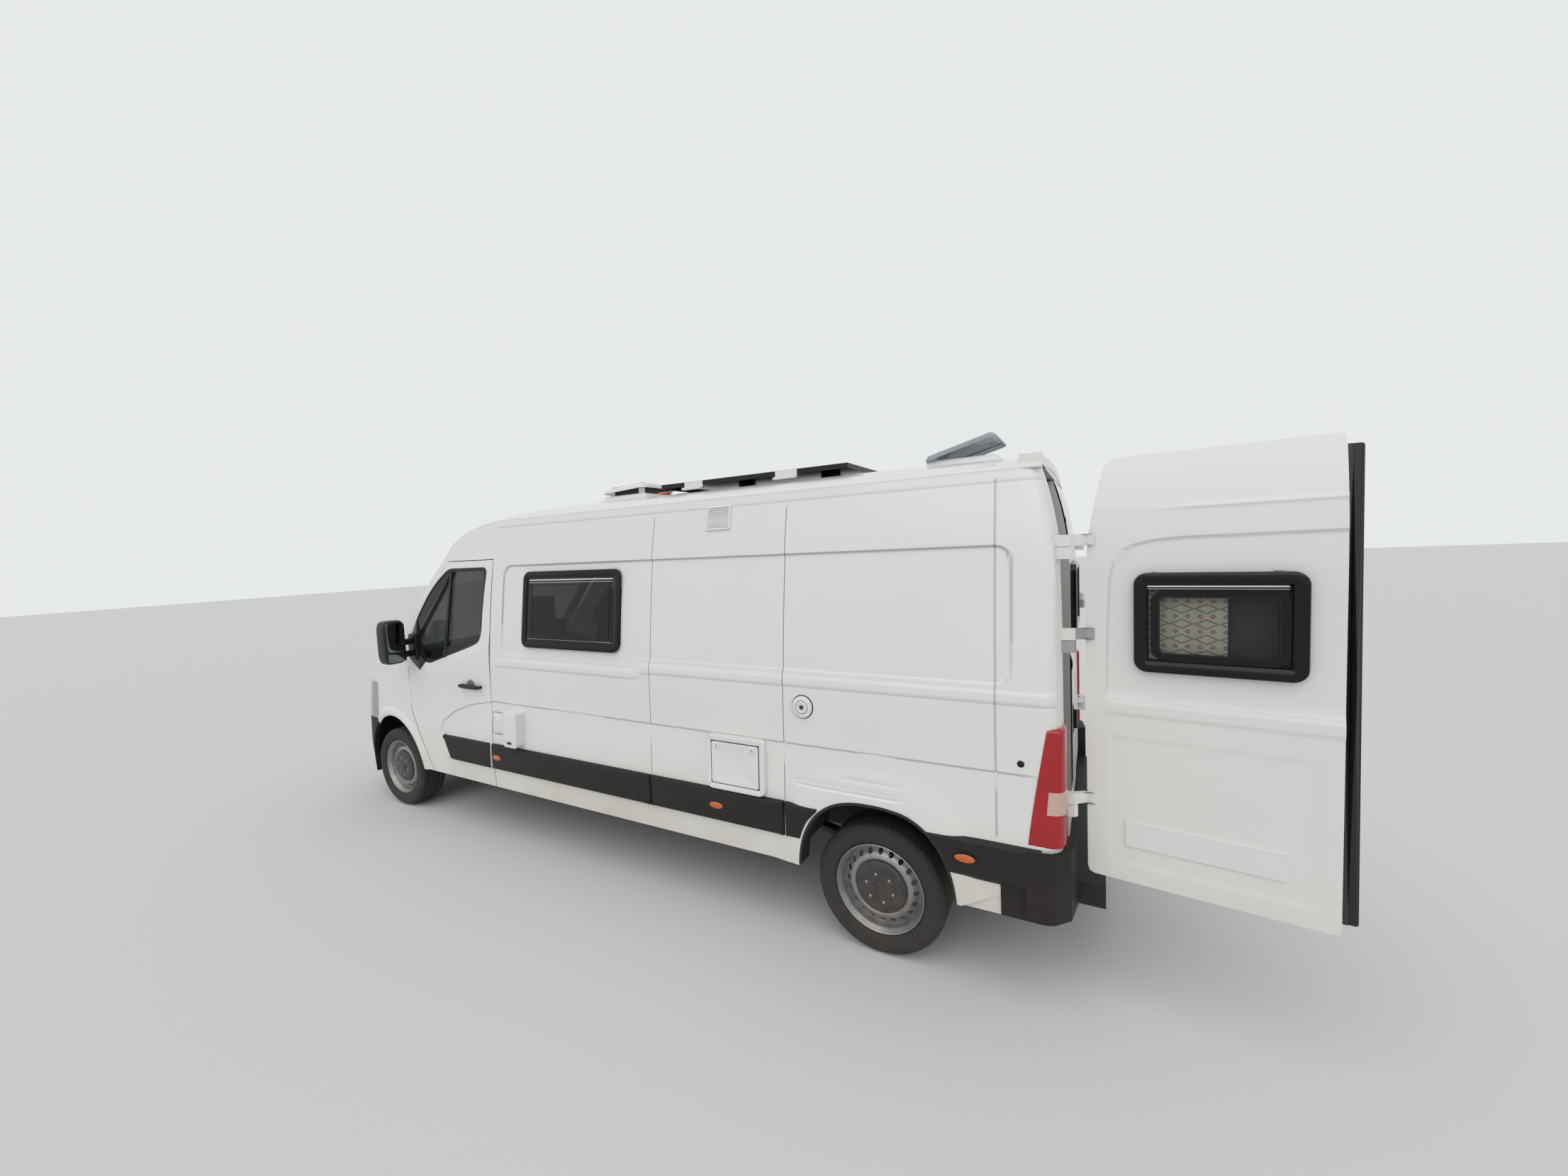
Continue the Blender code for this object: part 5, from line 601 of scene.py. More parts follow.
def weld(points, faces):
    """Points closer than 0.02 mm become one; faces lose repeated corners."""
    _, first, where = np.unique(np.round(points, 5), axis=0, return_index=True, return_inverse=True)
    where = where.ravel()
    clean = []
    for face in faces:
        ids = [int(where[k]) for k in face]
        ids = [v for k, v in enumerate(ids) if v != ids[k - 1]]
        if len(set(ids)) > 2:
            clean.append(ids)
    return points[first], clean


def build(name, points, faces, look, angle=38.0, body=None):
    """Welded mesh object with faces outwards; it rides on a body where one is named."""
    points, faces = weld(np.asarray(points, float).reshape(-1, 3), faces)
    mesh = bpy.data.meshes.new(name)
    mesh.from_pydata(points.tolist(), [], faces)
    shape = bmesh.new()
    shape.from_mesh(mesh)
    bmesh.ops.recalc_face_normals(shape, faces=shape.faces)
    shape.to_mesh(mesh)
    shape.free()
    mesh.materials.append(look)
    mesh.shade_smooth()
    mesh.set_sharp_from_angle(angle=math.radians(angle))
    piece = bpy.data.objects.new(name, mesh)
    bpy.context.scene.collection.objects.link(piece)
    if body:
        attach(piece, body)
    return piece


def lattice(rows, cols, wrap_rows, wrap_cols):
    """Quads of a grid, closed in either direction where asked."""
    i = np.arange(rows if wrap_rows else rows - 1)
    j = np.arange(cols if wrap_cols else cols - 1)
    i, j = [v.ravel() for v in np.meshgrid(i, j, indexing="ij")]
    m, n = (i + 1) % rows, (j + 1) % cols
    return np.stack([i * cols + j, i * cols + n, m * cols + n, m * cols + j], -1).tolist()


def doubled(name, grid, shift, look, angle, body):
    """Grid of points given a second face by a shift, with walls along its border."""
    rows, cols = grid.shape[:2]
    face, count = np.array(lattice(rows, cols, False, False)), rows * cols
    line = [i * cols for i in range(rows)] + [(rows - 1) * cols + j for j in range(1, cols)]
    line += [i * cols + cols - 1 for i in range(rows - 2, -1, -1)] + list(range(cols - 2, 0, -1))
    walls = [[line[k], line[k - 1], line[k - 1] + count, line[k] + count] for k in range(len(line))]
    faces = face.tolist() + (face[:, ::-1] + count).tolist() + walls
    return build(name, np.stack([grid, grid + shift]), faces,
                 look, angle, body)


def lathe(name, profile, centre, side, count, look, body, closed=True, angle=38.0):
    """Profile of (radius, y outwards) swept round the axle; a closed profile gives a ring."""
    profile = np.asarray(profile, float)
    turn = np.linspace(0, 2 * math.pi, count, endpoint=False)
    radius, y = profile[:, 0][:, None], profile[:, 1][:, None] + 0 * turn
    points = np.stack([centre[0] + radius * np.cos(turn), centre[1] + side * y,
                       centre[2] + radius * np.sin(turn)], -1)
    return build(name, points, lattice(len(profile), count, closed, True), look, angle, body)


def curve(knots, count):
    """Smooth open curve through 2-D knots, evenly spread by knot number (same cubic as spline)."""
    knots = np.asarray(knots, float)
    t = np.linspace(0, len(knots) - 1, count)
    at = np.arange(len(knots), dtype=float)
    return np.stack([spline(t, at, knots[:, k]) for k in range(knots.shape[1])], -1)


print("lathe helper ready")

# %% Tyre
# Columns: radius, distance from the middle plane
SIDEWALL = ((0.2318, 0.0830), (0.2400, 0.0930), (0.2560, 0.1010), (0.2800, 0.1055), (0.3020, 0.1050),
            (0.3180, 0.0985), (0.3285, 0.0880), (0.3330, 0.0760), (0.3348, 0.0550), (0.3350, 0.0))


def tyre(name, centre, side, body):
    """Tyre: sidewall curve mirrored over the middle, tread grooves and lateral cuts taken off it."""
    half = curve(SIDEWALL, 46)
    outer = np.concatenate([half, (half * [1, -1])[-2::-1]])
    inner = np.array([[0.2270, -0.0760], [0.2150, -0.0700], [0.2150, 0.0700], [0.2270, 0.0760]])
    ring = np.concatenate([outer, inner])
    turn = np.linspace(0, 2 * math.pi, 320, endpoint=False)
    radius, y = [v + 0 * turn for v in (ring[:, 0][:, None], ring[:, 1][:, None])]
    tread = ease((radius - 0.3290) / 0.003)
    around = np.zeros_like(y)
    for place in (-0.048, -0.017, 0.017, 0.048):
        around = np.maximum(around, groove(y - place, 0.0050))
    wave = np.mod(turn * 64 / (2 * math.pi) + 0.35 * np.sin(y * 40), 1.0)
    lateral = groove(wave - 0.5, 0.12) * (np.abs(y) > 0.05) + 0.5 * groove(wave - 0.5, 0.08)
    radius = radius - 0.0065 * tread * np.maximum(around, np.clip(lateral, 0, 1) * 0.85)
    ridge = groove(radius - 0.3120, 0.0016) + groove(radius - 0.2500, 0.0020)
    y = y + np.sign(y) * 0.0012 * ridge
    points = np.stack([centre[0] + radius * np.cos(turn), centre[1] + side * y,
                       centre[2] + radius * np.sin(turn)], -1)
    return build(name, points, lattice(len(ring), len(turn), True, True), rubber, 30.0, body)


# %% Steel disc with a ring of holes


def holed_ring(name, low, high, count, hole, height, thick, centre, side, look, body):
    """Disc ring with round holes: each sector is a fan of strips from its hole to its border."""
    a = np.linspace(0, 2 * math.pi, 24, endpoint=False)
    share = np.linspace(0, 1, 4)[:, None]
    middle, half_turn, half_wide = 0.5 * (low + high), math.pi / count, 0.5 * (high - low)
    stretch = np.maximum(np.abs(np.cos(a)), np.abs(np.sin(a)))
    edge_t, edge_r = np.cos(a) / stretch * half_turn, np.sin(a) / stretch * half_wide
    hole_t, hole_r = hole * np.cos(a) / middle, hole * np.sin(a)
    points, faces = [], []
    for k in range(count):
        t = 2 * half_turn * k + hole_t + (edge_t - hole_t) * share
        r = middle + hole_r + (edge_r - hole_r) * share
        for back in (0.0, thick):
            start = sum(len(p) for p in points)
            xyz = np.stack([centre[0] + r * np.cos(t), centre[1] + side * (height(r) - back),
                            centre[2] + r * np.sin(t)], -1).reshape(-1, 3)
            points.append(xyz)
            faces += (np.array(lattice(4, 24, False, True)) + start).tolist()
        size = len(points[-1])
        first = sum(len(p) for p in points) - 2 * size
        for j in range(24):
            n = (j + 1) % 24
            faces.append([first + j, first + n, first + size + n, first + size + j])
            if abs(abs(edge_r[j] + edge_r[n]) - 2 * half_wide) < 1e-9:
                a0, a1 = first + 72 + j, first + 72 + n
                faces.append([a0, a1, a1 + size, a0 + size])
    return build(name, np.concatenate(points), faces, look, 30.0, body)


BEAD = 0.230
for tag, x, track in (("front_left", 0.0, 1.750), ("front_right", 0.0, -1.750),
                      ("rear_left", -WHEELBASE, 1.730), ("rear_right", -WHEELBASE, -1.730)):
    side = 1 if track > 0 else -1
    centre = (x + SHIFT, 0.5 * track, TYRE_RADIUS)
    body = "wheel_" + tag
    ring = tyre("tyre_skin_" + tag, centre, side, body)
    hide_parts("tyre_" + tag)
    barrel = [(0.2310, 0.0835), (BEAD, 0.0915), (0.2270, 0.0930), (0.2245, 0.0910), (0.2205, 0.0800),
              (0.2120, 0.0720), (0.2070, 0.0600), (0.2050, 0.0350), (0.1990, 0.0300), (0.1990, -0.0400),
              (0.2080, -0.0700), (0.2245, -0.0900), (0.2270, -0.0930), (0.2310, -0.0835), (0.2140, -0.0710),
              (0.2130, 0.0690)]
    rim = lathe("rim_barrel_" + tag, barrel, centre, side, 120, wheel_silver, body, angle=50.0)
    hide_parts("rim_" + tag)
    holed_ring("rim_holes_" + tag, 0.1560, 0.2000, 20, 0.0125,
               lambda r: 0.0620 - 0.030 * ease((r - 0.156) / 0.044), 0.005, centre, side, wheel_silver, body)
    crest = [(0.1565, 0.0621), (0.1500, 0.0650), (0.1430, 0.0640), (0.1380, 0.0590), (0.1100, 0.0560),
             (0.1100, 0.0500), (0.1565, 0.0570)]
    lathe("rim_crest_" + tag, crest, centre, side, 120, wheel_silver, body, angle=50.0)
    dome = [(0.0, 0.0860), (0.0260, 0.0858), (0.0330, 0.0840), (0.0350, 0.0800), (0.0900, 0.0790),
            (0.1250, 0.0740), (0.1330, 0.0680), (0.1340, 0.0590), (0.1100, 0.0540), (0.0, 0.0540)]
    lathe("hub_cap_" + tag, dome, centre, side, 96, cap_grey, body, closed=False)
    backing = [(0.0, 0.0530), (0.1150, 0.0530), (0.1150, 0.0100), (0.0750, 0.0080), (0.0750, -0.0400),
               (0.0, -0.0400)]
    lathe("hub_core_" + tag, backing, centre, side, 48, chassis, body, closed=False)
    for k in range(6):
        turn = 2 * math.pi * (k + 0.25) / 6
        place = (centre[0] + 0.072 * math.cos(turn), centre[1], centre[2] + 0.072 * math.sin(turn))
        bolt = [(0.0, 0.0830), (0.0060, 0.0826), (0.0072, 0.0815), (0.0075, 0.0770), (0.0, 0.0770)]
        lathe("wheel_bolt_%s_%d" % (tag, k), bolt, place, side, 16, zinc, body, closed=False)
print("wheels built")

# %% [markdown]
# ## Windows and fittings on the sides
# The camper windows are hinged acrylic panes in a black frame: the frame is a round-cornered ring
# with a bevelled profile. A ring is swept: the same outline drawn inwards step by step, with a
# height over the panel at each step. We use it for every frame, cover and lid.

# %% Ring and pad helpers


def drawn_in(outline, distance):
    """Outline moved inwards along the mean of its two neighbouring edge normals."""
    before = outline - np.roll(outline, 1, axis=0)
    after = np.roll(outline, -1, axis=0) - outline
    before = before / np.linalg.norm(before, axis=1)[:, None]
    after = after / np.linalg.norm(after, axis=1)[:, None]
    middle = before + after
    middle = middle / np.linalg.norm(middle, axis=1)[:, None]
    scale = 1 / np.maximum((middle * after).sum(1), 0.4)
    return outline + np.stack([-middle[:, 1], middle[:, 0]], -1) * (distance * scale)[:, None]


def soften(outline, radius):
    """Corners replaced by rounds: two points set back by the radius and a quadratic arc between them."""
    outline = np.asarray(outline, float)
    radius = np.broadcast_to(radius, len(outline))
    out = []
    for k in range(len(outline)):
        a, b, c = outline[k - 1], outline[k], outline[(k + 1) % len(outline)]
        first = b + (a - b) / np.linalg.norm(a - b) * min(radius[k], 0.45 * np.linalg.norm(a - b))
        last = b + (c - b) / np.linalg.norm(c - b) * min(radius[k], 0.45 * np.linalg.norm(c - b))
        for t in np.linspace(0, 1, 7):
            out.append((1 - t) ** 2 * first + 2 * t * (1 - t) * b + t * t * last)
    return np.array(out)


def ring(name, outline, profile, place, look, body="van", angle=38.0):
    """Outline swept along a profile of (distance inwards, lift).

    A profile that starts at None, the outline's middle, makes a cap; another one closes into a ring.
    """
    closed = profile[0][0] is not None
    outline = np.asarray(outline, float)
    rows = []
    for distance, lift in profile:
        level = drawn_in(outline, distance) if distance is not None else None
        if level is None:
            level = np.repeat(outline.mean(0)[None], len(outline), 0)
        rows.append(place(level[:, 0], level[:, 1], lift))
    points = np.stack(rows)
    return build(name, points, lattice(len(rows), len(outline), closed, True), look, angle, body)


def on_side(side):
    """Place for ring(): x and z on the body side, lifted outwards."""
    def place(x, z, lift):
        return np.stack([x + SHIFT, side * (side_y(x, z) + lift), z], -1)
    return place


def pillow(name, low, high, power, look, body, rows=20, cols=32, turn=None):
    """Superellipsoid between two corners: |x|^n + |y|^n + |z|^n = 1 with n set by the power."""
    v = np.linspace(-0.5 * math.pi, 0.5 * math.pi, rows)[:, None]
    u = np.linspace(0, 2 * math.pi, cols, endpoint=False)

    def bent(value):
        return np.sign(value) * np.abs(value) ** power

    unit = np.stack([bent(np.cos(v)) * bent(np.cos(u)), bent(np.cos(v)) * bent(np.sin(u)),
                     bent(np.sin(v)) + 0 * u], -1)
    low, high = np.asarray(low, float), np.asarray(high, float)
    points = 0.5 * (low + high) + 0.5 * (high - low) * unit + [SHIFT, 0, 0]
    if turn is not None:
        points = turn(points)
    return build(name, points, lattice(rows, cols, False, True), look, 50.0, body)


def pad(top, shoulder, low, edge):
    """Profile of a solid pad: flat top, a chamfer as wide as the edge, straight sides."""
    return [(None, top), (edge, top), (0.0, shoulder), (0.0, low), (None, low)]


def sheet(top, low):
    """Profile of a flat plate between two heights."""
    return [(None, top), (0.0, top), (0.0, low), (None, low)]


def edging(low, top, wide):
    """Profile of a flat strip that follows the outline."""
    return [(0.0, low), (0.0, top), (wide, top), (wide, low)]


print("ring and pad helpers ready")

# %% Camper windows on both sides
for side, tag in ((1, "left"), (-1, "right")):
    place = on_side(side)
    frame_ring = ring("window_frame_" + tag, WINDOW, [(0.0, 0.002), (0.0, 0.012), (0.004, 0.0165),
                      (0.018, 0.0175), (0.040, 0.0165), (0.046, 0.0130), (0.048, 0.002)], place,
                      gloss_black)
    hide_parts("side_window_" + tag)
    ring("window_pane_" + tag, drawn_in(WINDOW, 0.046), sheet(0.0090, 0.0040), place, acrylic)
    for low, high, look in ((1.9260, 1.9330, white_plastic), (1.9100, 1.9150, zinc), (1.5260, 1.5290, zinc)):
        bar = round_box(-2.628, -1.827, low, high, 0.0024)
        ring("window_bar_%s_%d" % (tag, round(low * 1000)), bar, pad(0.0125, 0.0115, 0.0092, 0.0008),
             place, look)
    inner = round_box(-2.600, -1.855, 1.545, 1.900, 0.03)
    ring("window_inner_" + tag, inner, edging(0.0092, 0.0105, 0.006), place, satin_black)
print("camper windows done")

# %% Service door, filler cap, vent, inlet, markers
left = on_side(1)
service = round_box(-3.742, -3.368, 0.749, 1.047, 0.022)
ring("service_frame", service, [(0.0, 0.003), (0.0, 0.024), (0.004, 0.0295), (0.026, 0.0300), (0.0285,
     0.0285), (0.029, 0.003)], left, white_plastic)
ring("service_lid", round_box(-3.708, -3.402, 0.783, 1.013, 0.012), [(None, 0.0295), (0.016, 0.0295),
     (0.010, 0.0305), (0.0, 0.0300), (0.0, 0.0285), (None, 0.0285)], left, white_plastic, "service_door")
for x in (-3.440, -3.670):
    for piece_name, half, look, lift in (("plate", 0.017, white_plastic, 0.036),
                                         ("core", 0.007, zinc, 0.039)):
        ring("service_lock_%s_%d" % (piece_name, round(-x * 1000)), round_box(x - half, x + half,
             0.992 - half, 0.992 + half, 0.006), pad(lift, lift - 0.003, 0.0302, 0.003), left, look,
             "service_door")


ring("filler_skin", circle(FILLER_X, FILLER_Z, 0.0565), [(None, 0.0150), (0.036, 0.0150), (0.0340,
     0.0185), (0.026, 0.0185), (0.0240, 0.0150), (0.004, 0.0150), (0.0, 0.0120), (0.0, 0.003), (None,
     0.003)], left, white_plastic)
# The two dark rings, round the filler cap and at the foot of its raised ring, are painted shade in the gap
# and the groove.
ring("filler_gap", circle(FILLER_X, FILLER_Z, 0.0615), edging(0.003, 0.0055, 0.0045), left, seal)
ring("filler_groove", circle(FILLER_X, FILLER_Z, 0.0345), edging(0.0151, 0.0157, 0.002), left, seal)
ring("filler_key", circle(FILLER_X, FILLER_Z, 0.0110), pad(0.0210, 0.0190, 0.0152, 0.002), left,
     cap_grey)
ring("vent_frame", round_box(-3.500, -3.330, 2.190, 2.330, 0.010), [(0.0, 0.003), (0.0, 0.0125),
     (0.003, 0.0150), (0.012, 0.0150), (0.014, 0.0120), (0.014, 0.003)], left, white_plastic)
for k in range(9):
    z = 2.206 + 0.0124 * k
    ring("vent_blade_%d" % k, round_box(-3.485, -3.345, z, z + 0.0062, 0.0022), pad(0.0145, 0.0130,
         0.0110, 0.001), left, white_plastic)
ring("inlet_cover", round_box(-1.757, -1.623, 0.768, 1.012, 0.020), [(None, 0.0735), (0.020, 0.0735),
     (0.008, 0.0725), (0.002, 0.0680), (0.0, 0.0600), (0.0, 0.0500), (None, 0.0500)], left, white_plastic)
ring("inlet_catch", round_box(-1.712, -1.668, 0.790, 0.806, 0.005), pad(0.0790, 0.0765, 0.0732, 0.003),
     left, cap_grey)
ring("fuel_flap_skin", round_box(-1.5295, -1.4125, 0.8205, 0.9695, 0.012), pad(0.0035, 0.0020, 0.0002,
     0.003), left, paint, "fuel_flap")
for side, tag in ((1, "left"), (-1, "right")):
    for k, x in enumerate((-1.470, -3.420, -4.778)):
        oval = circle(x, 0.648, 0.050, 35, high=0.0235)
        ring("marker_rim_%s_%d" % (tag, k), oval, [(0.0, 0.0240), (0.0, 0.0275), (0.004, 0.0285),
             (0.005, 0.0240)], on_side(side), satin_black)
        ring("marker_%s_%d" % (tag, k), drawn_in(oval, 0.0045), [(None, 0.0330), (0.008, 0.0322), (0.0,
             0.0280), (0.0, 0.0242), (None, 0.0242)], on_side(side), lens_orange)
    ring("rear_plug_" + tag, circle(-5.014, 1.100, 0.0150, 24), pad(0.0055, 0.0045, 0.0030, 0.002),
         on_side(side), satin_black)
print("side fittings done")

# %% Side strips and arch edges
# The strips are clipped on between the panel joints; each has a bevel along its upper and lower edge.
strip_ends = ((-1.4065, -2.9300), (-2.9360, -3.8510), (-3.8570, -4.0520))
STRIP_LOW, STRIP_HIGH, STRIP_GAP = 0.557, 0.741, 0.006
strip_bevel = [(None, 0.0275), (0.014, 0.0275), (0.008, 0.0260), (0.002, 0.0190), (0.0, 0.0110),
               (0.0, 0.0036), (None, 0.0036)]
for side, tag in ((1, "left"), (-1, "right")):
    for k, (front, back) in enumerate(strip_ends):
        outline = [(front, STRIP_LOW), (front, STRIP_HIGH), (back, STRIP_HIGH)]
        if k < 2:
            outline.append((back, STRIP_LOW))
        else:
            lows = np.linspace(STRIP_HIGH - 0.010, STRIP_LOW, 12)
            climb = (lows - ARCH_Z) / (ARCH_HIGH + STRIP_GAP)
            reach = (ARCH_LONG + STRIP_GAP) * (1 - climb ** ARCH_POWER) ** (1 / ARCH_POWER)
            outline += list(zip(reach - WHEELBASE, lows))
        strip = ring("side_strip_%s_%d" % (tag, k), soften(outline, 0.004), strip_bevel, on_side(side),
                     moulding)
    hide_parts("moulding_" + tag)
    edge_line = arch()[:ARCH_STEPS]
    edge_line = edge_line[edge_line[:, 1] > 0.420]
    pressed = side_surface(side, (), knocked=1.0 if side > 0 else 0.0)
    rows, axle = [], [-WHEELBASE, ARCH_Z]
    for grow, out in ((0.0000, 0.0025), (-0.0130, 0.0010), (-0.0130, -0.095), (0.0000, -0.095)):
        spread = (edge_line - axle) * (1 + grow / ARCH_MEAN) + axle
        on_skin = pressed(edge_line[:, 0], edge_line[:, 1])[0]
        rows.append(np.stack([spread[:, 0] + SHIFT, on_skin[:, 1] + side * out, spread[:, 1]], -1))
    bar = np.stack(rows, 1)
    ends = [np.repeat(bar[k].mean(0)[None, None], 4, 1) for k in (0, -1)]
    bar = np.concatenate([ends[0], bar, ends[1]])
    build("arch_edge_" + tag, bar, lattice(len(bar), 4, False, True), seal, 40.0, "van")
print("strips and arch edges done")

# %% [markdown]
# ## The rear end
# Two full-height doors close the back. The left one stands open at 97 degrees, so its skin is drawn
# in the closed place, where it is a function of side distance and height, and then swung about the
# hinge. A window frame, plate hinges and a rubber edge finish it.

# %% Rear surface and the swing
HINGE_X, HINGE_Y, SLEEVE = -5.212, 0.862, 0.0142
HINGE = np.array([HINGE_X + SHIFT, HINGE_Y, 0.0])
SWING = math.radians(-97.0)
SWING_MATRIX = np.array([[math.cos(SWING), -math.sin(SWING), 0],
                         [math.sin(SWING), math.cos(SWING), 0], [0, 0, 1]])


def swung(points):
    """Points of the closed left door, turned about its hinge to where it rests."""
    return HINGE + (points - HINGE) @ SWING_MATRIX.T


def on_rear(side):
    """Place for ring(): y and z on the rear face, lifted outwards; the left door's pieces are swung."""
    def place(y, z, lift):
        points = np.stack([rear_x(z) - lift + SHIFT, side * y, z + 0 * y], -1)
        return swung(points) if side > 0 else points
    return place


REAR_RECESS = [(-0.1, 1.376), (0.741, 1.376), (0.736, 1.700), (0.730, 1.860), (0.718, 1.930), (0.690, 1.985),
               (0.640, 2.020), (0.570, 2.036), (0.470, 2.043), (-0.1, 2.047)]


def facing_rear(x, y, z, side, grime=0.0):
    """Answer of a rear door's surface function: the way inwards is forwards; the left door is swung."""
    points = np.stack([x + SHIFT, side * y, z], -1)
    back = np.zeros_like(points)
    back[..., 0] = 1.0
    if side > 0:
        points, back = swung(points), back @ SWING_MATRIX.T
    return points, back, np.clip(grime + np.zeros_like(y), 0, 1)


def rear_surface(side):
    """Rear door skin: a recess over the belt open to the free edge, a ledge, an upper crease."""
    def surface(y, z):
        edge = inside(np.stack([y, z], -1), REAR_RECESS)
        depth = 0.0070 * ease(edge / 0.014)
        # Painted shade along the recess edge above the belt.
        grime = 0.30 * np.clip(1 - np.abs(edge - 0.002) / 0.005, 0, 1) * (z > 1.40)
        ledge = ease((z - 1.300) / 0.022) * (1 - ease((z - 1.352) / 0.022)) * (1 - ease((y - 0.70) / 0.08))
        depth = depth - 0.0050 * ledge
        crease = np.exp(-((z - 2.158) / 0.010) ** 2) * (1 - ease((y - 0.40) / 0.22))
        # Painted shade just under the raised upper crease.
        grime = grime + 0.16 * np.exp(-((z - 2.153) / 0.004) ** 2) * (1 - ease((y - 0.40) / 0.22))
        depth = depth - 0.0028 * crease
        lower = inside(np.stack([y, z], -1), [(0.06, 0.66), (0.74, 0.66), (0.74, 1.22), (0.06, 1.22)])
        depth = depth + 0.0030 * ease(lower / 0.02)
        x = rear_x(z) - SKIN_LIFT + depth
        return facing_rear(x, y, z, side, grime)
    return surface


def rear_core(side):
    """Door body behind the skin: the plain rear face set 6 mm in, for a wall of 53 mm."""
    def surface(y, z):
        return facing_rear(rear_x(z) + 0.0062, y, z, side)
    return surface


def upright(side, body_swings=True):
    """Place for ring(): x and y in plan, lifted upwards; with the left door's swing where asked."""
    def place(x, y, lift):
        points = np.stack([x + SHIFT, side * y, lift + 0 * x], -1)
        return swung(points) if side > 0 and body_swings else points
    return place


rear_outline = soften([(0.0085, 0.589), (0.8165, 0.589), (0.8165, 2.030), (0.7480, 2.3815),
                       (0.0085, 2.3815)], [0.02, 0.03, 0.25, 0.060, 0.020])
rear_hole = round_box(0.1100, 0.6400, 1.5100, 1.9050, 0.080)
ys = ticks(0.0085, 0.8165, 0.026, [(0.735, 0.030, 0.005), (0.16, 0.05, 0.012), (0.60, 0.05, 0.012)])
zd = ticks(0.589, 2.3815, 0.030, [(2.035, 0.030, 0.004), (1.330, 0.050, 0.005), (2.158, 0.020, 0.004),
                                  (1.84, 0.07, 0.012), (1.58, 0.07, 0.012), (1.22, 0.03, 0.01),
                                  (0.66, 0.03, 0.01)])
for side, tag in ((1, "left"), (-1, "right")):
    body = "rear_door_" + tag
    core = shell("rear_core_" + tag, ticks(0.0085, 0.8165, 0.05, []), ticks(0.589, 2.3815, 0.05, []),
                 rear_core(side), rear_outline, inner_paint, thick=0.0525, holes=(rear_hole,), flip=side > 0)
    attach(core, body)
    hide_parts("rear_door_" + tag)
    skin = shell("rear_skin_" + tag, ys, zd, rear_surface(side), rear_outline, paint, holes=(rear_hole,),
                 flip=side > 0)
    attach(skin, body)
    place = on_rear(side)
    outer = round_box(0.1050, 0.6400, 1.5000, 1.9020, 0.048)
    frame_ring = ring("rear_frame_" + tag, outer, [(0.0, 0.002), (0.0, 0.020), (0.003, 0.026), (0.010,
                      0.029), (0.030, 0.030), (0.044, 0.024), (0.050, 0.014), (0.052, -0.040), (0.0,
                      -0.040)], place, gloss_black, body)
    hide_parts("rear_window_" + tag)
    ring("rear_pane_" + tag, drawn_in(outer, 0.046), sheet(0.014, 0.009), place, clear_acrylic, body)
    sight = round_box(0.184, 0.554, 1.578, 1.806, 0.022)
    ring("rear_border_" + tag, sight, edging(0.0143, 0.0154, -0.0275), place, gloss_black, body)
    ring("rear_bead_" + tag, sight, [(-0.004, 0.0156), (-0.003, 0.0175), (0.003, 0.0175), (0.004,
         0.0144)], place, satin_black, body)
    ring("rear_head_" + tag, round_box(0.155, 0.590, 1.8335, 1.852, 0.003), pad(0.0170, 0.0160, 0.0142,
         0.001), place, gloss_black, body)
    for low, high in ((1.8455, 1.8515), (1.8365, 1.8400), (1.5310, 1.5350)):
        ring("rear_bar_%s_%d" % (tag, round(low * 1e4)), round_box(0.162, 0.592, low, high, 0.0015),
             pad(0.0190, 0.0180, 0.0150, 0.0006), place, white_plastic if high > 1.8410 else zinc, body)
    ring("rear_blind_" + tag, round_box(0.130, 0.620, 1.530, 1.885, 0.02), sheet(-0.050, -0.052),
         place, cloth, body)
    for z, hinge_look in ((0.900, paint), (1.620, zinc), (2.020, paint)):
        plan = [(-5.1752, 0.782), (-5.1795, 0.782), (-5.1795, 0.812), (-5.2150, 0.852), (-5.2235, 0.858),
                (-5.2240, 0.868), (-5.2140, 0.8735), (-5.2040, 0.868), (-5.1752, 0.830)]
        ring("strap_%s_%d" % (tag, round(z * 1000)), np.array(plan)[::-1], sheet(z + 0.002, z + 0.050),
             upright(side), hinge_look, body)
        fixed = upright(side, False)
        ring("hinge_sleeve_%s_%d" % (tag, round(z * 1000)), circle(HINGE_X, HINGE_Y, SLEEVE, 28),
             sheet(z - 0.053, z - 0.001), fixed, hinge_look)
        ring("hinge_leaf_%s_%d" % (tag, round(z * 1000)), np.array([(-5.214, 0.8850), (-5.214, 0.8500),
             (-5.150, 0.8500), (-5.150, 0.8850)])[::-1], sheet(z - 0.052, z - 0.002), fixed, hinge_look)
ring("meeting_flange", round_box(-0.018, 0.030, 0.604, 2.345, 0.003), sheet(-0.0610, -0.0650),
     on_rear(1), cap_grey, "rear_door_left")
ring("meeting_rubber", round_box(-0.046, -0.010, 0.604, 2.345, 0.010), [(None, -0.0625), (0.006,
     -0.0625), (0.0, -0.0660), (0.0, -0.0770), (0.006, -0.0800), (None, -0.0800)], on_rear(1), seal,
     "rear_door_left")
print("rear doors done")

# %% Printed curtains behind the rear windows
curtain_look = bpy.data.materials.new("printed_curtain")
curtain_look.use_nodes = True
add, tree = graph(curtain_look), curtain_look.node_tree


def maths(kind, *values):
    """Socket of one Math node; its values are sockets or numbers."""
    return add("Math", dict(enumerate(values)), operation=kind)[0]


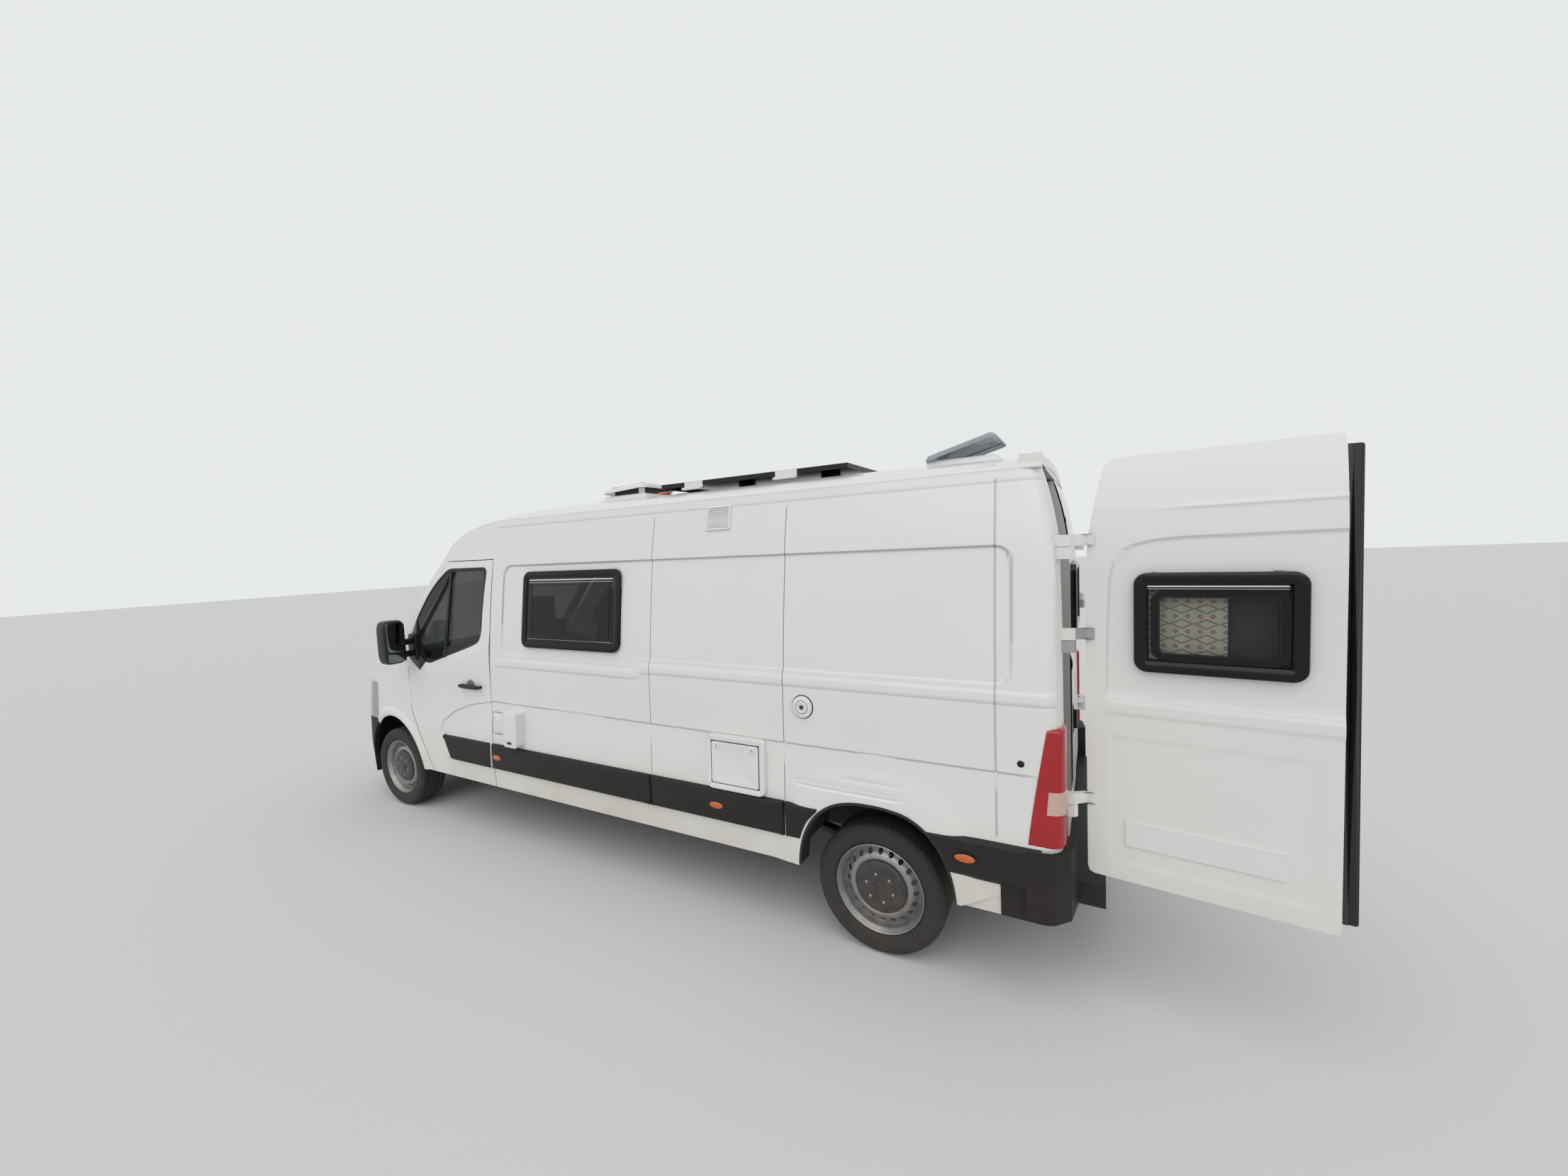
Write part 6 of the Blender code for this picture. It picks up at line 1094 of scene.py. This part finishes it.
split = add("SeparateXYZ", {0: add("UVMap", {}, uv_map="cloth")[0]})
tooth = maths("PINGPONG", split[0], 0.040)
row = maths("PINGPONG", maths("ADD", split[1], 0.012), 0.030)
wave = maths("SUBTRACT", row, maths("MULTIPLY_ADD", tooth, 0.5, 0.012))
gem = maths("ADD", maths("ABSOLUTE", maths("SUBTRACT", tooth, 0.020)), row)
last = (0.62, 0.60, 0.52, 1)
for value, half, colour in ((wave, 0.0034, (0.30, 0.31, 0.24, 1)),
                            (maths("SUBTRACT", gem, 0.007), 0.0028, (0.36, 0.15, 0.11, 1)),
                            (maths("SUBTRACT", row, 0.0315), 0.0014, (0.34, 0.30, 0.24, 1))):
    share = maths("LESS_THAN", maths("ABSOLUTE", value), half)
    last = add("Mix", {"Factor": share, "A": last, "B": colour}, data_type="RGBA")["Result"]
tree.links.new(last, tree.nodes["Principled BSDF"].inputs["Base Color"])
tree.nodes["Principled BSDF"].inputs["Roughness"].default_value = 0.9
for side, tag in ((1, "left"), (-1, "right")):
    folds = np.linspace(0.335, 0.600, 60)
    heights = np.linspace(1.535, 1.880, 12)
    y, z = np.meshgrid(folds, heights, indexing="ij")
    waves = 0.0035 * np.sin((y - 0.335) * 70) * (1 - 0.7 * ease((z - 1.75) / 0.13))
    x = rear_x(z) + 0.014 + waves
    grid, shift = np.stack([x + SHIFT, side * y, z], -1), np.array([0.0012, 0, 0])
    if side > 0:
        grid, shift = swung(grid), SWING_MATRIX @ shift
    piece = doubled("rear_curtain_" + tag, grid, shift, curtain_look, 60.0, "rear_door_" + tag)
    corners = np.zeros(3 * len(piece.data.vertices))
    piece.data.vertices.foreach_get("co", corners)
    corners = corners.reshape(-1, 3)
    if side > 0:
        corners = HINGE + (corners - HINGE) @ SWING_MATRIX
    loops = np.zeros(len(piece.data.loops), int)
    piece.data.loops.foreach_get("vertex_index", loops)
    flat = np.stack([np.abs(corners[loops, 1]), corners[loops, 2]], -1)
    piece.data.uv_layers.new(name="cloth").data.foreach_set("uv", flat.ravel())
print("curtains done")

# %% Tail lamps, corner cover, door opening
for side, tag in ((1, "left"), (-1, "right")):
    rows = np.concatenate([np.linspace(0, 0.04, 5), np.linspace(0.06, 0.94, 24), np.linspace(0.96, 1, 5)])
    turn = np.linspace(0, 0.5 * math.pi, 24)
    height, turn = np.meshgrid(rows, turn, indexing="ij")
    end = np.clip(np.minimum(height, 1 - height) / 0.03, 0, 1)
    pull = 0.010 * (1 - np.sqrt(1 - (1 - end) ** 2))
    z = 0.752 + (1.258 - 0.752) * height
    front = -5.040 - 0.078 * height ** 1.15
    wide = side_y(front, z) + 0.0065 - pull
    x = front - (5.1865 - pull + front) * np.sin(turn) ** 0.42
    y = 0.886 + (wide - 0.886) * np.cos(turn) ** 0.42
    grid = np.stack([x + SHIFT, side * y, z], -1)
    inner = np.stack([front[:, :1] + SHIFT, side * np.full_like(front[:, :1], 0.886), z[:, :1]], -1)
    loop = np.concatenate([grid, inner], 1)
    ends = [np.repeat(loop[k].mean(0)[None, None], loop.shape[1], 1) for k in (0, -1)]
    loop = np.concatenate([ends[0], loop, ends[1]])
    lens = build("lamp_lens_" + tag, loop, lattice(loop.shape[0], loop.shape[1], False, True), lens_red, 45.0,
                 "van")
    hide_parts("tail_lamp_" + tag)
    pale = (z > 0.880) & (z < 1.012)
    picked = np.nonzero(pale.any(1))[0]
    part = grid[picked[0]:picked[-1] + 1, 2:]
    out = np.array([-0.0006, side * 0.0006, 0])
    doubled("lamp_pale_" + tag, part + out, -4 * out, lens_pale, 45.0, "van")
    dark = [(-5.1530, 0.4130), (-4.9250, 0.4130), (-4.9250, 0.5550), (-5.1530, 0.5550)]

    def cover(x, z, side=side):
        """Dark corner under the strip, a little proud of the paint."""
        return facing(x, side_y(x, z) + 0.0075, z, side)
    piece = shell("corner_cover_" + tag, ticks(-5.1530, -4.9250, 0.01, []), ticks(0.413, 0.555, 0.02, []),
                  cover, dark, moulding, thick=0.004, flip=side > 0)
    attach(piece, "van")
jamb = np.array([(0.822, 0.568), (0.822, 2.020), (0.748, 2.376)])
opening = np.concatenate([jamb, (jamb * [-1, 1])[::-1]])


def inside_rear(y, z, lift):
    """Place for ring(): the plane just ahead of the closed rear doors."""
    return np.stack([rear_x(z) - lift + SHIFT, y, z], -1)


LINING_X, LINING_Z = (-5.060, -3.000), (0.866, 2.240)
ring("opening_seal", opening, [(0.0, -0.066), (0.004, -0.064), (0.018, -0.064), (0.020, -0.070),
     (0.014, -0.084), (0.0, -0.084)], inside_rear, seal, angle=60.0)
for side, tag in ((1, "left"), (-1, "right")):
    low_y, high_y = sorted((side * 0.806, side * 0.816))
    corners = [(x + SHIFT, y, z) for x in LINING_X for y in (low_y, high_y) for z in LINING_Z]
    build("wood_lining_" + tag, corners, [[0, 1, 3, 2], [4, 6, 7, 5], [0, 4, 5, 1], [2, 3, 7, 6],
                                          [0, 2, 6, 4], [1, 5, 7, 3]], wood, 30.0, "van")
print("rear end done")

# %% [markdown]
# ## The cab
# Cab doors, front wings and mirrors. The doors are pressed like the sides, with a raised edge that
# sweeps up behind the rubbing strip. The same surface function is used, with other features in it.

# %% Cab door skins
door_edge = [(-1.3945, 0.4130), (-0.6130, 0.4130), (-0.3330, 0.9010), (-0.3330, 1.4790), (-0.8310, 2.0820),
             (-1.3945, 2.0820)]
glass_edge = soften([(-1.290, 1.490), (-1.170, 1.446), (-0.640, 1.294), (-0.573, 1.300), (-0.484, 1.228),
                     (-0.350, 1.310), (-0.350, 1.462), (-0.451, 1.650), (-0.597, 1.835), (-0.711, 1.938),
                     (-0.845, 2.030), (-1.328, 2.030), (-1.302, 1.740)],
                    [0.12, 0.05, 0.012, 0.012, 0.006, 0.01, 0.05, 0.06, 0.06, 0.05, 0.05, 0.05, 0.10])
cad_glass = np.array([(-1.312, 1.500), (-0.381, 1.320), (-0.381, 1.4545), (-0.8725, 2.0255),
                      (-1.312, 2.0255)])
SWEEP_X = np.array([0.725, 0.802, 0.941, 1.138, 1.354, 1.400])
SWEEP_Z = np.array([0.742, 0.855, 0.935, 1.002, 1.040, 1.046])


def cab_surface(side):
    """Cab door: side surface with the swept edge over the strip and a soft waist crease."""
    def surface(x, z):
        y = side_y(x, z) + SKIN_LIFT
        sweep = np.interp(-x, SWEEP_X, SWEEP_Z)
        under = ease((sweep - z) / 0.010) * ease((-x - 0.72) / 0.04) * (1 - ease((sweep - z - 0.02) / 0.24))
        y = y - 0.0050 * under
        away = -inside(np.stack([x, z], -1), glass_edge)
        slope = ease(away / 0.058) * (1 - ease((away - 0.058) / 0.30)) * (1 - ease((z - 1.42) / 0.16))
        y = y + 0.0090 * slope
        cup = np.hypot(x + 1.160, z - 1.143)
        y = y - 0.0034 * (1 - ease((cup - 0.030) / 0.026))
        # Painted shade under the swept edge, and in the upper part of the handle cup.
        grime = 0.60 * np.clip(1 - np.abs(z - sweep + 0.004) / 0.006, 0, 1) * ease((-x - 0.72) / 0.04)
        grime = grime + 0.75 * (1 - ease((cup - 0.046) / 0.010)) * ease((z - 1.135) / 0.02)
        return facing(x, y, z, side, grime)
    return surface


def frit_surface(side):
    """Black printed border of the glass, 1.2 mm over the side surface."""
    def surface(x, z):
        return facing(x, side_y(x, z) + 0.0014, z, side)
    return surface


xc = ticks(-1.3945, -0.3330, 0.012, [])
zc = ticks(0.4130, 2.0820, 0.018, [(0.90, 0.16, 0.004), (1.143, 0.06, 0.006)])
strip_edge = soften([(-1.3945, 0.556), (-0.885, 0.556), (-0.800, 0.735), (-0.800, 0.741), (-1.3945, 0.741)],
                    0.03)
handle = circle(-1.172, 1.145, 0.128, 39, high=0.018, power=0.6)
for side, tag in ((1, "left"), (-1, "right")):
    body = "cab_door_" + tag
    place = on_side(side)
    skin = shell("cab_skin_" + tag, xc, zc, cab_surface(side), door_edge, paint,
                 holes=(glass_edge,), flip=side > 0)
    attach(skin, body)
    ring("cab_seal_" + tag, glass_edge, [(-0.004, 0.0036), (-0.003, 0.0056), (0.004, 0.0060), (0.010,
         0.0040), (0.011, 0.0014), (-0.002, 0.0014)], place, satin_black, body, angle=60.0)
    frit = shell("cab_frit_" + tag, ticks(-1.335, -0.345, 0.02, []), ticks(1.22, 2.035, 0.02, []),
                 frit_surface(side), drawn_in(glass_edge, -0.001), gloss_black, thick=0.0012,
                 holes=(drawn_in(cad_glass, 0.016),), flip=side > 0)
    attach(frit, body)
    bar = np.array([(-0.870, 2.000), (-0.893, 2.000), (-0.850, 1.345), (-0.815, 1.335)])
    ring("cab_divider_" + tag, bar, pad(0.0045, 0.0025, -0.010, 0.003), place, satin_black, body)
    sail = soften([(-0.355, 1.315), (-0.355, 1.462), (-0.445, 1.640), (-0.575, 1.300), (-0.484, 1.234)], 0.01)
    ring("cab_sail_" + tag, sail[::-1], pad(0.0085, 0.0060, 0.0005, -0.004), place, satin_black, body)
    ring("cab_strip_" + tag, strip_edge, [(None, 0.0275), (0.026, 0.0275), (0.010, 0.0265), (0.002,
         0.0200), (0.0, 0.0100), (0.0, 0.0036), (None, 0.0036)], place, moulding, body)
    ring("door_pull_" + tag, handle, [(None, 0.0400), (0.010, 0.0395), (0.003, 0.0360), (0.0, 0.0300),
         (0.003, 0.0240), (None, 0.0230)], place, satin_black, body)
    for x in (-1.285, -1.060):
        ring("door_pull_foot_%s_%d" % (tag, round(-x * 1000)), circle(x, 1.145, 0.011, 20),
             sheet(0.0260, 0.0040), place, satin_black, body)
print("cab doors done")

# %% Mirrors
for side, tag in ((1, "left"), (-1, "right")):
    body = "cab_door_" + tag

    def across(points, side=side):
        """Same place on either side of the van."""
        return points * [1, side, 1]
    head = pillow("mirror_head_" + tag, (-0.474, 1.076, 1.300), (-0.330, 1.234, 1.646), 0.38, satin_black,
                  body, rows=36, cols=56, turn=across)
    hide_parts("mirror_" + tag)
    pillow("mirror_foot_" + tag, (-0.475, 0.975, 1.300), (-0.365, 1.018, 1.520), 0.35, satin_black, body,
           turn=across)
    for z in (1.365, 1.462):
        pillow("mirror_arm_%s_%d" % (tag, round(z * 1000)), (-0.455, 1.000, z - 0.024),
               (-0.395, 1.110, z + 0.024), 0.35, satin_black, body, turn=across)
    for name, low, high in (("upper", 1.398, 1.626), ("lower", 1.318, 1.388)):
        pillow("mirror_glass_%s_%s" % (name, tag), (-0.4785, 1.090, low), (-0.4700, 1.220, high), 0.22,
               mirror_look, body, turn=across)
print("mirrors done")

# %% Front wings with a raised arch lip
wing_edge = [(0.2970, 0.4130), (0.2970, 0.7340), (0.5500, 0.7340), (0.5500, 1.0450), (0.4800, 1.0500),
             (0.2970, 1.2240), (0.1200, 1.2780), (-0.3220, 1.2780), (-0.3220, 0.9010), (-0.6010, 0.4130)]
front_arch = circle(-0.005, 0.330, 0.466, 72)


def wing_surface(side):
    """Front wing: the taper of the nose with a lip that swells towards the wheel arch."""
    def surface(x, z):
        away = np.hypot(x + 0.005, z - 0.330) - 0.466
        y = side_y(x, z) + SKIN_LIFT + 0.0150 * (1 - ease((away - 0.040) / 0.045))
        y = y - 0.012 * (1 - ease(away / 0.022)) ** 2
        return facing(x, y, z, side)
    return surface


xw = ticks(-0.6010, 0.5500, 0.012, [])
zw = ticks(0.4130, 1.2780, 0.012, [])
for side, tag in ((1, "left"), (-1, "right")):
    skin = shell("wing_skin_" + tag, xw, zw, wing_surface(side), wing_edge, paint, holes=(front_arch,),
                 flip=side > 0)
    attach(skin, "van")
print("wings done")

# %% [markdown]
# ## The nose, the plate and the handles
# The front of the van is not in the photograph, so it stays simple: lamps with a bowl, a grille of
# bars, wipers, and a blank plate on the left rear door. Bars and wipers are round profiles carried
# along a path that lies on the solid behind; a ray from the front finds that solid.

# %% Rays from the front, and rods along a path


def ray_tree(node):
    """Search tree of a solid's faces, for rays."""
    mesh = nodes[node].data
    return BVHTree.FromPolygons([v.co for v in mesh.vertices], [tuple(p.vertices) for p in mesh.polygons])


def front_of(node, y, z):
    """Where rays along -x meet a solid: x for each pair of y and z."""
    tree = ray_tree(node)
    hits = [tree.ray_cast(Vector((SHIFT + 2.0, a, b)), Vector((-1, 0, 0)))[0] for a, b in zip(y, z)]
    return np.array([hit.x if hit else np.nan for hit in hits])


def top_of(node, x, y):
    """Where rays straight down meet a solid: z for each x at one y."""
    tree = ray_tree(node)
    hits = [tree.ray_cast(Vector((a + SHIFT, y, 4.0)), Vector((0, 0, -1)))[0] for a in x]
    found = np.array([hit.z if hit else np.nan for hit in hits])
    return np.interp(x, x[~np.isnan(found)], found[~np.isnan(found)])


def rod(name, path, wide, high, look, body, sides=12):
    """Oval profile carried along a path: the profile stands across the path and the x axis."""
    path = np.asarray(path, float)
    along = np.gradient(path, axis=0)
    along /= np.linalg.norm(along, axis=1)[:, None]
    out = np.array([1.0, 0, 0]) - along * along[:, :1]
    out /= np.linalg.norm(out, axis=1)[:, None]
    across = np.cross(along, out)
    turn = np.linspace(0, 2 * math.pi, sides, endpoint=False)
    shell_points = (path[:, None] + out[:, None] * (wide * np.cos(turn))[None, :, None]
                    + across[:, None] * (high * np.sin(turn))[None, :, None])
    ends = [np.repeat(path[k][None, None], sides, 1) for k in (0, -1)]
    rows = np.concatenate([ends[0], shell_points, ends[1]])
    return build(name, rows, lattice(len(rows), sides, False, True), look, 50.0, body)


def on_front(node, knots, lift, count=40):
    """Path through (y, z) knots, laid on the front of a solid and lifted forwards."""
    knots = np.asarray(knots, float)
    share = np.linspace(0, 1, count)
    steps = np.linspace(0, 1, len(knots))
    y, z = np.interp(share, steps, knots[:, 0]), np.interp(share, steps, knots[:, 1])
    x = front_of(node, y, z)
    good = ~np.isnan(x)
    for _ in range(3):
        fitted = np.polyval(np.polyfit(share[good], x[good], 2), share)
        good &= np.abs(np.nan_to_num(x) - fitted) < 0.020
    return np.stack([fitted + lift, y, z], -1)


for k, z in enumerate((0.775, 0.835, 0.895, 0.955, 1.010)):
    rod("grille_bar_%d" % k, on_front("grille", [(-0.555, z), (0.555, z)], 0.004), 0.010, 0.009, gloss_black,
        "van")
for side, tag in ((1, "left"), (-1, "right")):
    for k, (y, z, radius) in enumerate(((0.690, 0.900, 0.055), (0.815, 0.930, 0.042))):
        turn, reach = np.meshgrid(np.linspace(0, 2 * math.pi, 40, endpoint=False),
                                  radius * np.linspace(0.03, 1, 6))
        around_y, around_z = side * (y + reach * np.cos(turn)), z + reach * np.sin(turn)
        x = front_of("headlamp_" + tag, around_y.ravel(), around_z.ravel()).reshape(reach.shape)
        x = np.where(np.isnan(x), np.nanmean(x), x)
        rise = 0.004 * ease((reach / radius - 0.55) / 0.25)
        dish = np.stack([x + 0.001 + rise, around_y, around_z], -1)
        under = dish[::-1] - [0.004, 0, 0]
        rows = np.concatenate([dish[:1].mean(1, keepdims=True).repeat(40, 1), dish, under,
                               under[-1:].mean(1, keepdims=True).repeat(40, 1)])
        build("lamp_bowl_%s_%d" % (tag, k), rows, lattice(len(rows), 40, False, True), reflector, 40.0, "van")
    base = [(side * 0.10, 1.305), (side * 0.70, 1.335)] if side > 0 else [(0.02, 1.305), (-0.62, 1.330)]
    rod("wiper_blade_" + tag, on_front("windscreen", base, 0.010), 0.006, 0.009, satin_black, "van")
    foot = base[0][0]
    arm = on_front("windscreen", [(foot + side * 0.05, 1.290), (foot + side * 0.33, 1.320)], 0.020)
    rod("wiper_arm_" + tag, arm, 0.006, 0.008, satin_black, "van")
    along_x, round_off = np.linspace(0.0600, 0.7350, 70), np.linspace(0, 0.5 * math.pi, 15)
    crown = top_of("bonnet", np.clip(along_x, 0.3350, 0.7200), side * 0.772)
    crown = crown + 0.15 * np.clip(0.3350 - along_x, 0, None)
    foot = np.interp(along_x, [0.1200, 0.2970, 0.4800, 0.5500], [1.2770, 1.2230, 1.0490, 1.0450])
    outer = side_y(along_x, foot) + SKIN_LIFT
    across_y = np.sin(round_off) ** 0.7
    nose_x = front_of("headlamp_" + tag, side * (0.7860 + 0.0600 * across_y), 0 * across_y + 1.0300) - SHIFT
    x = 0.0600 + (nose_x - 0.0600) * np.linspace(0, 1, 70)[:, None]
    foot, crown, outer = [np.interp(x, along_x, line) for line in (foot, crown, outer)]
    y = 0.7860 + (outer - 0.7860) * across_y
    z = foot + (np.maximum(crown, foot + 0.004) - foot) * np.cos(round_off) ** 0.7
    grid = np.stack([x + SHIFT, side * y, z], -1)
    doubled("wing_top_" + tag, grid, np.array([0, -0.001 * side, -0.003]), paint, 50.0, "van")
print("nose done")

# %% Plate, handles, sliding door rail
ring("plate", round_box(0.155, 0.675, 0.745, 0.855, 0.006), pad(0.0070, 0.0062, 0.0008, 0.001),
     on_rear(1), white_plastic, "rear_door_left")
ring("plate_rim", round_box(0.160, 0.670, 0.750, 0.850, 0.004), edging(0.0070, 0.0076, 0.002),
     on_rear(1), white_plastic, "rear_door_left")
for tag, low, high in (("cup", 0.9300, 1.0900), ("pull", 0.9550, 1.0650)):
    deep = 0.008 if tag == "cup" else 0.026
    half = 0.030 if tag == "cup" else 0.014
    ring("rear_handle_" + tag, round_box(0.062 - half, 0.062 + half, low, high, 0.45 * half), pad(deep,
         deep - 0.004, 0.001, 0.004), on_rear(-1), satin_black, "rear_door_right")
rail_place = on_side(-1)
ring("slide_rail", round_box(-4.250, -2.830, 1.182, 1.200, 0.006), pad(0.0052, 0.0045, 0.0030, 0.003),
     rail_place, satin_black)
ring("slide_cup", round_box(-1.640, -1.480, 1.090, 1.200, 0.030), pad(0.0052, 0.0045, 0.0030, 0.004),
     rail_place, satin_black)
ring("slide_pull", round_box(-1.700, -1.470, 1.128, 1.164, 0.015), [(None, 0.0390), (0.008, 0.0385),
     (0.002, 0.0350), (0.0, 0.0290), (0.002, 0.0230), (None, 0.0220)], rail_place, satin_black)
for x in (-1.660, -1.510):
    ring("slide_foot_%d" % round(-x * 1000), circle(x, 1.146, 0.010, 20), sheet(0.0260, 0.0040),
         rail_place, satin_black)
print("handles done")

# %% [markdown]
# ## On the roof
# A flat solar panel on brackets, a fan with a raised lid, and a hinged skylight that stands open.
# The panel is a frame around cells; the lids are shallow pressings, so their surfaces are functions
# of two parameters as the sides are.

# %% Flat pieces in plan


def flat_on(x, y, lift):
    """Place for ring(): x and y in plan, lifted upwards."""
    return np.stack([x + SHIFT, y, lift + 0 * x], -1)


def slab(name, x0, x1, y0, y1, low, high, radius, look, body, edge=0.002):
    """Flat plate with rounded corners and a small chamfer, in plan."""
    return ring(name, round_box(x0, x1, y0, y1, radius), [(None, low), (edge, low), (0.0, low + edge),
                (0.0, high - edge), (edge, high), (None, high)], flat_on, look, body)


# %% Solar panel
LOW, TOP = 2.512, 2.542
frame_strip = ring("solar_frame", round_box(-4.060, -2.680, -0.170, 0.490, 0.004), [(0.0, LOW), (0.0,
                   TOP - 0.001), (0.001, TOP), (0.010, TOP), (0.010, TOP - 0.004), (0.003, TOP - 0.006),
                   (0.003, LOW)], flat_on, satin_black)
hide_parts("solar_panel")
slab("solar_back", -4.055, -2.685, -0.165, 0.485, TOP - 0.012, TOP - 0.007, 0.004, gloss_black, "van", 0.001)
columns, rows = 10, 4
cells_x = np.linspace(-4.040, -2.700, columns + 1)
cells_y = np.linspace(-0.150, 0.470, rows + 1)
for i in range(columns):
    for j in range(rows):
        slab("solar_cell_%d_%d" % (i, j), cells_x[i] + 0.002, cells_x[i + 1] - 0.002, cells_y[j] + 0.002,
             cells_y[j + 1] - 0.002, TOP - 0.0068, TOP - 0.0058, 0.010, cell_blue, "van", 0.0003)
slab("solar_glass", -4.0495, -2.6905, -0.1595, 0.4795, TOP - 0.0050, TOP - 0.0030, 0.002, lens_clear, "van",
     0.0005)
for x in (-2.960, -3.660):
    for y0, y1 in ((0.4915, 0.5300), (-0.2100, -0.1715)):
        slab("bracket_foot_%d_%d" % (round(-x * 1000), round(y0 * 1000 + 500)), x - 0.075, x + 0.075, y0, y1,
             2.4935 if y0 < 0 else 2.4860, 2.5010, 0.004, white_plastic, "van")
        near = y0 if y0 > 0 else y1
        slab("bracket_wall_%d_%d" % (round(-x * 1000), round(y0 * 1000 + 500)), x - 0.075, x + 0.075,
             min(near, near + math.copysign(0.005, y0)), max(near, near + math.copysign(0.005, y0)),
             2.4935, 2.5400, 0.002, white_plastic, "van", 0.001)
for x0, x1, y in ((-3.020, -2.820, 0.455), (-2.700, -2.560, 0.395)):
    pillow("cable_%d" % round(-x0 * 1000), (x0, y - 0.006, 2.4950), (x1, y + 0.006, 2.5070), 0.6,
           lens_orange, "van", rows=14, cols=16)
print("solar panel", columns * rows, "cells")

# %% Fan with a raised lid
X0, X1, Y0, Y1 = -2.420, -1.950, -0.070, 0.370
skirt = ring("fan_skirt", round_box(X0, X1, Y0, Y1, 0.045), [(None, 2.486), (0.0, 2.486), (0.0, 2.497),
             (0.018, 2.502), (0.034, 2.525), (0.046, 2.529), (None, 2.529)], flat_on, white_plastic)
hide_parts("roof_vent")
slab("fan_throat", X0 + 0.062, X1 - 0.062, Y0 + 0.062, Y1 - 0.062, 2.528, 2.566, 0.03, satin_black, "van")
for k, (x, y) in enumerate(((X0 + 0.09, Y0 + 0.07), (X1 - 0.09, Y0 + 0.07), (X0 + 0.09, Y1 - 0.07),
                            (X1 - 0.09, Y1 - 0.07))):
    slab("fan_post_%d" % k, x - 0.024, x + 0.024, y - 0.012, y + 0.012, 2.528, 2.572, 0.006, white_plastic,
         "van")


def lid_place(x, y, lift):
    """The lid's plane drops 22 mm towards the front."""
    slope = 0.022 * ease((x - X0 - 0.25) / 0.20)
    return np.stack([x + SHIFT, y, lift - slope], -1)


ring("fan_lid", round_box(X0 + 0.018, X1 - 0.018, Y0 + 0.018, Y1 - 0.018, 0.050), [(None, 2.574),
     (0.006, 2.574), (0.0, 2.568), (0.0, 2.582), (0.006, 2.592), (0.040, 2.606), (0.075, 2.613), (None,
     2.6145)], lid_place, white_plastic)
ring("fan_lid_panel", round_box(X0 + 0.105, X1 - 0.105, Y0 + 0.105, Y1 - 0.105, 0.03), edging(2.6130,
     2.6155, 0.005), lid_place, white_plastic)
print("fan done")

# %% Skylight: frame, and the clear lid swung 15 degrees
base = ring("skylight_base", round_box(-4.850, -4.420, -0.225, 0.225, 0.035), [(0.0, 2.486), (0.0,
            2.500), (0.012, 2.506), (0.022, 2.530), (0.032, 2.536), (0.040, 2.530), (0.045, 2.486)],
            flat_on, white_plastic)
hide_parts("hatch_frame")
slab("skylight_screen", -4.810, -4.462, -0.185, 0.185, 2.500, 2.504, 0.01, satin_black, "van")
TILT = math.radians(15.0)
PIVOT = np.array([-4.430, 2.5265])


def on_lid(x, y, lift):
    """Lid plane: x measured back from the hinge line, turned up by the opening angle."""
    return np.stack([PIVOT[0] + x * math.cos(TILT) + lift * math.sin(TILT) + SHIFT, y,
                     PIVOT[1] - x * math.sin(TILT) + lift * math.cos(TILT)], -1)


lid = ring("skylight_lid", round_box(-0.410, -0.004, -0.228, 0.228, 0.040), [(0.0, 0.000), (0.0,
           0.012), (0.010, 0.024), (0.040, 0.030), (None, 0.034), (None, 0.031), (0.040, 0.027), (0.012,
           0.021), (0.003, 0.011), (0.003, 0.000)], on_lid, hatch_clear, "hatch_lid")
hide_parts("hatch_lid")
for k, y in enumerate(np.linspace(-0.165, 0.165, 7)):
    ring("skylight_rib_%d" % k, round_box(-0.372, -0.042, y - 0.0060, y + 0.0060, 0.005), [(None,
         0.0285), (0.0, 0.0285), (0.0, 0.0335), (0.002, 0.0365), (None, 0.0370)], on_lid, rib_grey,
         "hatch_lid")
for y in (-0.205, 0.205):
    ring("skylight_edge_%d" % round(y * 1000 + 500), round_box(-0.392, -0.022, y - 0.009, y + 0.009,
         0.006), [(None, 0.020), (0.0, 0.020), (0.0, 0.026), (0.003, 0.0300), (None, 0.0305)], on_lid,
         rib_grey, "hatch_lid")
print("skylight done")
